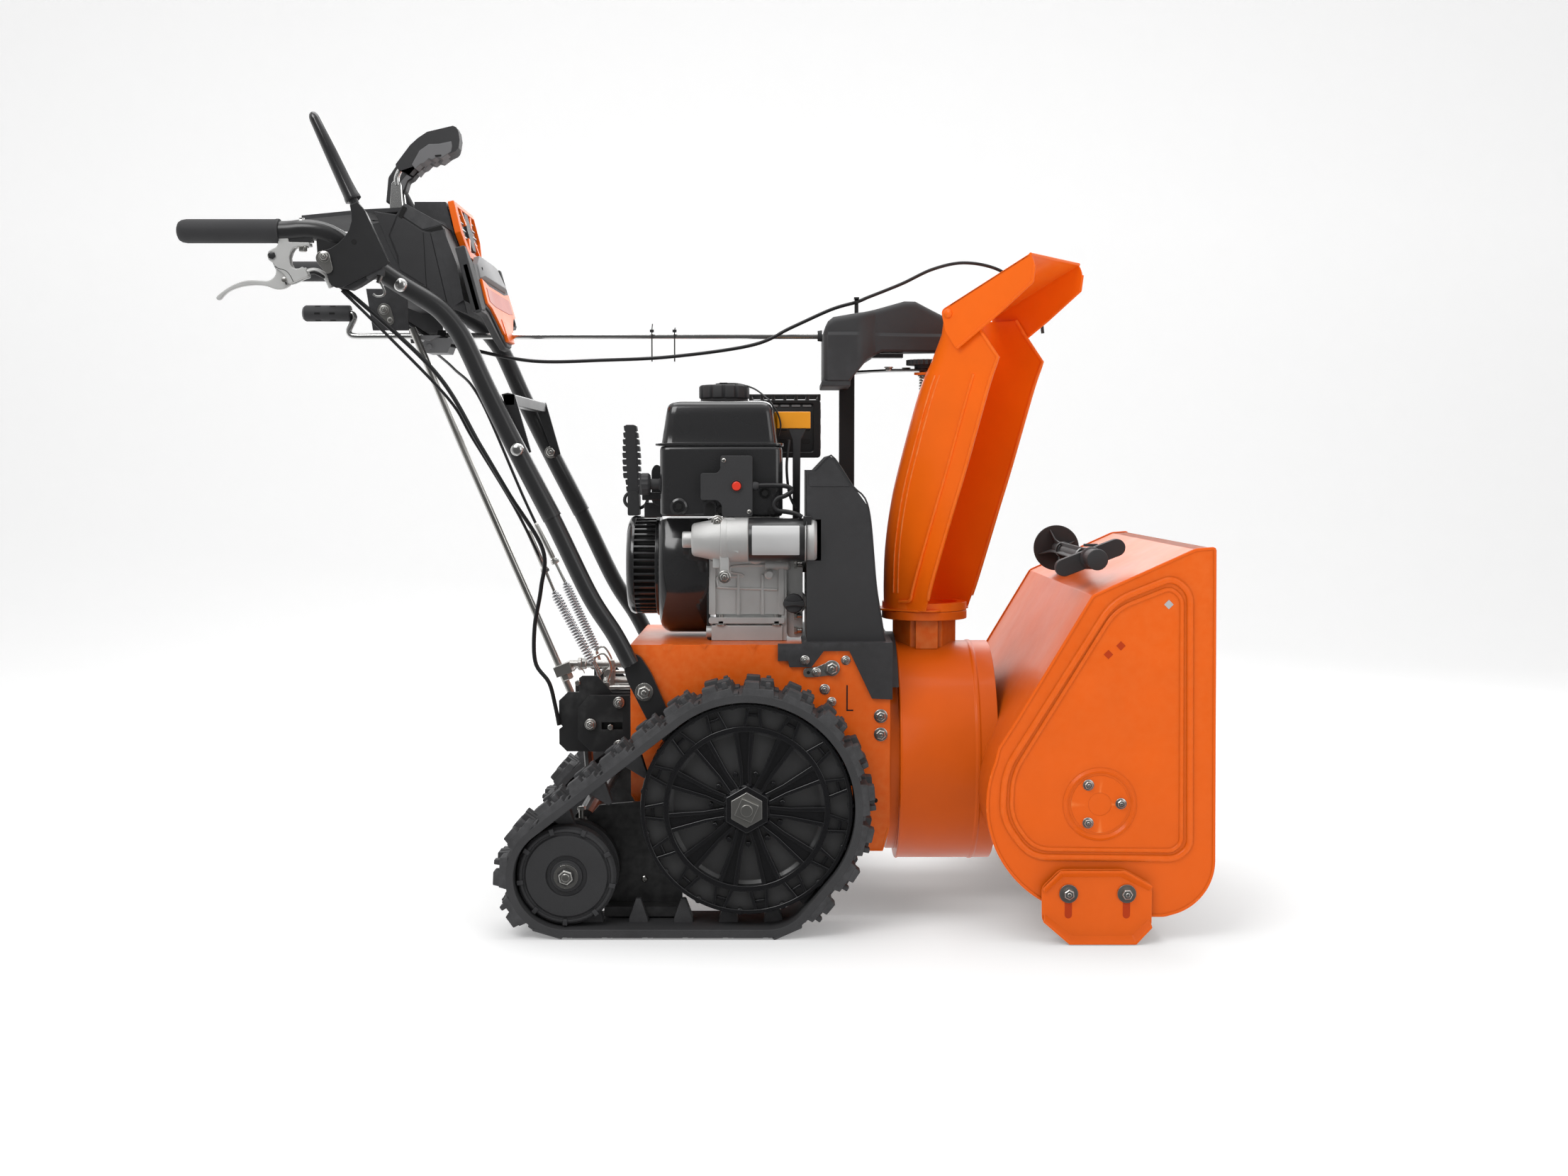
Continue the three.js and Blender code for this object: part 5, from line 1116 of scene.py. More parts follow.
def crankcase():
    """Cast crankcase with its ribs, studs and oil plug."""
    rework("engine_block", "alu", 2.2)
    cast = Piece("crankcase_details", "chassis", "alu", bevel=1.0, segments=3)
    cast.add(prism(rounded([(-60, 427), (53, 427), (53, 436), (-60, 436)], 3, 3), -107.5, -98))
    cast.add(tube(smooth([(-12, -101, 513), (-26, -101, 511), (-27, -101, 503), (-12, -101, 500),
                          (-11, -101, 497), (-45, -101, 496), (-48, -101, 490), (-46, -101, 482),
                          (-40, -101, 480), (42, -101, 477)], 80), 2.0, 8))
    cast.add(tube([(-12, -101, 513), (40, -101, 514)], 2.2, 8))
    cast.add(prism(rounded([(-58, 440), (-50, 440), (-50, 520), (-58, 520)], 2, 3), -106, -98))
    cast.add(prism(rounded([(44, 440), (52, 440), (52, 530), (44, 530)], 2, 3), -105, -98))
    cast.add(lathe([(12, 0), (12, 4), (9, 6)], (10, -99, 527), "-y", 28),
             lathe([(7, 0), (7, 12), (5, 14)], (30, -99, 500), "-y", 20))
    for z in (541, 514):
        cast.add(lathe([(8, 0), (8, 34), (6, 37)], (24, -99, z), "x", 24))
    cast.add(prism([(48, 401.5), (56, 401.5), (56, 545), (48, 545)], -103, -90),
             prism(rounded([(56, 405), (80, 405), (80, 520), (56, 540)], 8, 4), -94, -86))
    for x in (-52, -16, 20, 50):
        cast.add(prism([(x - 2.5, 440), (x + 2.5, 440), (x + 1.5, 500), (x - 1.5, 500)], -103, -98))
    cast.add(lathe([(9, 0), (9, 10)], (-64, -95, 414), "x", 20),
             lathe([(20, 0), (20, 1.5), (16, 3)], (66.4, -86, 458), "-y", 32))
    cast.done()
    studs = Piece("engine_studs", "chassis", "zinc", bevel=0.3)
    for x in (-42, 41):
        for y in (-101, 72):
            studs.add(hexagon((x, y, 425), "z", 13, 7), rod((x, y, 425), "z", 3.6, 15, 14),
                      lathe([(9, 0), (9, 1.5)], (x, y, 424), "z", 24))
    for x, y, z in ((-45, -150, 580), (-34.5, -160, 500)):
        studs.add(*bolt((x, y, z), "-y", 12))
    for x, z in ((67, 541), (67, 514), (67, 438), (67, 416)):
        studs.add(hexagon((x, -96, z), "x", 10, 5), lathe([(4, 0), (4, 8)], (x + 4, -96, z), "x", 12))
    studs.done()
    side = Piece("engine_rear_plate", "chassis", "gloss", bevel=1.0)
    side.add(prism(rounded([(-63, 402), (-58, 402), (-58, 560), (-63, 560)], 2, 2), -98, 60))
    side.done()
    plug = Piece("oil_plug_shell", "dipstick", "matte", bevel=1.0, segments=3, stands_for=("oil_plug",))
    plug.add(rod(OIL_PLUG, "-y", 10.8, 27, 32), lathe([(13.5, 27), (14.5, 30), (14.5, 37), (13, 39)],
                                                      OIL_PLUG, "-y", 32))
    plug.add(prism(rounded([(52, 463), (50, 458), (52, 453), (62, 455), (71, 455), (81, 453), (83, 458),
                            (81, 463), (71, 461), (62, 461)], 3, 4), -128, -120))
    plug.done()


def starter():
    """Starter motor: nose casting, can and end cap."""
    body = Piece("starter_shell", "chassis", "alu", bevel=1.0, segments=3, angle=36,
                 stands_for=("starter_motor",))
    o = STARTER_NOSE
    body.add(lathe([(11, 0), (12, 1.5), (12, 14), (21, 14), (24, 17), (31, 52), (31, 60)], o, "x", 56))
    body.add(prism(rounded([(-44, 583), (-24, 586), (-16, 583), (-14, 524), (-30, 520), (-46, 530)], 6, 4),
                   -148, -101))
    body.add(lathe([(32, 62), (32.5, 64), (32.5, 96), (31, 97.5)], o, "x", 56),
             lathe([(31, 179), (32, 181), (32, 193), (28, 197)], o, "x", 56))
    body.add(prism(rounded([(-52, 534), (-42, 534), (-42, 512), (-52, 512)], 2, 3), -150, -128))
    body.add(prism([(-44, 552), (-14, 540), (-14, 534), (-44, 546)], -166, -160))
    body.add(lathe([(28, 56), (32.8, 57), (32.8, 66), (30, 67), (28, 67)], o, "x", 56, closed=True))
    body.add(prism(rounded([(-42, 532), (-28, 528), (-28, 504), (-31, 495), (-38, 495), (-41, 502)], 3, 4),
                   -158, -142))
    body.add(lathe([(5.5, 0), (5.5, 18)], (-34.5, -160, 500), "y", 20),
             lathe([(7, 0), (7, 22)], (-45, -150, 580), "y", 20))
    body.done()
    can = Piece("starter_can", "chassis", "black", bevel=0.8, angle=36)
    can.add(lathe([(31, 97), (31.6, 98), (31.6, 178), (31, 179.5)], o, "x", 64))
    can.add(box(80, 92, -160, -140, 566, 588))
    can.done()
    plate = Piece("starter_plate", "chassis", "plate", bevel=0)
    rings = []
    for x in (5.5, 6.5, 73.5, 74.5):
        t = 1.2 if x in (5.5, 74.5) else 0
        turns = [math.radians((-42 + t) + (84 - 2 * t) * k / 24) for k in range(25)]
        back = [math.radians((42 - t) - (84 - 2 * t) * k / 24) for k in range(25)]
        rings.append([(x, -137 - 32.0 * math.cos(a), 553 + 32.0 * math.sin(a)) for a in turns]
                     + [(x, -137 - 31.2 * math.cos(a), 553 + 31.2 * math.sin(a)) for a in back])
    plate.add(loft(rings))
    plate.done()


def exhaust():
    """Muffler behind its guard, and the amber plate on its stem."""
    guard = Piece("muffler_guard", "chassis", "black", bevel=2.5, segments=4, stands_for=("muffler",))
    guard.add(rounded_box(-3, 109.5, 58, 194, [(676, 4), (679, 1), (683, 0), (759, 0), (763, 2), (764.5, 5)],
                          8))
    guard.add(lathe([(16, 600.5), (16, 677)], (20, 110, 0), "z", 24))
    rim = rounded([(-3, 674), (109.5, 674), (109.5, 764.5), (-3, 764.5)], 6, 5)
    window = rounded([(6, 683), (98.5, 683), (98.5, 759), (6, 759)], 6, 5)
    guard.add(loft([[(x, 57, z) for x, z in rim], [(x, 53.5, z) for x, z in rim],
                    [(x, 53.5, z) for x, z in window], [(x, 57, z) for x, z in window]], closed=True))
    for k in range(7):
        x = -3 + 17.9 * k
        guard.add(box(x, x + 5, 54, 194, 770.5, 773.5), box(x, x + 5, 54, 57.5, 763, 773),
                  box(x, x + 5, 190.5, 194, 763, 773))
    for y in (54, 88, 122, 156, 190.5):
        guard.add(box(-3, 109.5, y, y + 3.5, 770.5, 773.5))
    for k in range(4):
        guard.add(box(106, 109.5, 60 + 34 * k, 64 + 34 * k, 763, 773))
    guard.done()
    # the light grey bars stand for light catching the guard's embossed louvres: painted highlight
    pills = Piece("muffler_pill_highlights", "chassis", "greyplastic", bevel=1.2, segments=3)
    for k in range(5):
        x = 11.5 + 17.4 * k
        pills.add(prism(rounded([(x, 753.5), (x + 14, 753.5), (x + 14, 757), (x, 757)], 1.6, 4), 56.4, 58))
    pills.done()
    # the louvre openings are near-black sheets: painted shade
    holes = Piece("muffler_louvres", "chassis", "dark", bevel=0.4)
    for k in range(5):
        x = 8 + 18 * k
        for z in (736, 716, 696):
            holes.add(prism(rounded([(x, z), (x + 13, z), (x + 13, z + 8), (x, z + 8)], 3, 3), 57.5, 58.4))
    for j in range(6):
        for z in (736, 712, 688):
            holes.add(prism(rounded([(66 + j * 21, z), (79 + j * 21, z), (79 + j * 21, z + 14),
                                     (66 + j * 21, z + 14)], 3, 3), 109.2, 110.0, "yz"))
    holes.done()
    flag = Piece("amber_block", "chassis", "amber", bevel=1.2, segments=3, stands_for=("amber_plate",))
    flag.add(prism([(42, -52), (92, -52), (92, -43), (37, -43)], 717.5, 742.7, "xy"))
    flag.done()
    stem = Piece("amber_stem", "chassis", "matte", bevel=1.0)
    stem.add(prism(rounded([(58, 718), (86, 718), (77, 700), (76, 562), (65, 562), (65, 700)], 2, 2), -50,
                   -44))
    stem.add(tube(smooth([(60, -60, 700), (56, -66, 660), (60, -70, 620), (70, -72, 596)], 24), 2.2, 8))
    stem.done()


tank()
cover_and_switch()
shroud_and_recoil()
crankcase()
starter()
exhaust()
rework("crank_sheave", "steel", 0.6)

# ---------------------------------------------------------------- chute drive, post and clean-out tool

TOOL = (490, 0, 530)     # the tool's handle lies across the housing's sloped top
TOOL_TILT = 21.2


def gear_cover():
    """Cover over the chute drive, on its post."""
    rework("chute_post", "black", 1.0)
    top = [(111, 868), (122, 884), (175, 893), (235, 911), (252, 911), (298, 888)]
    low = [(111, 787), (150, 787), (160, 800), (178, 822), (200, 834), (298, 834)]
    left = [(105, 98), (165, 98), (178, 74), (190, 42), (225, 30), (268, 21), (302, 18)]
    right = [(105, 60), (165, 60), (178, 52), (190, 40), (225, 30), (268, 21), (302, 18)]

    def read(table, x):
        for (x0, v0), (x1, v1) in zip(table, table[1:]):
            if x <= x1:
                return v0 + (v1 - v0) * max(0, x - x0) / (x1 - x0)
        return table[-1][1]

    def ring(x, inset):
        z0, z1 = read(low, x) + inset, read(top, x) - inset
        a, b = -read(right, x) + inset, read(left, x) - inset
        crease = max(min(862, z1 - 12), z0 + 6)
        r = min(10, (z1 - crease) * 0.7, b * 0.5)
        half = [(a, z0 + 3), (a, crease - 5), (a + 3, crease)]
        half += [(a + 3 + r * (1 - math.cos(t)),
                  z1 - r + r * math.sin(t)) for t in (math.radians(22.5 * k) for k in range(5))]
        rest = [(b - 3 - r * (1 - math.cos(t)),
                 z1 - r + r * math.sin(t)) for t in (math.radians(22.5 * k) for k in (4, 3, 2, 1, 0))]
        rest += [(b - 3, crease), (b, crease - 5), (b, z0 + 3), (b - 3, z0), (a + 3, z0)]
        return [(x, y, z) for y, z in half + rest]

    middle = (126, 134, 142, 149, 154, 160, 166, 172, 178, 184, 190, 200, 212, 225, 235, 244, 252, 262, 275, 288, 294)
    marks = [(111, 9), (112, 5), (114.5, 2), (118, 0)] + [(x, 0) for x in middle] + [(297, 2), (298, 5)]
    cover = Piece("gear_cover_shell", "chassis", "matte", bevel=0, angle=28, stands_for=("gear_cover",))
    cover.add(loft([ring(x, inset) for x, inset in marks]))
    cover.add(tube([(111, ROD_Y, ROD_Z), (104, ROD_Y, ROD_Z)], [9, 8], 24))
    cover.done()
    foot = Piece("gear_cover_foot", "chassis", "matte", bevel=1.2)
    foot.add(box(108.5, 152, -58, 96, 781, 789))
    foot.done()
    clip = Piece("cable_clip", "chassis", "black", bevel=0.4)
    clip.add(box(161, 167, 24, 36, 890, 909), lathe([(3.4, -3), (5.6, -3), (5.6, 3), (3.4, 3)],
                                                    (164, 30, 913.5), "x", 20, closed=True))
    clip.add(prism([(160, 918), (168, 918), (168, 921), (160, 921)], 22, 38))
    clip.done()
    under = Piece("gear_cover_rail", "chassis", "black", bevel=0.6)
    under.add(box(168, 234, -11, 11, 826, 832))
    under.done()
    nuts = Piece("cover_bolts", "chassis", "zinc", bevel=0.3)
    nuts.add(*bolt((212, -12, 812), "-z", 9), *bolt((240, 8, 812), "-z", 9))
    nuts.done()


def clean_out_tool():
    """Clean-out tool lying in two clips on the housing."""
    o = TOOL
    tool = Piece("tool_handle", "clearing_tool", "matte", bevel=1.2, segments=3,
                 stands_for=("clean_out_tool",))
    bar = [(-52, 0)] + arc(-40, 0, 12.4, 180, 90, 6)[1:]
    bar += arc(40, 0, 12.4, 90, -90, 12) + arc(-40, 0, 12.4, -90, -175, 6)
    tool.add(spin(shifted(prism(bar, -205, -189), *TOOL), o, "y", -TOOL_TILT))
    tool.add(lathe([(9, -190), (9, -140), (7.5, -138), (7.5, 60), (9, 62), (9, 104)], o, "y", 32))
    for k in range(4):
        a = math.radians(90 * k + 20)
        c, d = math.cos(a), math.sin(a)
        tool.add(loft([[(TOOL[0] + c * r - d * w, y, TOOL[2] + d * r + c * w) for r,
                        w in ((6, -1.4), (6, 1.4), (reach, 1.2), (reach, -1.2))] for y,
                       reach in ((-186, 14), (60, 13), (88, 16), (111, 33))]))
    tool.add(lathe([(15.5, -206), (16.2, -209), (15.2, -213), (13.2, -216), (13.6, -240), (15, -258),
                    (14.6, -261.5), (13, -262)], o, "y", 48))
    tool.add(lathe([(36, 109), (36.4, 110), (36.4, 113), (36, 114)], o, "y", 56))
    tool.add(prism([(484, 545), (504, 545), (504, 549), (484, 549)], -184, -176))
    tool.done()
    cradle = Piece("tool_clips", "chassis", "black", bevel=0.8)
    for y in (-150, 40):
        cradle.add(lathe([(9.6, y - 6), (12.4, y - 6), (12.4, y + 6), (9.6, y + 6)], o, "y", 30, closed=True,
                         start=-220, end=40))
        cradle.add(box(483, 497, y - 7, y + 7, 511, 519))
    cradle.done()


# ---------------------------------------------------------------- handlebars, grips and levers

ROD_Y, ROD_Z, ROD_R = 30, 862, 4.8    # chute crank rod
GRIP_Y, GRIP_Z = -247, 985.3
UPPER_PATH = [(-282, -181, 587), (-331.6, -181, 684), (-374, -181, 771), (-395, -183, 818), (-409, -186, 847),
              (-426, -190, 871),
              (-446, -196, 890), (-487, -208, 915.4), (-525, -222, 941.6), (-552, -234, 963.6),
              (-568, -240, 975),
              (-584, -244, 983), (-602, -246, 987), (-622, -247, 987), (-646, -247, 985.3), (-780, -247, 985.3)]
LOWER_PATH = [(-346, -181, 714), (-280, -181, 582), (-229, -181, 475), (-193, -181, 418), (-170, -179, 374)]


def handlebars():
    """Handlebar tubes, blades, bolts and grips."""
    upper = Piece("handlebar_tubes", "chassis", "black", bevel=0, angle=40, stands_for=("handlebar_upper",))
    upper.both(tube(smooth(UPPER_PATH, 90), 14, 36))
    upper.both(lathe([(13.1, 0), (14.0, 0), (14.2, 0.8), (14.0, 3), (13.1, 3)], (-281.4, -181, 585.9),
                     (-0.4553, 0, 0.8903), 40, closed=True))
    upper.done()
    lower = Piece("handlebar_legs", "chassis", "black", bevel=0, angle=40,
                  stands_for=("handlebar_right", "handlebar_left"))
    lower.both(tube(smooth(LOWER_PATH, 40), 12.7, 32))
    lower.done()
    blade = rounded([(-186, 392), (-176, 350), (-145, 288), (-113, 297), (-141, 362), (-158, 388)], 9, 5)
    plates = Piece("handlebar_blades", "chassis", "black", bevel=1.2, segments=3)
    plates.both(prism(blade, -177, -165.6))
    brace = [(-352, 748), (-336, 748), (-336, 764), (-352, 764)]
    plates.add(prism(rounded(brace, 2.5, 3), -168, 168))
    plates.both(hull((-355, -168, 764), (-346, -168, 766), (-346, -162, 766), (-355, -162, 764),
                     (-324, -168, 676), (-313, -168, 681), (-324, -163, 676), (-313, -163, 681),
                     (-336, -168, 764), (-336, -163, 764)))
    plates.both(prism(rounded([(-595.7, 984), (-565.7, 976), (-565.7, 942), (-579.7, 936), (-593.7, 942)], 5,
                              4), -252, -247))
    plates.done()
    bright = Piece("handlebar_bolts", "chassis", "bright", bevel=0)
    bright.both(dome((-329, -194.4, 684), "-y", 9.6, 6.5), dome((-486.5, -219.5, 914.5), "-y", 9.8, 7))
    bright.add(dome((-616, -247, 999.5), "z", 6.8, 2.2),
               lathe([(4.4, 1.5), (4.2, 3.4), (2.6, 3.6), (2.4, 2.6)], (-616, -247, 999.8), "z", 24))
    bright.done()
    nuts = Piece("handlebar_nuts", "chassis", "zinc", bevel=0.3)
    nuts.both(*bolt((-329, -167, 684), "y", 13), *bolt((-151, -177, 333.4), "-y", 17),
              *bolt((-176, -177, 378), "-y", 11))
    nuts.done()
    for side, sign in (("right", 1), ("left", -1)):
        g = Piece("grip_sleeve_" + side, "chassis", "grip", bevel=0, angle=50, stands_for=("grip_" + side,))
        profile = [(4, 788), (9, 787.6), (13, 785.5), (15.4, 781.5), (16.5, 775), (16.5, 652), (17.1, 650),
                   (17.1, 647.5), (16.6, 646.4), (14.4, 646.2)]
        g.add(lathe(profile, (0, GRIP_Y * sign, GRIP_Z), "-x", 56))
        g.done()


def teardrop(x, z, x2, z2, y, r=10, r2=6.4):
    """Pivot cover with a big round end at (x, z) and a small one at (x2, z2)."""
    big, small = (x, z, r), (x2, z2, r2)
    path = belt_path([small, big] if x2 > x else [big, small], 0, 9)
    outline = [(station[0], station[1]) for station in path]
    return prism(outline, y - 1.6, y)


def clutch_lever(side):
    keep = (lambda s: s) if side == "right" else flipped
    body = "clutch_" + side
    plate = [(-586, 955), (-572, 960), (-562, 966.5), (-553, 975), (-546.5, 985), (-543, 997), (-543.2, 1008),
             (-545, 1019), (-534.6, 1023), (-524, 1010), (-492.3, 941), (-493, 938.4), (-502, 933),
             (-555, 907.3), (-560, 905.6), (-566, 905.8), (-572, 909), (-575.5, 914), (-578, 923),
             (-588, 939), (-590, 948), (-589, 952.5)]
    lever = Piece("lever_plate_" + side, body, "black", bevel=0.7, segments=3,
                  stands_for=("clutch_lever_" + side,))
    lever.add(keep(prism(plate, -265, -262.2)))
    flange = [(-534.6, 1023), (-524, 1010), (-492.3, 941), (-494.6, 940), (-526.2, 1008.6), (-536, 1020.6)]
    lever.add(keep(prism(flange, -264.4, -253.5)))
    lever.add(keep(prism([(-560, 905.6), (-555, 907.3), (-502, 933), (-503, 935.2), (-556, 909.4),
                          (-561, 907.8)], -264.4, -256)))
    lever.add(keep(tube([(-531.5, -259, 1004), (-541.5, -257.2, 1025), (-548, -256, 1039)], [5.2, 6.4, 6.4],
                        28)))
    lever.done()
    sleeve = Piece("lever_sleeve_" + side, body, "gloss", bevel=0, angle=50)
    sleeve.add(keep(tube([(-541.6, -256.3, 1025.8), (-542, -256.2, 1026.6), (-543.5, -256.1, 1029.8),
                          (-545, -256, 1033), (-571.7, -255, 1090.7), (-593.6, -254.1, 1137),
                          (-595.6, -254, 1141.2), (-597.3, -254, 1144.6), (-598.2, -254, 1146.4)],
                         [9.6, 11.4, 11.4, 10.6, 9.1, 7.3, 6.5, 4.6, 1.6], 36)))
    sleeve.done()
    # the hole is a near-black disc: painted shade
    hole = Piece("lever_hole_" + side, body, "dark", bevel=0)
    hole.add(keep(lathe([(3.6, 0), (3.6, 0.5), (1, 0.5)], (-539.9, -265, 968.4), "-y", 24)))
    hole.done()
    metal = Piece("lever_pivot_" + side, "chassis", "zinc", bevel=0.4, segments=2)
    metal.add(keep(teardrop(-582.2, 946.0, -575.6, 931.5, -266.8)))
    metal.add(*[keep(b) for b in bolt((-580.2, -268.4, 948.0), "-y", 10)])
    metal.add(keep(rod((-579.7, -250, 948.3), "-y", 4.2, 16)))
    metal.done()
    catch = Piece("lever_bracket_" + side, "chassis", "matte", bevel=0.9, segments=2)
    catch.add(keep(hull((-563, -258, 907), (-547, -258, 904), (-536, -258, 909), (-517, -258, 921),
                        (-505, -258, 931), (-563, -238, 907), (-547, -238, 904), (-536, -238, 909),
                        (-517, -238, 921), (-505, -238, 931), (-540, -258, 922), (-540, -238, 922))))
    catch.add(keep(prism(rounded([(-551, 910), (-533, 918), (-527, 928), (-509, 934), (-507, 941),
                                  (-521, 944), (-548, 926)], 2, 2), -262, -258)))
    catch.add(keep(prism(rounded([(-524, 917), (-509, 925), (-500, 921), (-499, 930), (-508, 939),
                                  (-526, 930)], 2, 2), -263, -256)))
    catch.done()
    hook = Piece("lever_hook_" + side, "chassis", "dullzinc", bevel=0)
    hook.add(keep(tube(smooth([(-513, -246, 926), (-507, -246, 912), (-503, -246, 902), (-506, -246, 897),
                               (-514, -246, 896), (-519, -246, 899)], 24), 1.7, 10)))
    hook.add(keep(tube([(-512, -246, 914), (-507, -246, 926)], 3.2, 12)))
    hook.done()


def trigger():
    """Trigger lever in its clamp below the right grip."""
    clamp = Piece("trigger_clamp", "chassis", "alu", bevel=1.3, segments=3)
    outline = [(-647.3, 977.4), (-633.7, 977.4), (-632.6, 969.8), (-603.9, 969), (-603.6, 964.2),
               (-620, 963.4), (-626, 961.5), (-629.8, 956), (-632.2, 949), (-631.6, 941), (-629, 935.5),
               (-624.5, 933), (-619, 933.6), (-614.8, 936), (-612.6, 934.5), (-606.4, 924.2), (-607.5, 921.6),
               (-613, 920.2), (-627, 913.8), (-634, 912), (-640, 925), (-650, 934), (-655, 941), (-661, 945),
               (-663, 951), (-661, 957), (-655, 960.4), (-650, 962.6), (-647.6, 967)]
    clamp.add(prism(outline, -255.4, -250.6), prism(outline, -243.4, -238.6))
    clamp.add(prism(rounded([(-647, 977), (-634, 977), (-633, 968), (-645, 962), (-648, 968)], 2, 2), -252,
                    -242))
    clamp.add(prism([(-634, 969.6), (-604.4, 968.8), (-604.4, 964.6), (-620, 963.8), (-634, 960)], -251,
                    -243))
    clamp.add(tube([(-622, -247, 926), (-609, -247, 929.6)], [6.4, 6.4], 24))
    clamp.add(tube(smooth([(-611, -247, 929), (-602, -246, 931.4), (-594, -245, 930), (-587, -244, 925),
                           (-581, -243, 916), (-578, -242, 908)], 22), 3.9, 18))
    clamp.done()
    seam = Piece("trigger_seam", "chassis", "dark", bevel=0)
    seam.add(tube(smooth([(-653, -255.3, 936), (-646, -255.4, 933), (-637, -255.4, 930), (-631, -255.4, 923),
                          (-627, -255.4, 915)], 20), 0.45, 6))
    seam.add(prism([(-639, 915.5), (-637.2, 916), (-635.8, 911.4), (-637.4, 910.8)], -255.9, -255.3))
    seam.done()
    fixings = Piece("trigger_fixings", "chassis", "black", bevel=0.3)
    fixings.add(hexagon((-656, -255.6, 951), "-y", 9.5, 2.4, 15), rod((-656, -238.6, 951), "y", 4.2, 3))
    fixings.add(prism(rounded([(-634, 972.6), (-601, 977.6), (-601, 969.8), (-634, 969.8)], 1.5, 2), -254,
                      -240))
    fixings.done()
    nut = Piece("trigger_nut", "chassis", "zinc", bevel=0.3)
    nut.add(lathe([(8, 0), (8, 1.4), (6.6, 1.8)], (-614.6, -249, 963.6), "-z", 24),
            hexagon((-614.6, -249, 962), "-z", 11, 5.2, 10))
    nut.add(lathe([(3.8, 0), (3.8, 1.2), (3, 1.6)], (-639.6, -255.4, 917.8), "-y", 24))
    nut.done()
    lever = Piece("trigger_blade", "trigger", "alu", bevel=1.6, segments=4, angle=28,
                  stands_for=("trigger_lever",))
    shape = smooth([(-653, 0, 935.6), (-652.4, 0, 929), (-654.8, 0, 922.9), (-660, 0, 918.6),
                    (-666.5, 0, 916.8), (-678, 0, 917.6), (-692.1, 0, 917.6), (-705, 0, 914.6),
                    (-717.9, 0, 908.6), (-728.4, 0, 901.6), (-736.2, 0, 894.9), (-735.8, 0, 891.4),
                    (-731.2, 0, 890.3), (-724, 0, 898), (-715.5, 0, 903.8), (-704, 0, 908),
                    (-692.2, 0, 910.2), (-679, 0, 911), (-666.6, 0, 909.7), (-656, 0, 906),
                    (-648.7, 0, 905.1), (-640, 0, 906.6), (-633, 0, 911)], 64)
    flat = [(p.x, p.z) for p in shape] + [(-634.6, 916), (-638, 926), (-646, 933)]
    lever.add(prism(flat, -250.4, -243.6))
    lever.add(prism([(-661, 956), (-652, 957), (-649.6, 950), (-646, 934), (-653, 932), (-657, 941)], -250.2,
                    -243.8))
    lever.done()


def hand_lever(name, body, node, y, lean, full):
    pivot = (-525, y, 950)

    def at(shape):
        return spin(shape, pivot, "y", lean)

    top = [(-505, 1137.4), (-493, 1148), (-479.2, 1157), (-440.7, 1166), (-436, 1164), (-432.3, 1157),
           (-430.8, 1145), (-432.6, 1133.2), (-437, 1128.6), (-442.7, 1126.2), (-459.8, 1120.4),
           (-476.9, 1118.6), (-486, 1113.6), (-494.1, 1108), (-505.6, 1095.4)]
    heel, nose = [(-511, 1096), (-517.6, 1099)], [(-526, 1104), (-526.7, 1109.4)]
    if full:
        heel = [(-548.4, 1063), (-541, 1062), (-517.5, 1078), (-512, 1093)]
        nose = [(-542, 1101), (-527, 1120)]
    outline = top + list(reversed(heel)) + nose
    grip = Piece(name + "_grip", body, "matte", bevel=3.2, segments=4, angle=24, stands_for=(node,))
    grip.add(at(prism(outline, y - 12.5, y + 12.5)))
    grip.done()
    pad = [(-502.6, 1109), (-491, 1129.4), (-476.8, 1139.2), (-462, 1139.5), (-442.8, 1143.4), (-441.6, 1136),
           (-443.6, 1127.4), (-459, 1117.6), (-465, 1119.4), (-471, 1115.6), (-477, 1117.2), (-484, 1111),
           (-490, 1109), (-497, 1101.6)]
    rubber = Piece(name + "_pad", body, "pad", bevel=1.4, segments=3, angle=24)
    rubber.add(at(prism(pad, y - 13.6, y + 13.6)))
    if full:
        low = [(-541.5, 1064), (-519.5, 1080.5), (-513, 1094), (-506, 1098), (-512, 1104), (-523, 1093),
               (-534, 1076)]
        rubber.add(at(prism(rounded(low, 2, 2), y - 13.4, y + 13.4)))
    rubber.done()
    # the slot is a near-black sheet: painted shade
    slotp = Piece(name + "_slot", body, "dark", bevel=0)
    slotp.add(at(prism(rounded([(-468, 1122.6), (-458, 1123.4), (-458, 1120.6), (-467, 1119.8)], 1, 2),
                       y - 14, y + 14)))
    slotp.done()
    stem = Piece(name + "_stem", body, "bright", bevel=0.8, segments=2)
    stem.add(at(prism([(-533, 946), (-518, 946), (-519.6, 1050), (-521.6, 1082), (-524, 1086.5),
                       (-532.6, 1086.5), (-535.4, 1083), (-538.6, 1050)], y - 3, y + 3)))
    stem.add(at(tube(smooth([(-527, y, 1080), (-528, y, 1090), (-525.4, y, 1098), (-521, y, 1106)], 16),
                     [4.2] * 15 + [3.6, 3], 20)))
    stem.add(at(rod((-525, y - 4, 950), "y", 12, 8)))
    stem.done()


# ---------------------------------------------------------------- console, headlight and front panel

HEADLIGHT = (-438, 1051, 13.4)       # x and z of the top edge, and the lean in degrees
FRONT_PANEL = (-399, 948, 14.9)


def on_slope(shape, x, z, tilt):
    """Shapes drawn upright, leant back and put with their top edge at (x, z)."""
    c, s = math.cos(math.radians(tilt)), math.sin(math.radians(tilt))
    verts = [Vector(v) for v in shape[0]]
    return [Vector((v.x * c - v.z * s + x, v.y, v.x * s + v.z * c + z)) for v in verts], shape[1]


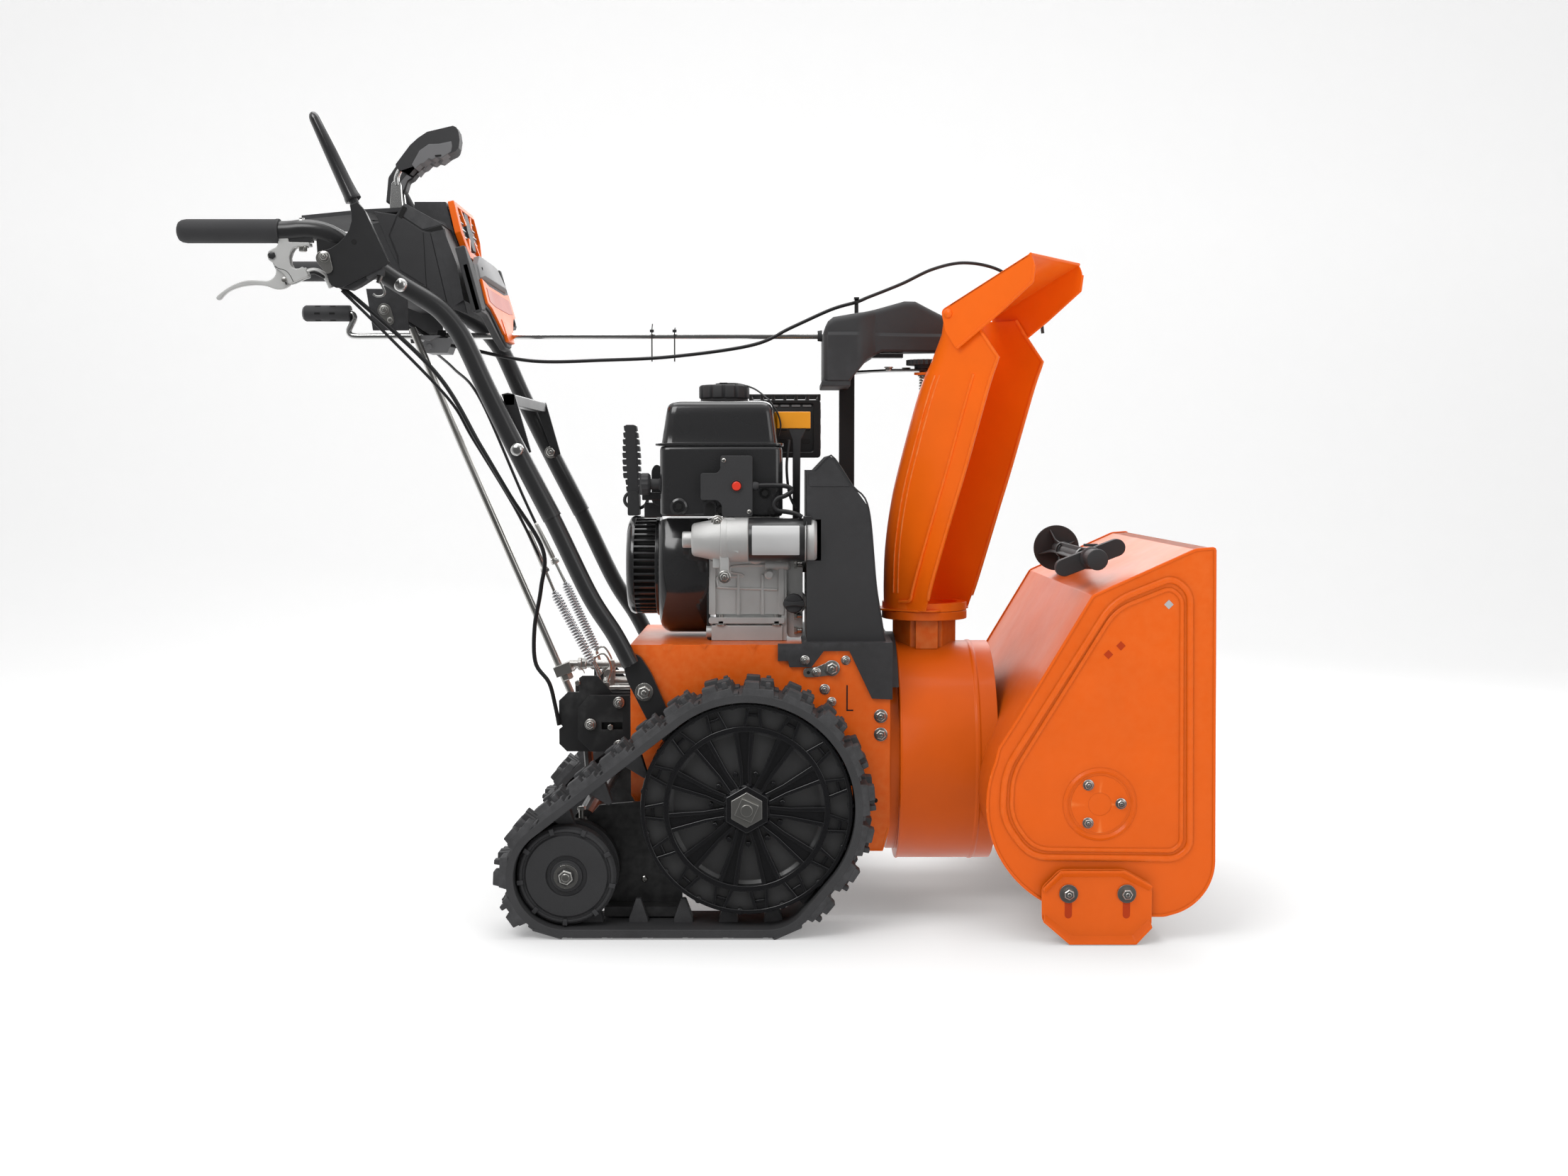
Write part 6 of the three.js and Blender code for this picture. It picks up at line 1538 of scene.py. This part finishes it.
def console():
    """Console with its side panels, creases and lever gates."""
    rework("console", "matte", 1.2, 24)
    panel = Piece("console_side_panels", "chassis", "matte", bevel=1.0, segments=3, angle=18)
    main = [(-503, 1021), (-469, 998.6), (-457.6, 995.6), (-433.5, 889.5), (-465, 920), (-502.6, 943.6),
            (-503.6, 962), (-515, 991)]
    rear = [(-538, 1026.6), (-504.8, 1021.6), (-517, 992), (-505.6, 962), (-504.6, 950), (-513, 966)]
    panel.both(prism(main, -152.4, -149))
    panel.both(prism(rear, -151, -148.6))
    panel.both(hull((-456.8, -152.2, 995.2), (-432.6, -152.2, 889.3), (-438, -146, 1003),
                    (-406.8, -146, 880.6), (-456.8, -140, 995.2), (-432.6, -140, 889.3), (-438, -140, 1003),
                    (-406.8, -140, 880.6)))
    panel.done()
    # the thin line is a dark seam; the two wedges are painted shade in the gaps between the panels
    line = Piece("console_seams", "chassis", "dark", bevel=0)
    line.both(tube([(-467.6, -152.4, 996), (-467, -152.4, 986), (-463.9, -152.4, 918.4)], 0.5, 6))
    line.both(prism([(-503.4, 1019), (-496, 1034), (-491, 1031.6), (-498, 1015.5)], -152.6, -148))
    line.both(prism([(-466, 999.4), (-442, 1006.6), (-438.4, 1001.4), (-456.4, 998)], -150.6, -141))
    line.done()
    facet = Piece("console_top_facet", "chassis", "hump", bevel=1.0, segments=2)
    facet.add(hull((-495, -150, 1038.8), (-438.6, -150, 1008), (-468.2, -151.6, 1000.6),
                   (-502, -151.6, 1022.6), (-495, -80, 1038.8), (-438.6, -80, 1008), (-468.2, -80, 1000.6),
                   (-502, -80, 1022.6)))
    facet.add(hull((-495, 150, 1038.8), (-438.6, 150, 1008), (-468.2, 151.6, 1000.6), (-502, 151.6, 1022.6),
                   (-495, 80, 1038.8), (-438.6, 80, 1008), (-468.2, 80, 1000.6), (-502, 80, 1022.6)))
    facet.done()
    hump = Piece("console_hump", "chassis", "hump", bevel=3, segments=4, angle=20)
    hump.add(hull(*wide([(-499.3, 1036), (-489, 1051), (-482, 1052.8), (-452.6, 1051)], 66),
                  *wide([(-444, 1004), (-424, 962), (-440, 958)], 80),
                  *wide([(-500, 1030), (-446, 1012)], 81)))
    hump.done()
    # the lever gates are near-black strips: painted shade in the slots
    slots = Piece("lever_gates", "chassis", "dark", bevel=0.4)
    for y in (-45, 12):
        for a, b in ((-9.2, -6.4), (6.4, 9.2)):
            slots.add(prism([(-560, 1034), (-490, 1034), (-490, 1036.4), (-560, 1036.4)], y + a, y + b))
    slots.done()
    metal = Piece("console_plates", "chassis", "zinc", bevel=0.4)
    metal.both(teardrop(-529.7, 887.2, -522.6, 872.2, -132.2, 9.6, 7),
               *bolt((-529.7, -133.8, 887.2), "-y", 9), dome((-521.5, -133.8, 873), "-y", 4.2, 1.8))
    metal.done()
    block = Piece("console_underblock", "chassis", "greyplastic", bevel=1.0)
    block.add(hull(*[(x, y, z) for x, z in ((-490.5, 855), (-449.9, 855), (-458.9, 832.2), (-490.8, 832.2),
                                            (-499.4, 843.7)) for y in (-26, 20)]))
    block.add(box(-492, -478, 8, 22, 838, 846), hexagon((-486, -26, 842), "-y", 8, 3.5))
    hollow = ((-512, 858), (-468, 858), (-484, 850), (-512, 854))
    block.add(hull(*[(x, y, z) for x, z in hollow for y in (-40, 40)]))
    block.done()


def headlight():
    """Headlight: orange bezel round a ribbed lens."""
    def at(shape):
        return on_slope(shape, *HEADLIGHT)

    outer = [(-80, 2), (80, 2), (84, -46), (54, -82), (-54, -82), (-84, -46)]
    inner = [(-70, -7), (70, -7), (73, -43), (48, -72), (-48, -72), (-73, -43)]
    bezel = Piece("headlight_bezel", "chassis", "orangeplastic", bevel=1.2, segments=3, angle=24,
                  stands_for=("headlight",))
    rings = [[(x, y, z) for y, z in outline] for x, outline in ((-8, outer), (1.5, outer), (3.5, inner),
                                                                (-3, inner))]
    bezel.add(at(loft(rings, closed=True)))
    for side in (-1, 1):
        bezel.add(at(hull(*[(x, side * y, z) for y, z in ((34, -7), (46, -7), (26, -30),
                                                          (16, -27)) for x in (-3, 3)])))
        bezel.add(at(hull(*[(x, side * y, z) for y, z in ((16, -50), (27, -48), (50, -72),
                                                          (40, -72)) for x in (-3, 3)])))
    bezel.done()
    lens = Piece("headlight_lens", "chassis", "lens", bevel=0.6)
    lens.add(at(prism([(y * 0.99, z) for y, z in inner], -4, -1.6, "yz")))
    for k in range(5):
        z = -16 - 11 * k
        w = 66 - max(0, k - 2) * 8
        lens.add(at(box(-2, 0.6, -w, w, z - 1.1, z + 1.1)))
    lens.done()
    dark = Piece("headlight_surround", "chassis", "hump", bevel=1.0)
    dark.add(at(prism([(-16, -7), (16, -7), (22, -38), (13, -66), (-13, -66), (-22, -38)], -3, 2.6, "yz")))
    dark.done()


def front_panel():
    """Leaning front panel with its shelf and an empty badge."""
    def at(shape):
        return on_slope(shape, *FRONT_PANEL)

    outline = [(-165, 5), (165, 5), (165, -68), (118, -70), (60, -100), (20, -113), (-20, -113), (-60, -100),
               (-118, -70), (-165, -68)]
    panel = Piece("front_panel_base", "chassis", "matte", bevel=2.2, segments=3, stands_for=("front_panel",))
    panel.add(at(prism(outline, -11, -1, "yz")))
    panel.both(at(hull(*[(x, y, z) for y, z in ((-165, 30), (-150, 30), (-165, -66),
                                                (-140, -66)) for x in (-14, 0)], (3, -142, 4),
                       (3, -138, -60))))
    panel.done()
    face = Piece("front_panel_face", "chassis", "hump", bevel=1.6, segments=3)
    face.add(at(prism([(-138, 6), (138, 6), (142, -18), (132, -58), (100, -64), (50, -97), (18, -110),
                       (-18, -110), (-50, -97), (-100, -64), (-132, -58), (-142, -18)], -3, 2.4, "yz")))
    face.done()
    grey = Piece("front_panel_shelf", "chassis", "greyplastic", bevel=1.2, segments=3)
    grey.add(at(hull(*[(x, y, z) for y, z in ((-62, 26), (62, 26), (104, 8), (116, -14), (-116, -14),
                                              (-104, 8)) for x in (-6, 3.4)], (9, -98, -10), (9, 98, -10),
                     (8, -60, 18), (8, 60, 18))))
    grey.done()
    badge = Piece("front_badge", "chassis", "orangeplastic", bevel=1.4, segments=3)
    badge.add(at(prism([(-124, -16), (-70, -22), (70, -22), (124, -16), (130, -54), (98, -60), (60, -82),
                        (42, -94), (-42, -94), (-60, -82), (-98, -60), (-130, -54)], 2, 6.4, "yz")))
    badge.add(at(prism([(-40, -70), (40, -70), (30, -104), (-30, -104)], 2, 7.6, "yz")))
    badge.done()
    # the darker orange inset stands for the shade in the badge's recess: painted shade
    inset = Piece("front_badge_inset", "chassis", "amberdark", bevel=0.6)
    inset.add(at(prism([(-104, -28), (104, -28), (108, -50), (62, -54), (-62, -54), (-108, -50)], 6.0, 7.0,
                       "yz")))
    inset.done()
    # the holes in the shelf are near-black discs: painted shade
    hole = Piece("shelf_hole", "chassis", "dark", bevel=0)
    hole.both(at(lathe([(5, 0), (5, 1), (1, 1)], (6.2, -92, -1), "x", 20)))
    hole.done()


# ---------------------------------------------------------------- rods, springs and cables


def chute_rod():
    """Cranked rod that turns the chute, its roller and the cable ties."""
    z = ROD_Z + 34.7
    path = smooth([(-682, ROD_Y, z), (-650, ROD_Y, z), (-622, ROD_Y, z), (-615, ROD_Y, z - 1.5),
                   (-613.6, ROD_Y, z - 8), (-618, ROD_Y, z - 18), (-622, ROD_Y, ROD_Z + 8),
                   (-620, ROD_Y, ROD_Z + 2.4), (-612, ROD_Y, ROD_Z), (-580, ROD_Y, ROD_Z)], 70)
    crank = Piece("crank_rod_bar", "crank_rod", "bright", bevel=0, angle=50, stands_for=("chute_crank",))
    crank.add(tube(path + [Vector((x, ROD_Y, ROD_Z)) for x in range(-520, 190, 60)], ROD_R, 24))
    crank.done()
    roller = Piece("crank_roller_sleeve", "crank_handle", "matte", bevel=0, angle=40,
                   stands_for=("crank_roller",))
    roller.add(lathe([(8, 690.2), (11.4, 689.4), (12.5, 687), (12.5, 620.4), (11.8, 618.6), (5.6, 618)],
                     (0, ROD_Y, z), "-x", 48))
    roller.done()
    # the slots in the roller sleeve are near-black sheets: painted shade
    holes = Piece("crank_roller_slots", "crank_handle", "dark", bevel=0)
    for k in range(6):
        for x in (-672, -649):
            holes.add(spin(box(x, x + 8.6, ROD_Y - 12.75, ROD_Y - 11.9, z - 1.5, z + 1.5), (0, ROD_Y, z), "x",
                           60 * k + 5))
    holes.done()
    cap = Piece("crank_roller_cap", "crank_handle", "greyplastic", bevel=0)
    cap.add(lathe([(10.4, 689.6), (9.6, 691.6), (7, 692.6), (2, 693)], (0, ROD_Y, z), "-x", 36))
    cap.done()
    ties = Piece("cable_ties", "chassis", "cable", bevel=0)
    for x, low, tail in ((-152, 822, 18), (-117, 822, 12)):
        ties.add(tube([(x, ROD_Y - 9, ROD_Z + 7), (x, ROD_Y - 9, low)], 1.1, 6),
                 box(x - 3, x + 3, ROD_Y - 11, ROD_Y - 7, ROD_Z + 5, ROD_Z + 9))
        ties.add(tube([(x, ROD_Y - 9, ROD_Z + 8), (x + 1, ROD_Y - 9, ROD_Z + tail)], 0.8, 6))
    ties.done()
    eye = Piece("rod_guide", "chassis", "matte", bevel=0.8)
    eye.add(lathe([(ROD_R + 0.5, -6), (9, -6), (9, 6), (ROD_R + 0.5, 6)], (-478, ROD_Y, ROD_Z), "x", 28,
                  closed=True))
    eye.done()


CLEVIS = (-284, -45, 352)


def shift_linkage():
    """Shift rod from the console to its clevis at the frame."""
    rodp = Piece("shift_rod_bar", "chassis", "zinc", bevel=0, angle=50, stands_for=("shift_rod",))
    rodp.add(tube([(-508, -45, 868), (-434.4, -45, 689.7), (-265.6, -45, 297)], 5.5, 28))
    rodp.done()
    parts = Piece("shift_clevis", "chassis", "zinc", bevel=0.8, segments=2)
    parts.add(spin(shifted(box(-13, 13, -14, 14, -8, 8), -284, -45, 352), CLEVIS, "y", -21.8))
    parts.add(spin(hexagon((-284, -45, 343), "-z", 17, 9, 12), CLEVIS, "y", -21.8))
    parts.add(rod((-275, -45, 360), "x", 6, 97, 32), rod((-215, -45, 334), "x", 6, 37, 32))
    parts.add(prism(rounded([(-213, 328), (-206, 328), (-206, 366), (-213, 366)], 2, 3), -52, -38))
    parts.add(lathe([(9, 0), (10, 1), (10, 5), (9, 6)], (-262, -45, 360), "x", 32),
              hexagon((-256, -45, 360), "x", 15, 7))
    parts.add(tube(smooth([(-250, -57, 360), (-249, -50, 366), (-252, -40, 367), (-249, -32, 361),
                           (-250, -30, 354)], 20), 1.1, 8))
    parts.add(tube(smooth([(-268, -57, 350), (-262, -60, 356), (-254, -57, 352), (-252, -50, 346)], 16), 1.1,
                   8))
    parts.done()


def clutch_link(side, cable, s0, s1, hook_end, node):
    sheath = Piece("clutch_cable_" + side, "chassis", "cable", bevel=0, angle=60, stands_for=(node,))
    path = smooth(cable, 60)
    sheath.add(tube(path, 2.2, 14))
    sheath.done()
    a, b = Vector(s0), Vector(s1)
    along = (b - a).normalized()
    back = (Vector(cable[-1]) - Vector(cable[-2])).normalized()
    fittings = Piece("clutch_adjuster_" + side, "chassis", "zinc", bevel=0, angle=40)
    fittings.add(tube([a - back * 100, a - back * 97, a - back * 42, a - back * 40], [2.4, 4, 4, 3], 20))
    fittings.add(hexagon(a - back * 36, back, 11, 5), tube([a - back * 42, a + along * 4], 2.3, 14))
    fittings.add(lathe([(5.6, 0), (5.6, 2)], a - back * 38.5, back, 20))
    fittings.done()
    coil = Piece("clutch_spring_" + side, "chassis", "steel", bevel=0, angle=60)
    turns = 27
    steps = turns * 14
    u, w = frame_at(along, Vector((0, 1, 0)))
    pts = []
    for i in range(steps + 1):
        t = i / steps
        r = 6.4 * min(1, 0.35 + t * 9, 0.35 + (1 - t) * 14)
        angle = 2 * math.pi * turns * t
        pts.append(a.lerp(b, t) + u * (r * math.cos(angle)) + w * (r * math.sin(angle)))
    coil.add(tube(pts, 1.15, 6))
    coil.add(tube(smooth([b - along * 2, b + along * 6, Vector(hook_end).lerp(b, 0.35), Vector(hook_end),
                          Vector(hook_end) + Vector((6, 0, 3))], 18), 1.3, 8))
    coil.done()


def cables():
    """Clutch cables, track height cable and deflector cable."""
    right = [(-562, -249, 904), (-512, -232, 852), (-425, -206, 757), (-392, -196, 700), (-340, -150, 600),
             (-309, -108, 522), (-290.6, -95, 472)]
    left = [(-562, 249, 904), (-530, 190, 858), (-470, 80, 815), (-410, -25, 762), (-340, -25, 600),
            (-282, -25, 480)]
    clutch_link("right", right, (-292, -95, 475), (-233.7, -95, 365.7), (-218, -95, 330), "clutch_link_right")
    clutch_link("left", left, (-284, -25, 484), (-236.4, -25, 379.4), (-224, -25, 345), "clutch_link_left")
    arms = Piece("clutch_arms", "chassis", "zinc", bevel=0.6)
    for x, y, z in ((-214, -95, 330), (-220, -25, 345)):
        arms.add(prism(rounded([(x - 5, z - 22), (x + 3, z - 24), (x + 5, z + 8), (x - 5, z + 8)], 3, 3),
                       y - 3, y + 3))
        arms.add(rod((x, y, z), "x", 3, 40), lathe([(6, 0), (6.4, 1), (6.4, 6), (6, 7)], (x + 12, y, z - 14),
                                                   "x", 24))
    arms.add(*bolt((-214, -78, 338), "-x", 10), *bolt((-214, -60, 318), "-x", 10))
    arms.done()
    height = [(-606, -247, 929), (-592, -246, 926), (-544.5, -235, 893), (-438, -215, 790), (-380, -205, 690),
              (-345, -170, 620), (-303, -130, 539), (-306.6, -125, 481), (-317, -122, 423),
              (-316.5, -120, 370), (-297, -118, 340), (-289, -112, 305), (-284, -108, 275)]
    black = Piece("height_cable_sheath", "chassis", "cable", bevel=0, angle=60, stands_for=("height_cable",))
    black.add(tube(smooth(height, 120), 3.1, 16))
    black.done()
    aim = [(-520, -20, 878), (-472.6, -20, 850), (-425, -20, 838), (-331, -10, 821), (-224, 0, 823),
           (-117, 6, 829), (4, 12, 847), (64, 14, 874), (125, 22, 902), (164, 30, 914), (180, 35, 921)]
    steer = Piece("deflector_cable_sheath", "chassis", "cable", bevel=0, angle=60,
                  stands_for=("deflector_cable",))
    steer.add(tube(smooth(aim, 120), 2.7, 16))
    steer.done()
    tail = Piece("deflector_cable_tail", "chassis", "cable", bevel=0, angle=60)
    tail.add(tube(smooth([(176, 33.6, 919.4), (180, 35, 921), (235, 50, 944), (285, 60, 968), (336, 80, 980),
                          (390, 98, 972), (430, 108, 945), (458, 110, 912), (464, 105, 872)], 90), 2.6, 16))
    o = tail.mesh()
    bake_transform(o)


gear_cover()
clean_out_tool()
handlebars()
for lever_side in ("right", "left"):
    clutch_lever(lever_side)
trigger()
hand_lever("speed", "speed_selector", "speed_lever", -45, 0, False)
hand_lever("aim", "deflector_selector", "deflector_lever", 12, -3.4, True)
console()
headlight()
front_panel()
chute_rod()
shift_linkage()
cables()

# ---------------------------------------------------------------- stage, light and camera (metres)

FLOOR_FRONT, FLOOR_HALF, FLOOR_GAP = -6.0, 8, 0.0005
BEND_START, BEND_R, WALL_TOP = 2.6, 1.6, 6.0
CAMERA = (0.052, -2.690, 0.657)      # from the drawing origin
CAMERA_TILT = 86.08
LENS, SENSOR = 40, 36


def stage():
    """A white floor that bends up into a back wall."""
    bm = bmesh.new()
    rows = [(FLOOR_FRONT, 0.0), (BEND_START, 0.0)]
    for k in range(1, 11):
        a = math.radians(9 * k)
        rows.append((BEND_START + BEND_R * math.sin(a), BEND_R - BEND_R * math.cos(a)))
    rows.append((BEND_START + BEND_R, WALL_TOP))
    grid = [[bm.verts.new((x, y, z - FLOOR_GAP)) for x in (-FLOOR_HALF, FLOOR_HALF)] for y, z in rows]
    for a, b in zip(grid, grid[1:]):
        bm.faces.new((a[0], a[1], b[1], b[0]))
    me = bpy.data.meshes.new("floor")
    bm.to_mesh(me)
    bm.free()
    me.shade_smooth()
    floor = bpy.data.objects.new("floor", me)
    bpy.context.scene.collection.objects.link(floor)
    floor.visible_glossy = False
    white = material("floor_white", (0.93, 0.93, 0.93), 0.95, grain=0.02, tone=0.005)
    shader = white.node_tree.nodes["Principled BSDF"]
    shader.inputs["Specular IOR Level"].default_value = 0.05
    shader.inputs["Emission Color"].default_value = (1, 1, 1, 1)
    shader.inputs["Emission Strength"].default_value = 0.20
    me.materials.append(white)


def light(name, place, target, size, power):
    data = bpy.data.lights.new(name, "AREA")
    data.shape = "RECTANGLE"
    data.size, data.size_y, data.energy = size[0], size[1], power
    o = bpy.data.objects.new(name, data)
    o.location = place
    o.rotation_euler = (Vector(target) - Vector(place)).to_track_quat("-Z", "Y").to_euler()
    bpy.context.scene.collection.objects.link(o)


def studio():
    """World, area lights, colour settings and camera."""
    scene = bpy.context.scene
    world = bpy.data.worlds.new("studio")
    scene.world = world
    world.use_nodes = True
    nodes, links = world.node_tree.nodes, world.node_tree.links
    background = nodes["Background"]
    place, split, rays = (nodes.new("ShaderNode" + kind) for kind in ("TexCoord", "SeparateXYZ", "LightPath"))
    links.new(place.outputs["Generated"], split.inputs[0])

    def ranged(value, a, b, low, high):
        node = nodes.new("ShaderNodeMapRange")
        node.interpolation_type = "SMOOTHSTEP"
        for key, number in (("From Min", a), ("From Max", b), ("To Min", low), ("To Max", high)):
            node.inputs[key].default_value = number
        links.new(value, node.inputs["Value"])
        return node.outputs["Result"]

    def joined(operation, a, b):
        node = nodes.new("ShaderNodeMath")
        node.operation = operation
        for k, value in enumerate((a, b)):
            if isinstance(value, float):
                node.inputs[k].default_value = value
            else:
                links.new(value, node.inputs[k])
        return node.outputs[0]

    # shiny things see a dark room on the camera's side and white walls behind and above
    walls = joined("MAXIMUM", ranged(split.outputs["Y"], -0.75, 0.2, 0.09, 0.9),
                   ranged(split.outputs["Z"], 0.35, 0.9, 0.05, 0.8))
    lit = joined("ADD", joined("MULTIPLY", walls, rays.outputs["Is Glossy Ray"]),
                 joined("MULTIPLY", joined("SUBTRACT", 1.0, rays.outputs["Is Glossy Ray"]), 0.5))
    links.new(joined("MAXIMUM", lit, rays.outputs["Is Camera Ray"]), background.inputs["Strength"])
    background.inputs["Color"].default_value = (1, 1, 1, 1)
    light("key", (-1.6, -2.6, 3.2), (0, 0, 0.5), (2.2, 1.6), 50)
    light("fill", (2.6, -2.8, 1.6), (0.1, 0, 0.4), (1.6, 2.4), 16)
    light("top", (0.1, 0.3, 3.6), (0.1, 0, 0.4), (3.0, 2.2), 46)
    light("back", (0.5, 2.4, 1.8), (0, 0, 0.6), (2.6, 1.4), 26)
    scene.view_settings.view_transform = "Standard"
    scene.view_settings.look = "None"
    data = bpy.data.cameras.new("camera")
    data.lens, data.sensor_width, data.sensor_fit = LENS, SENSOR, "HORIZONTAL"
    camera = bpy.data.objects.new("camera", data)
    camera.location = (CAMERA[0] + ORIGIN.x * MM, CAMERA[1], CAMERA[2] + ORIGIN.z * MM)
    camera.rotation_euler = (math.radians(CAMERA_TILT), 0, 0)
    scene.collection.objects.link(camera)
    scene.camera = camera


stage()
studio()
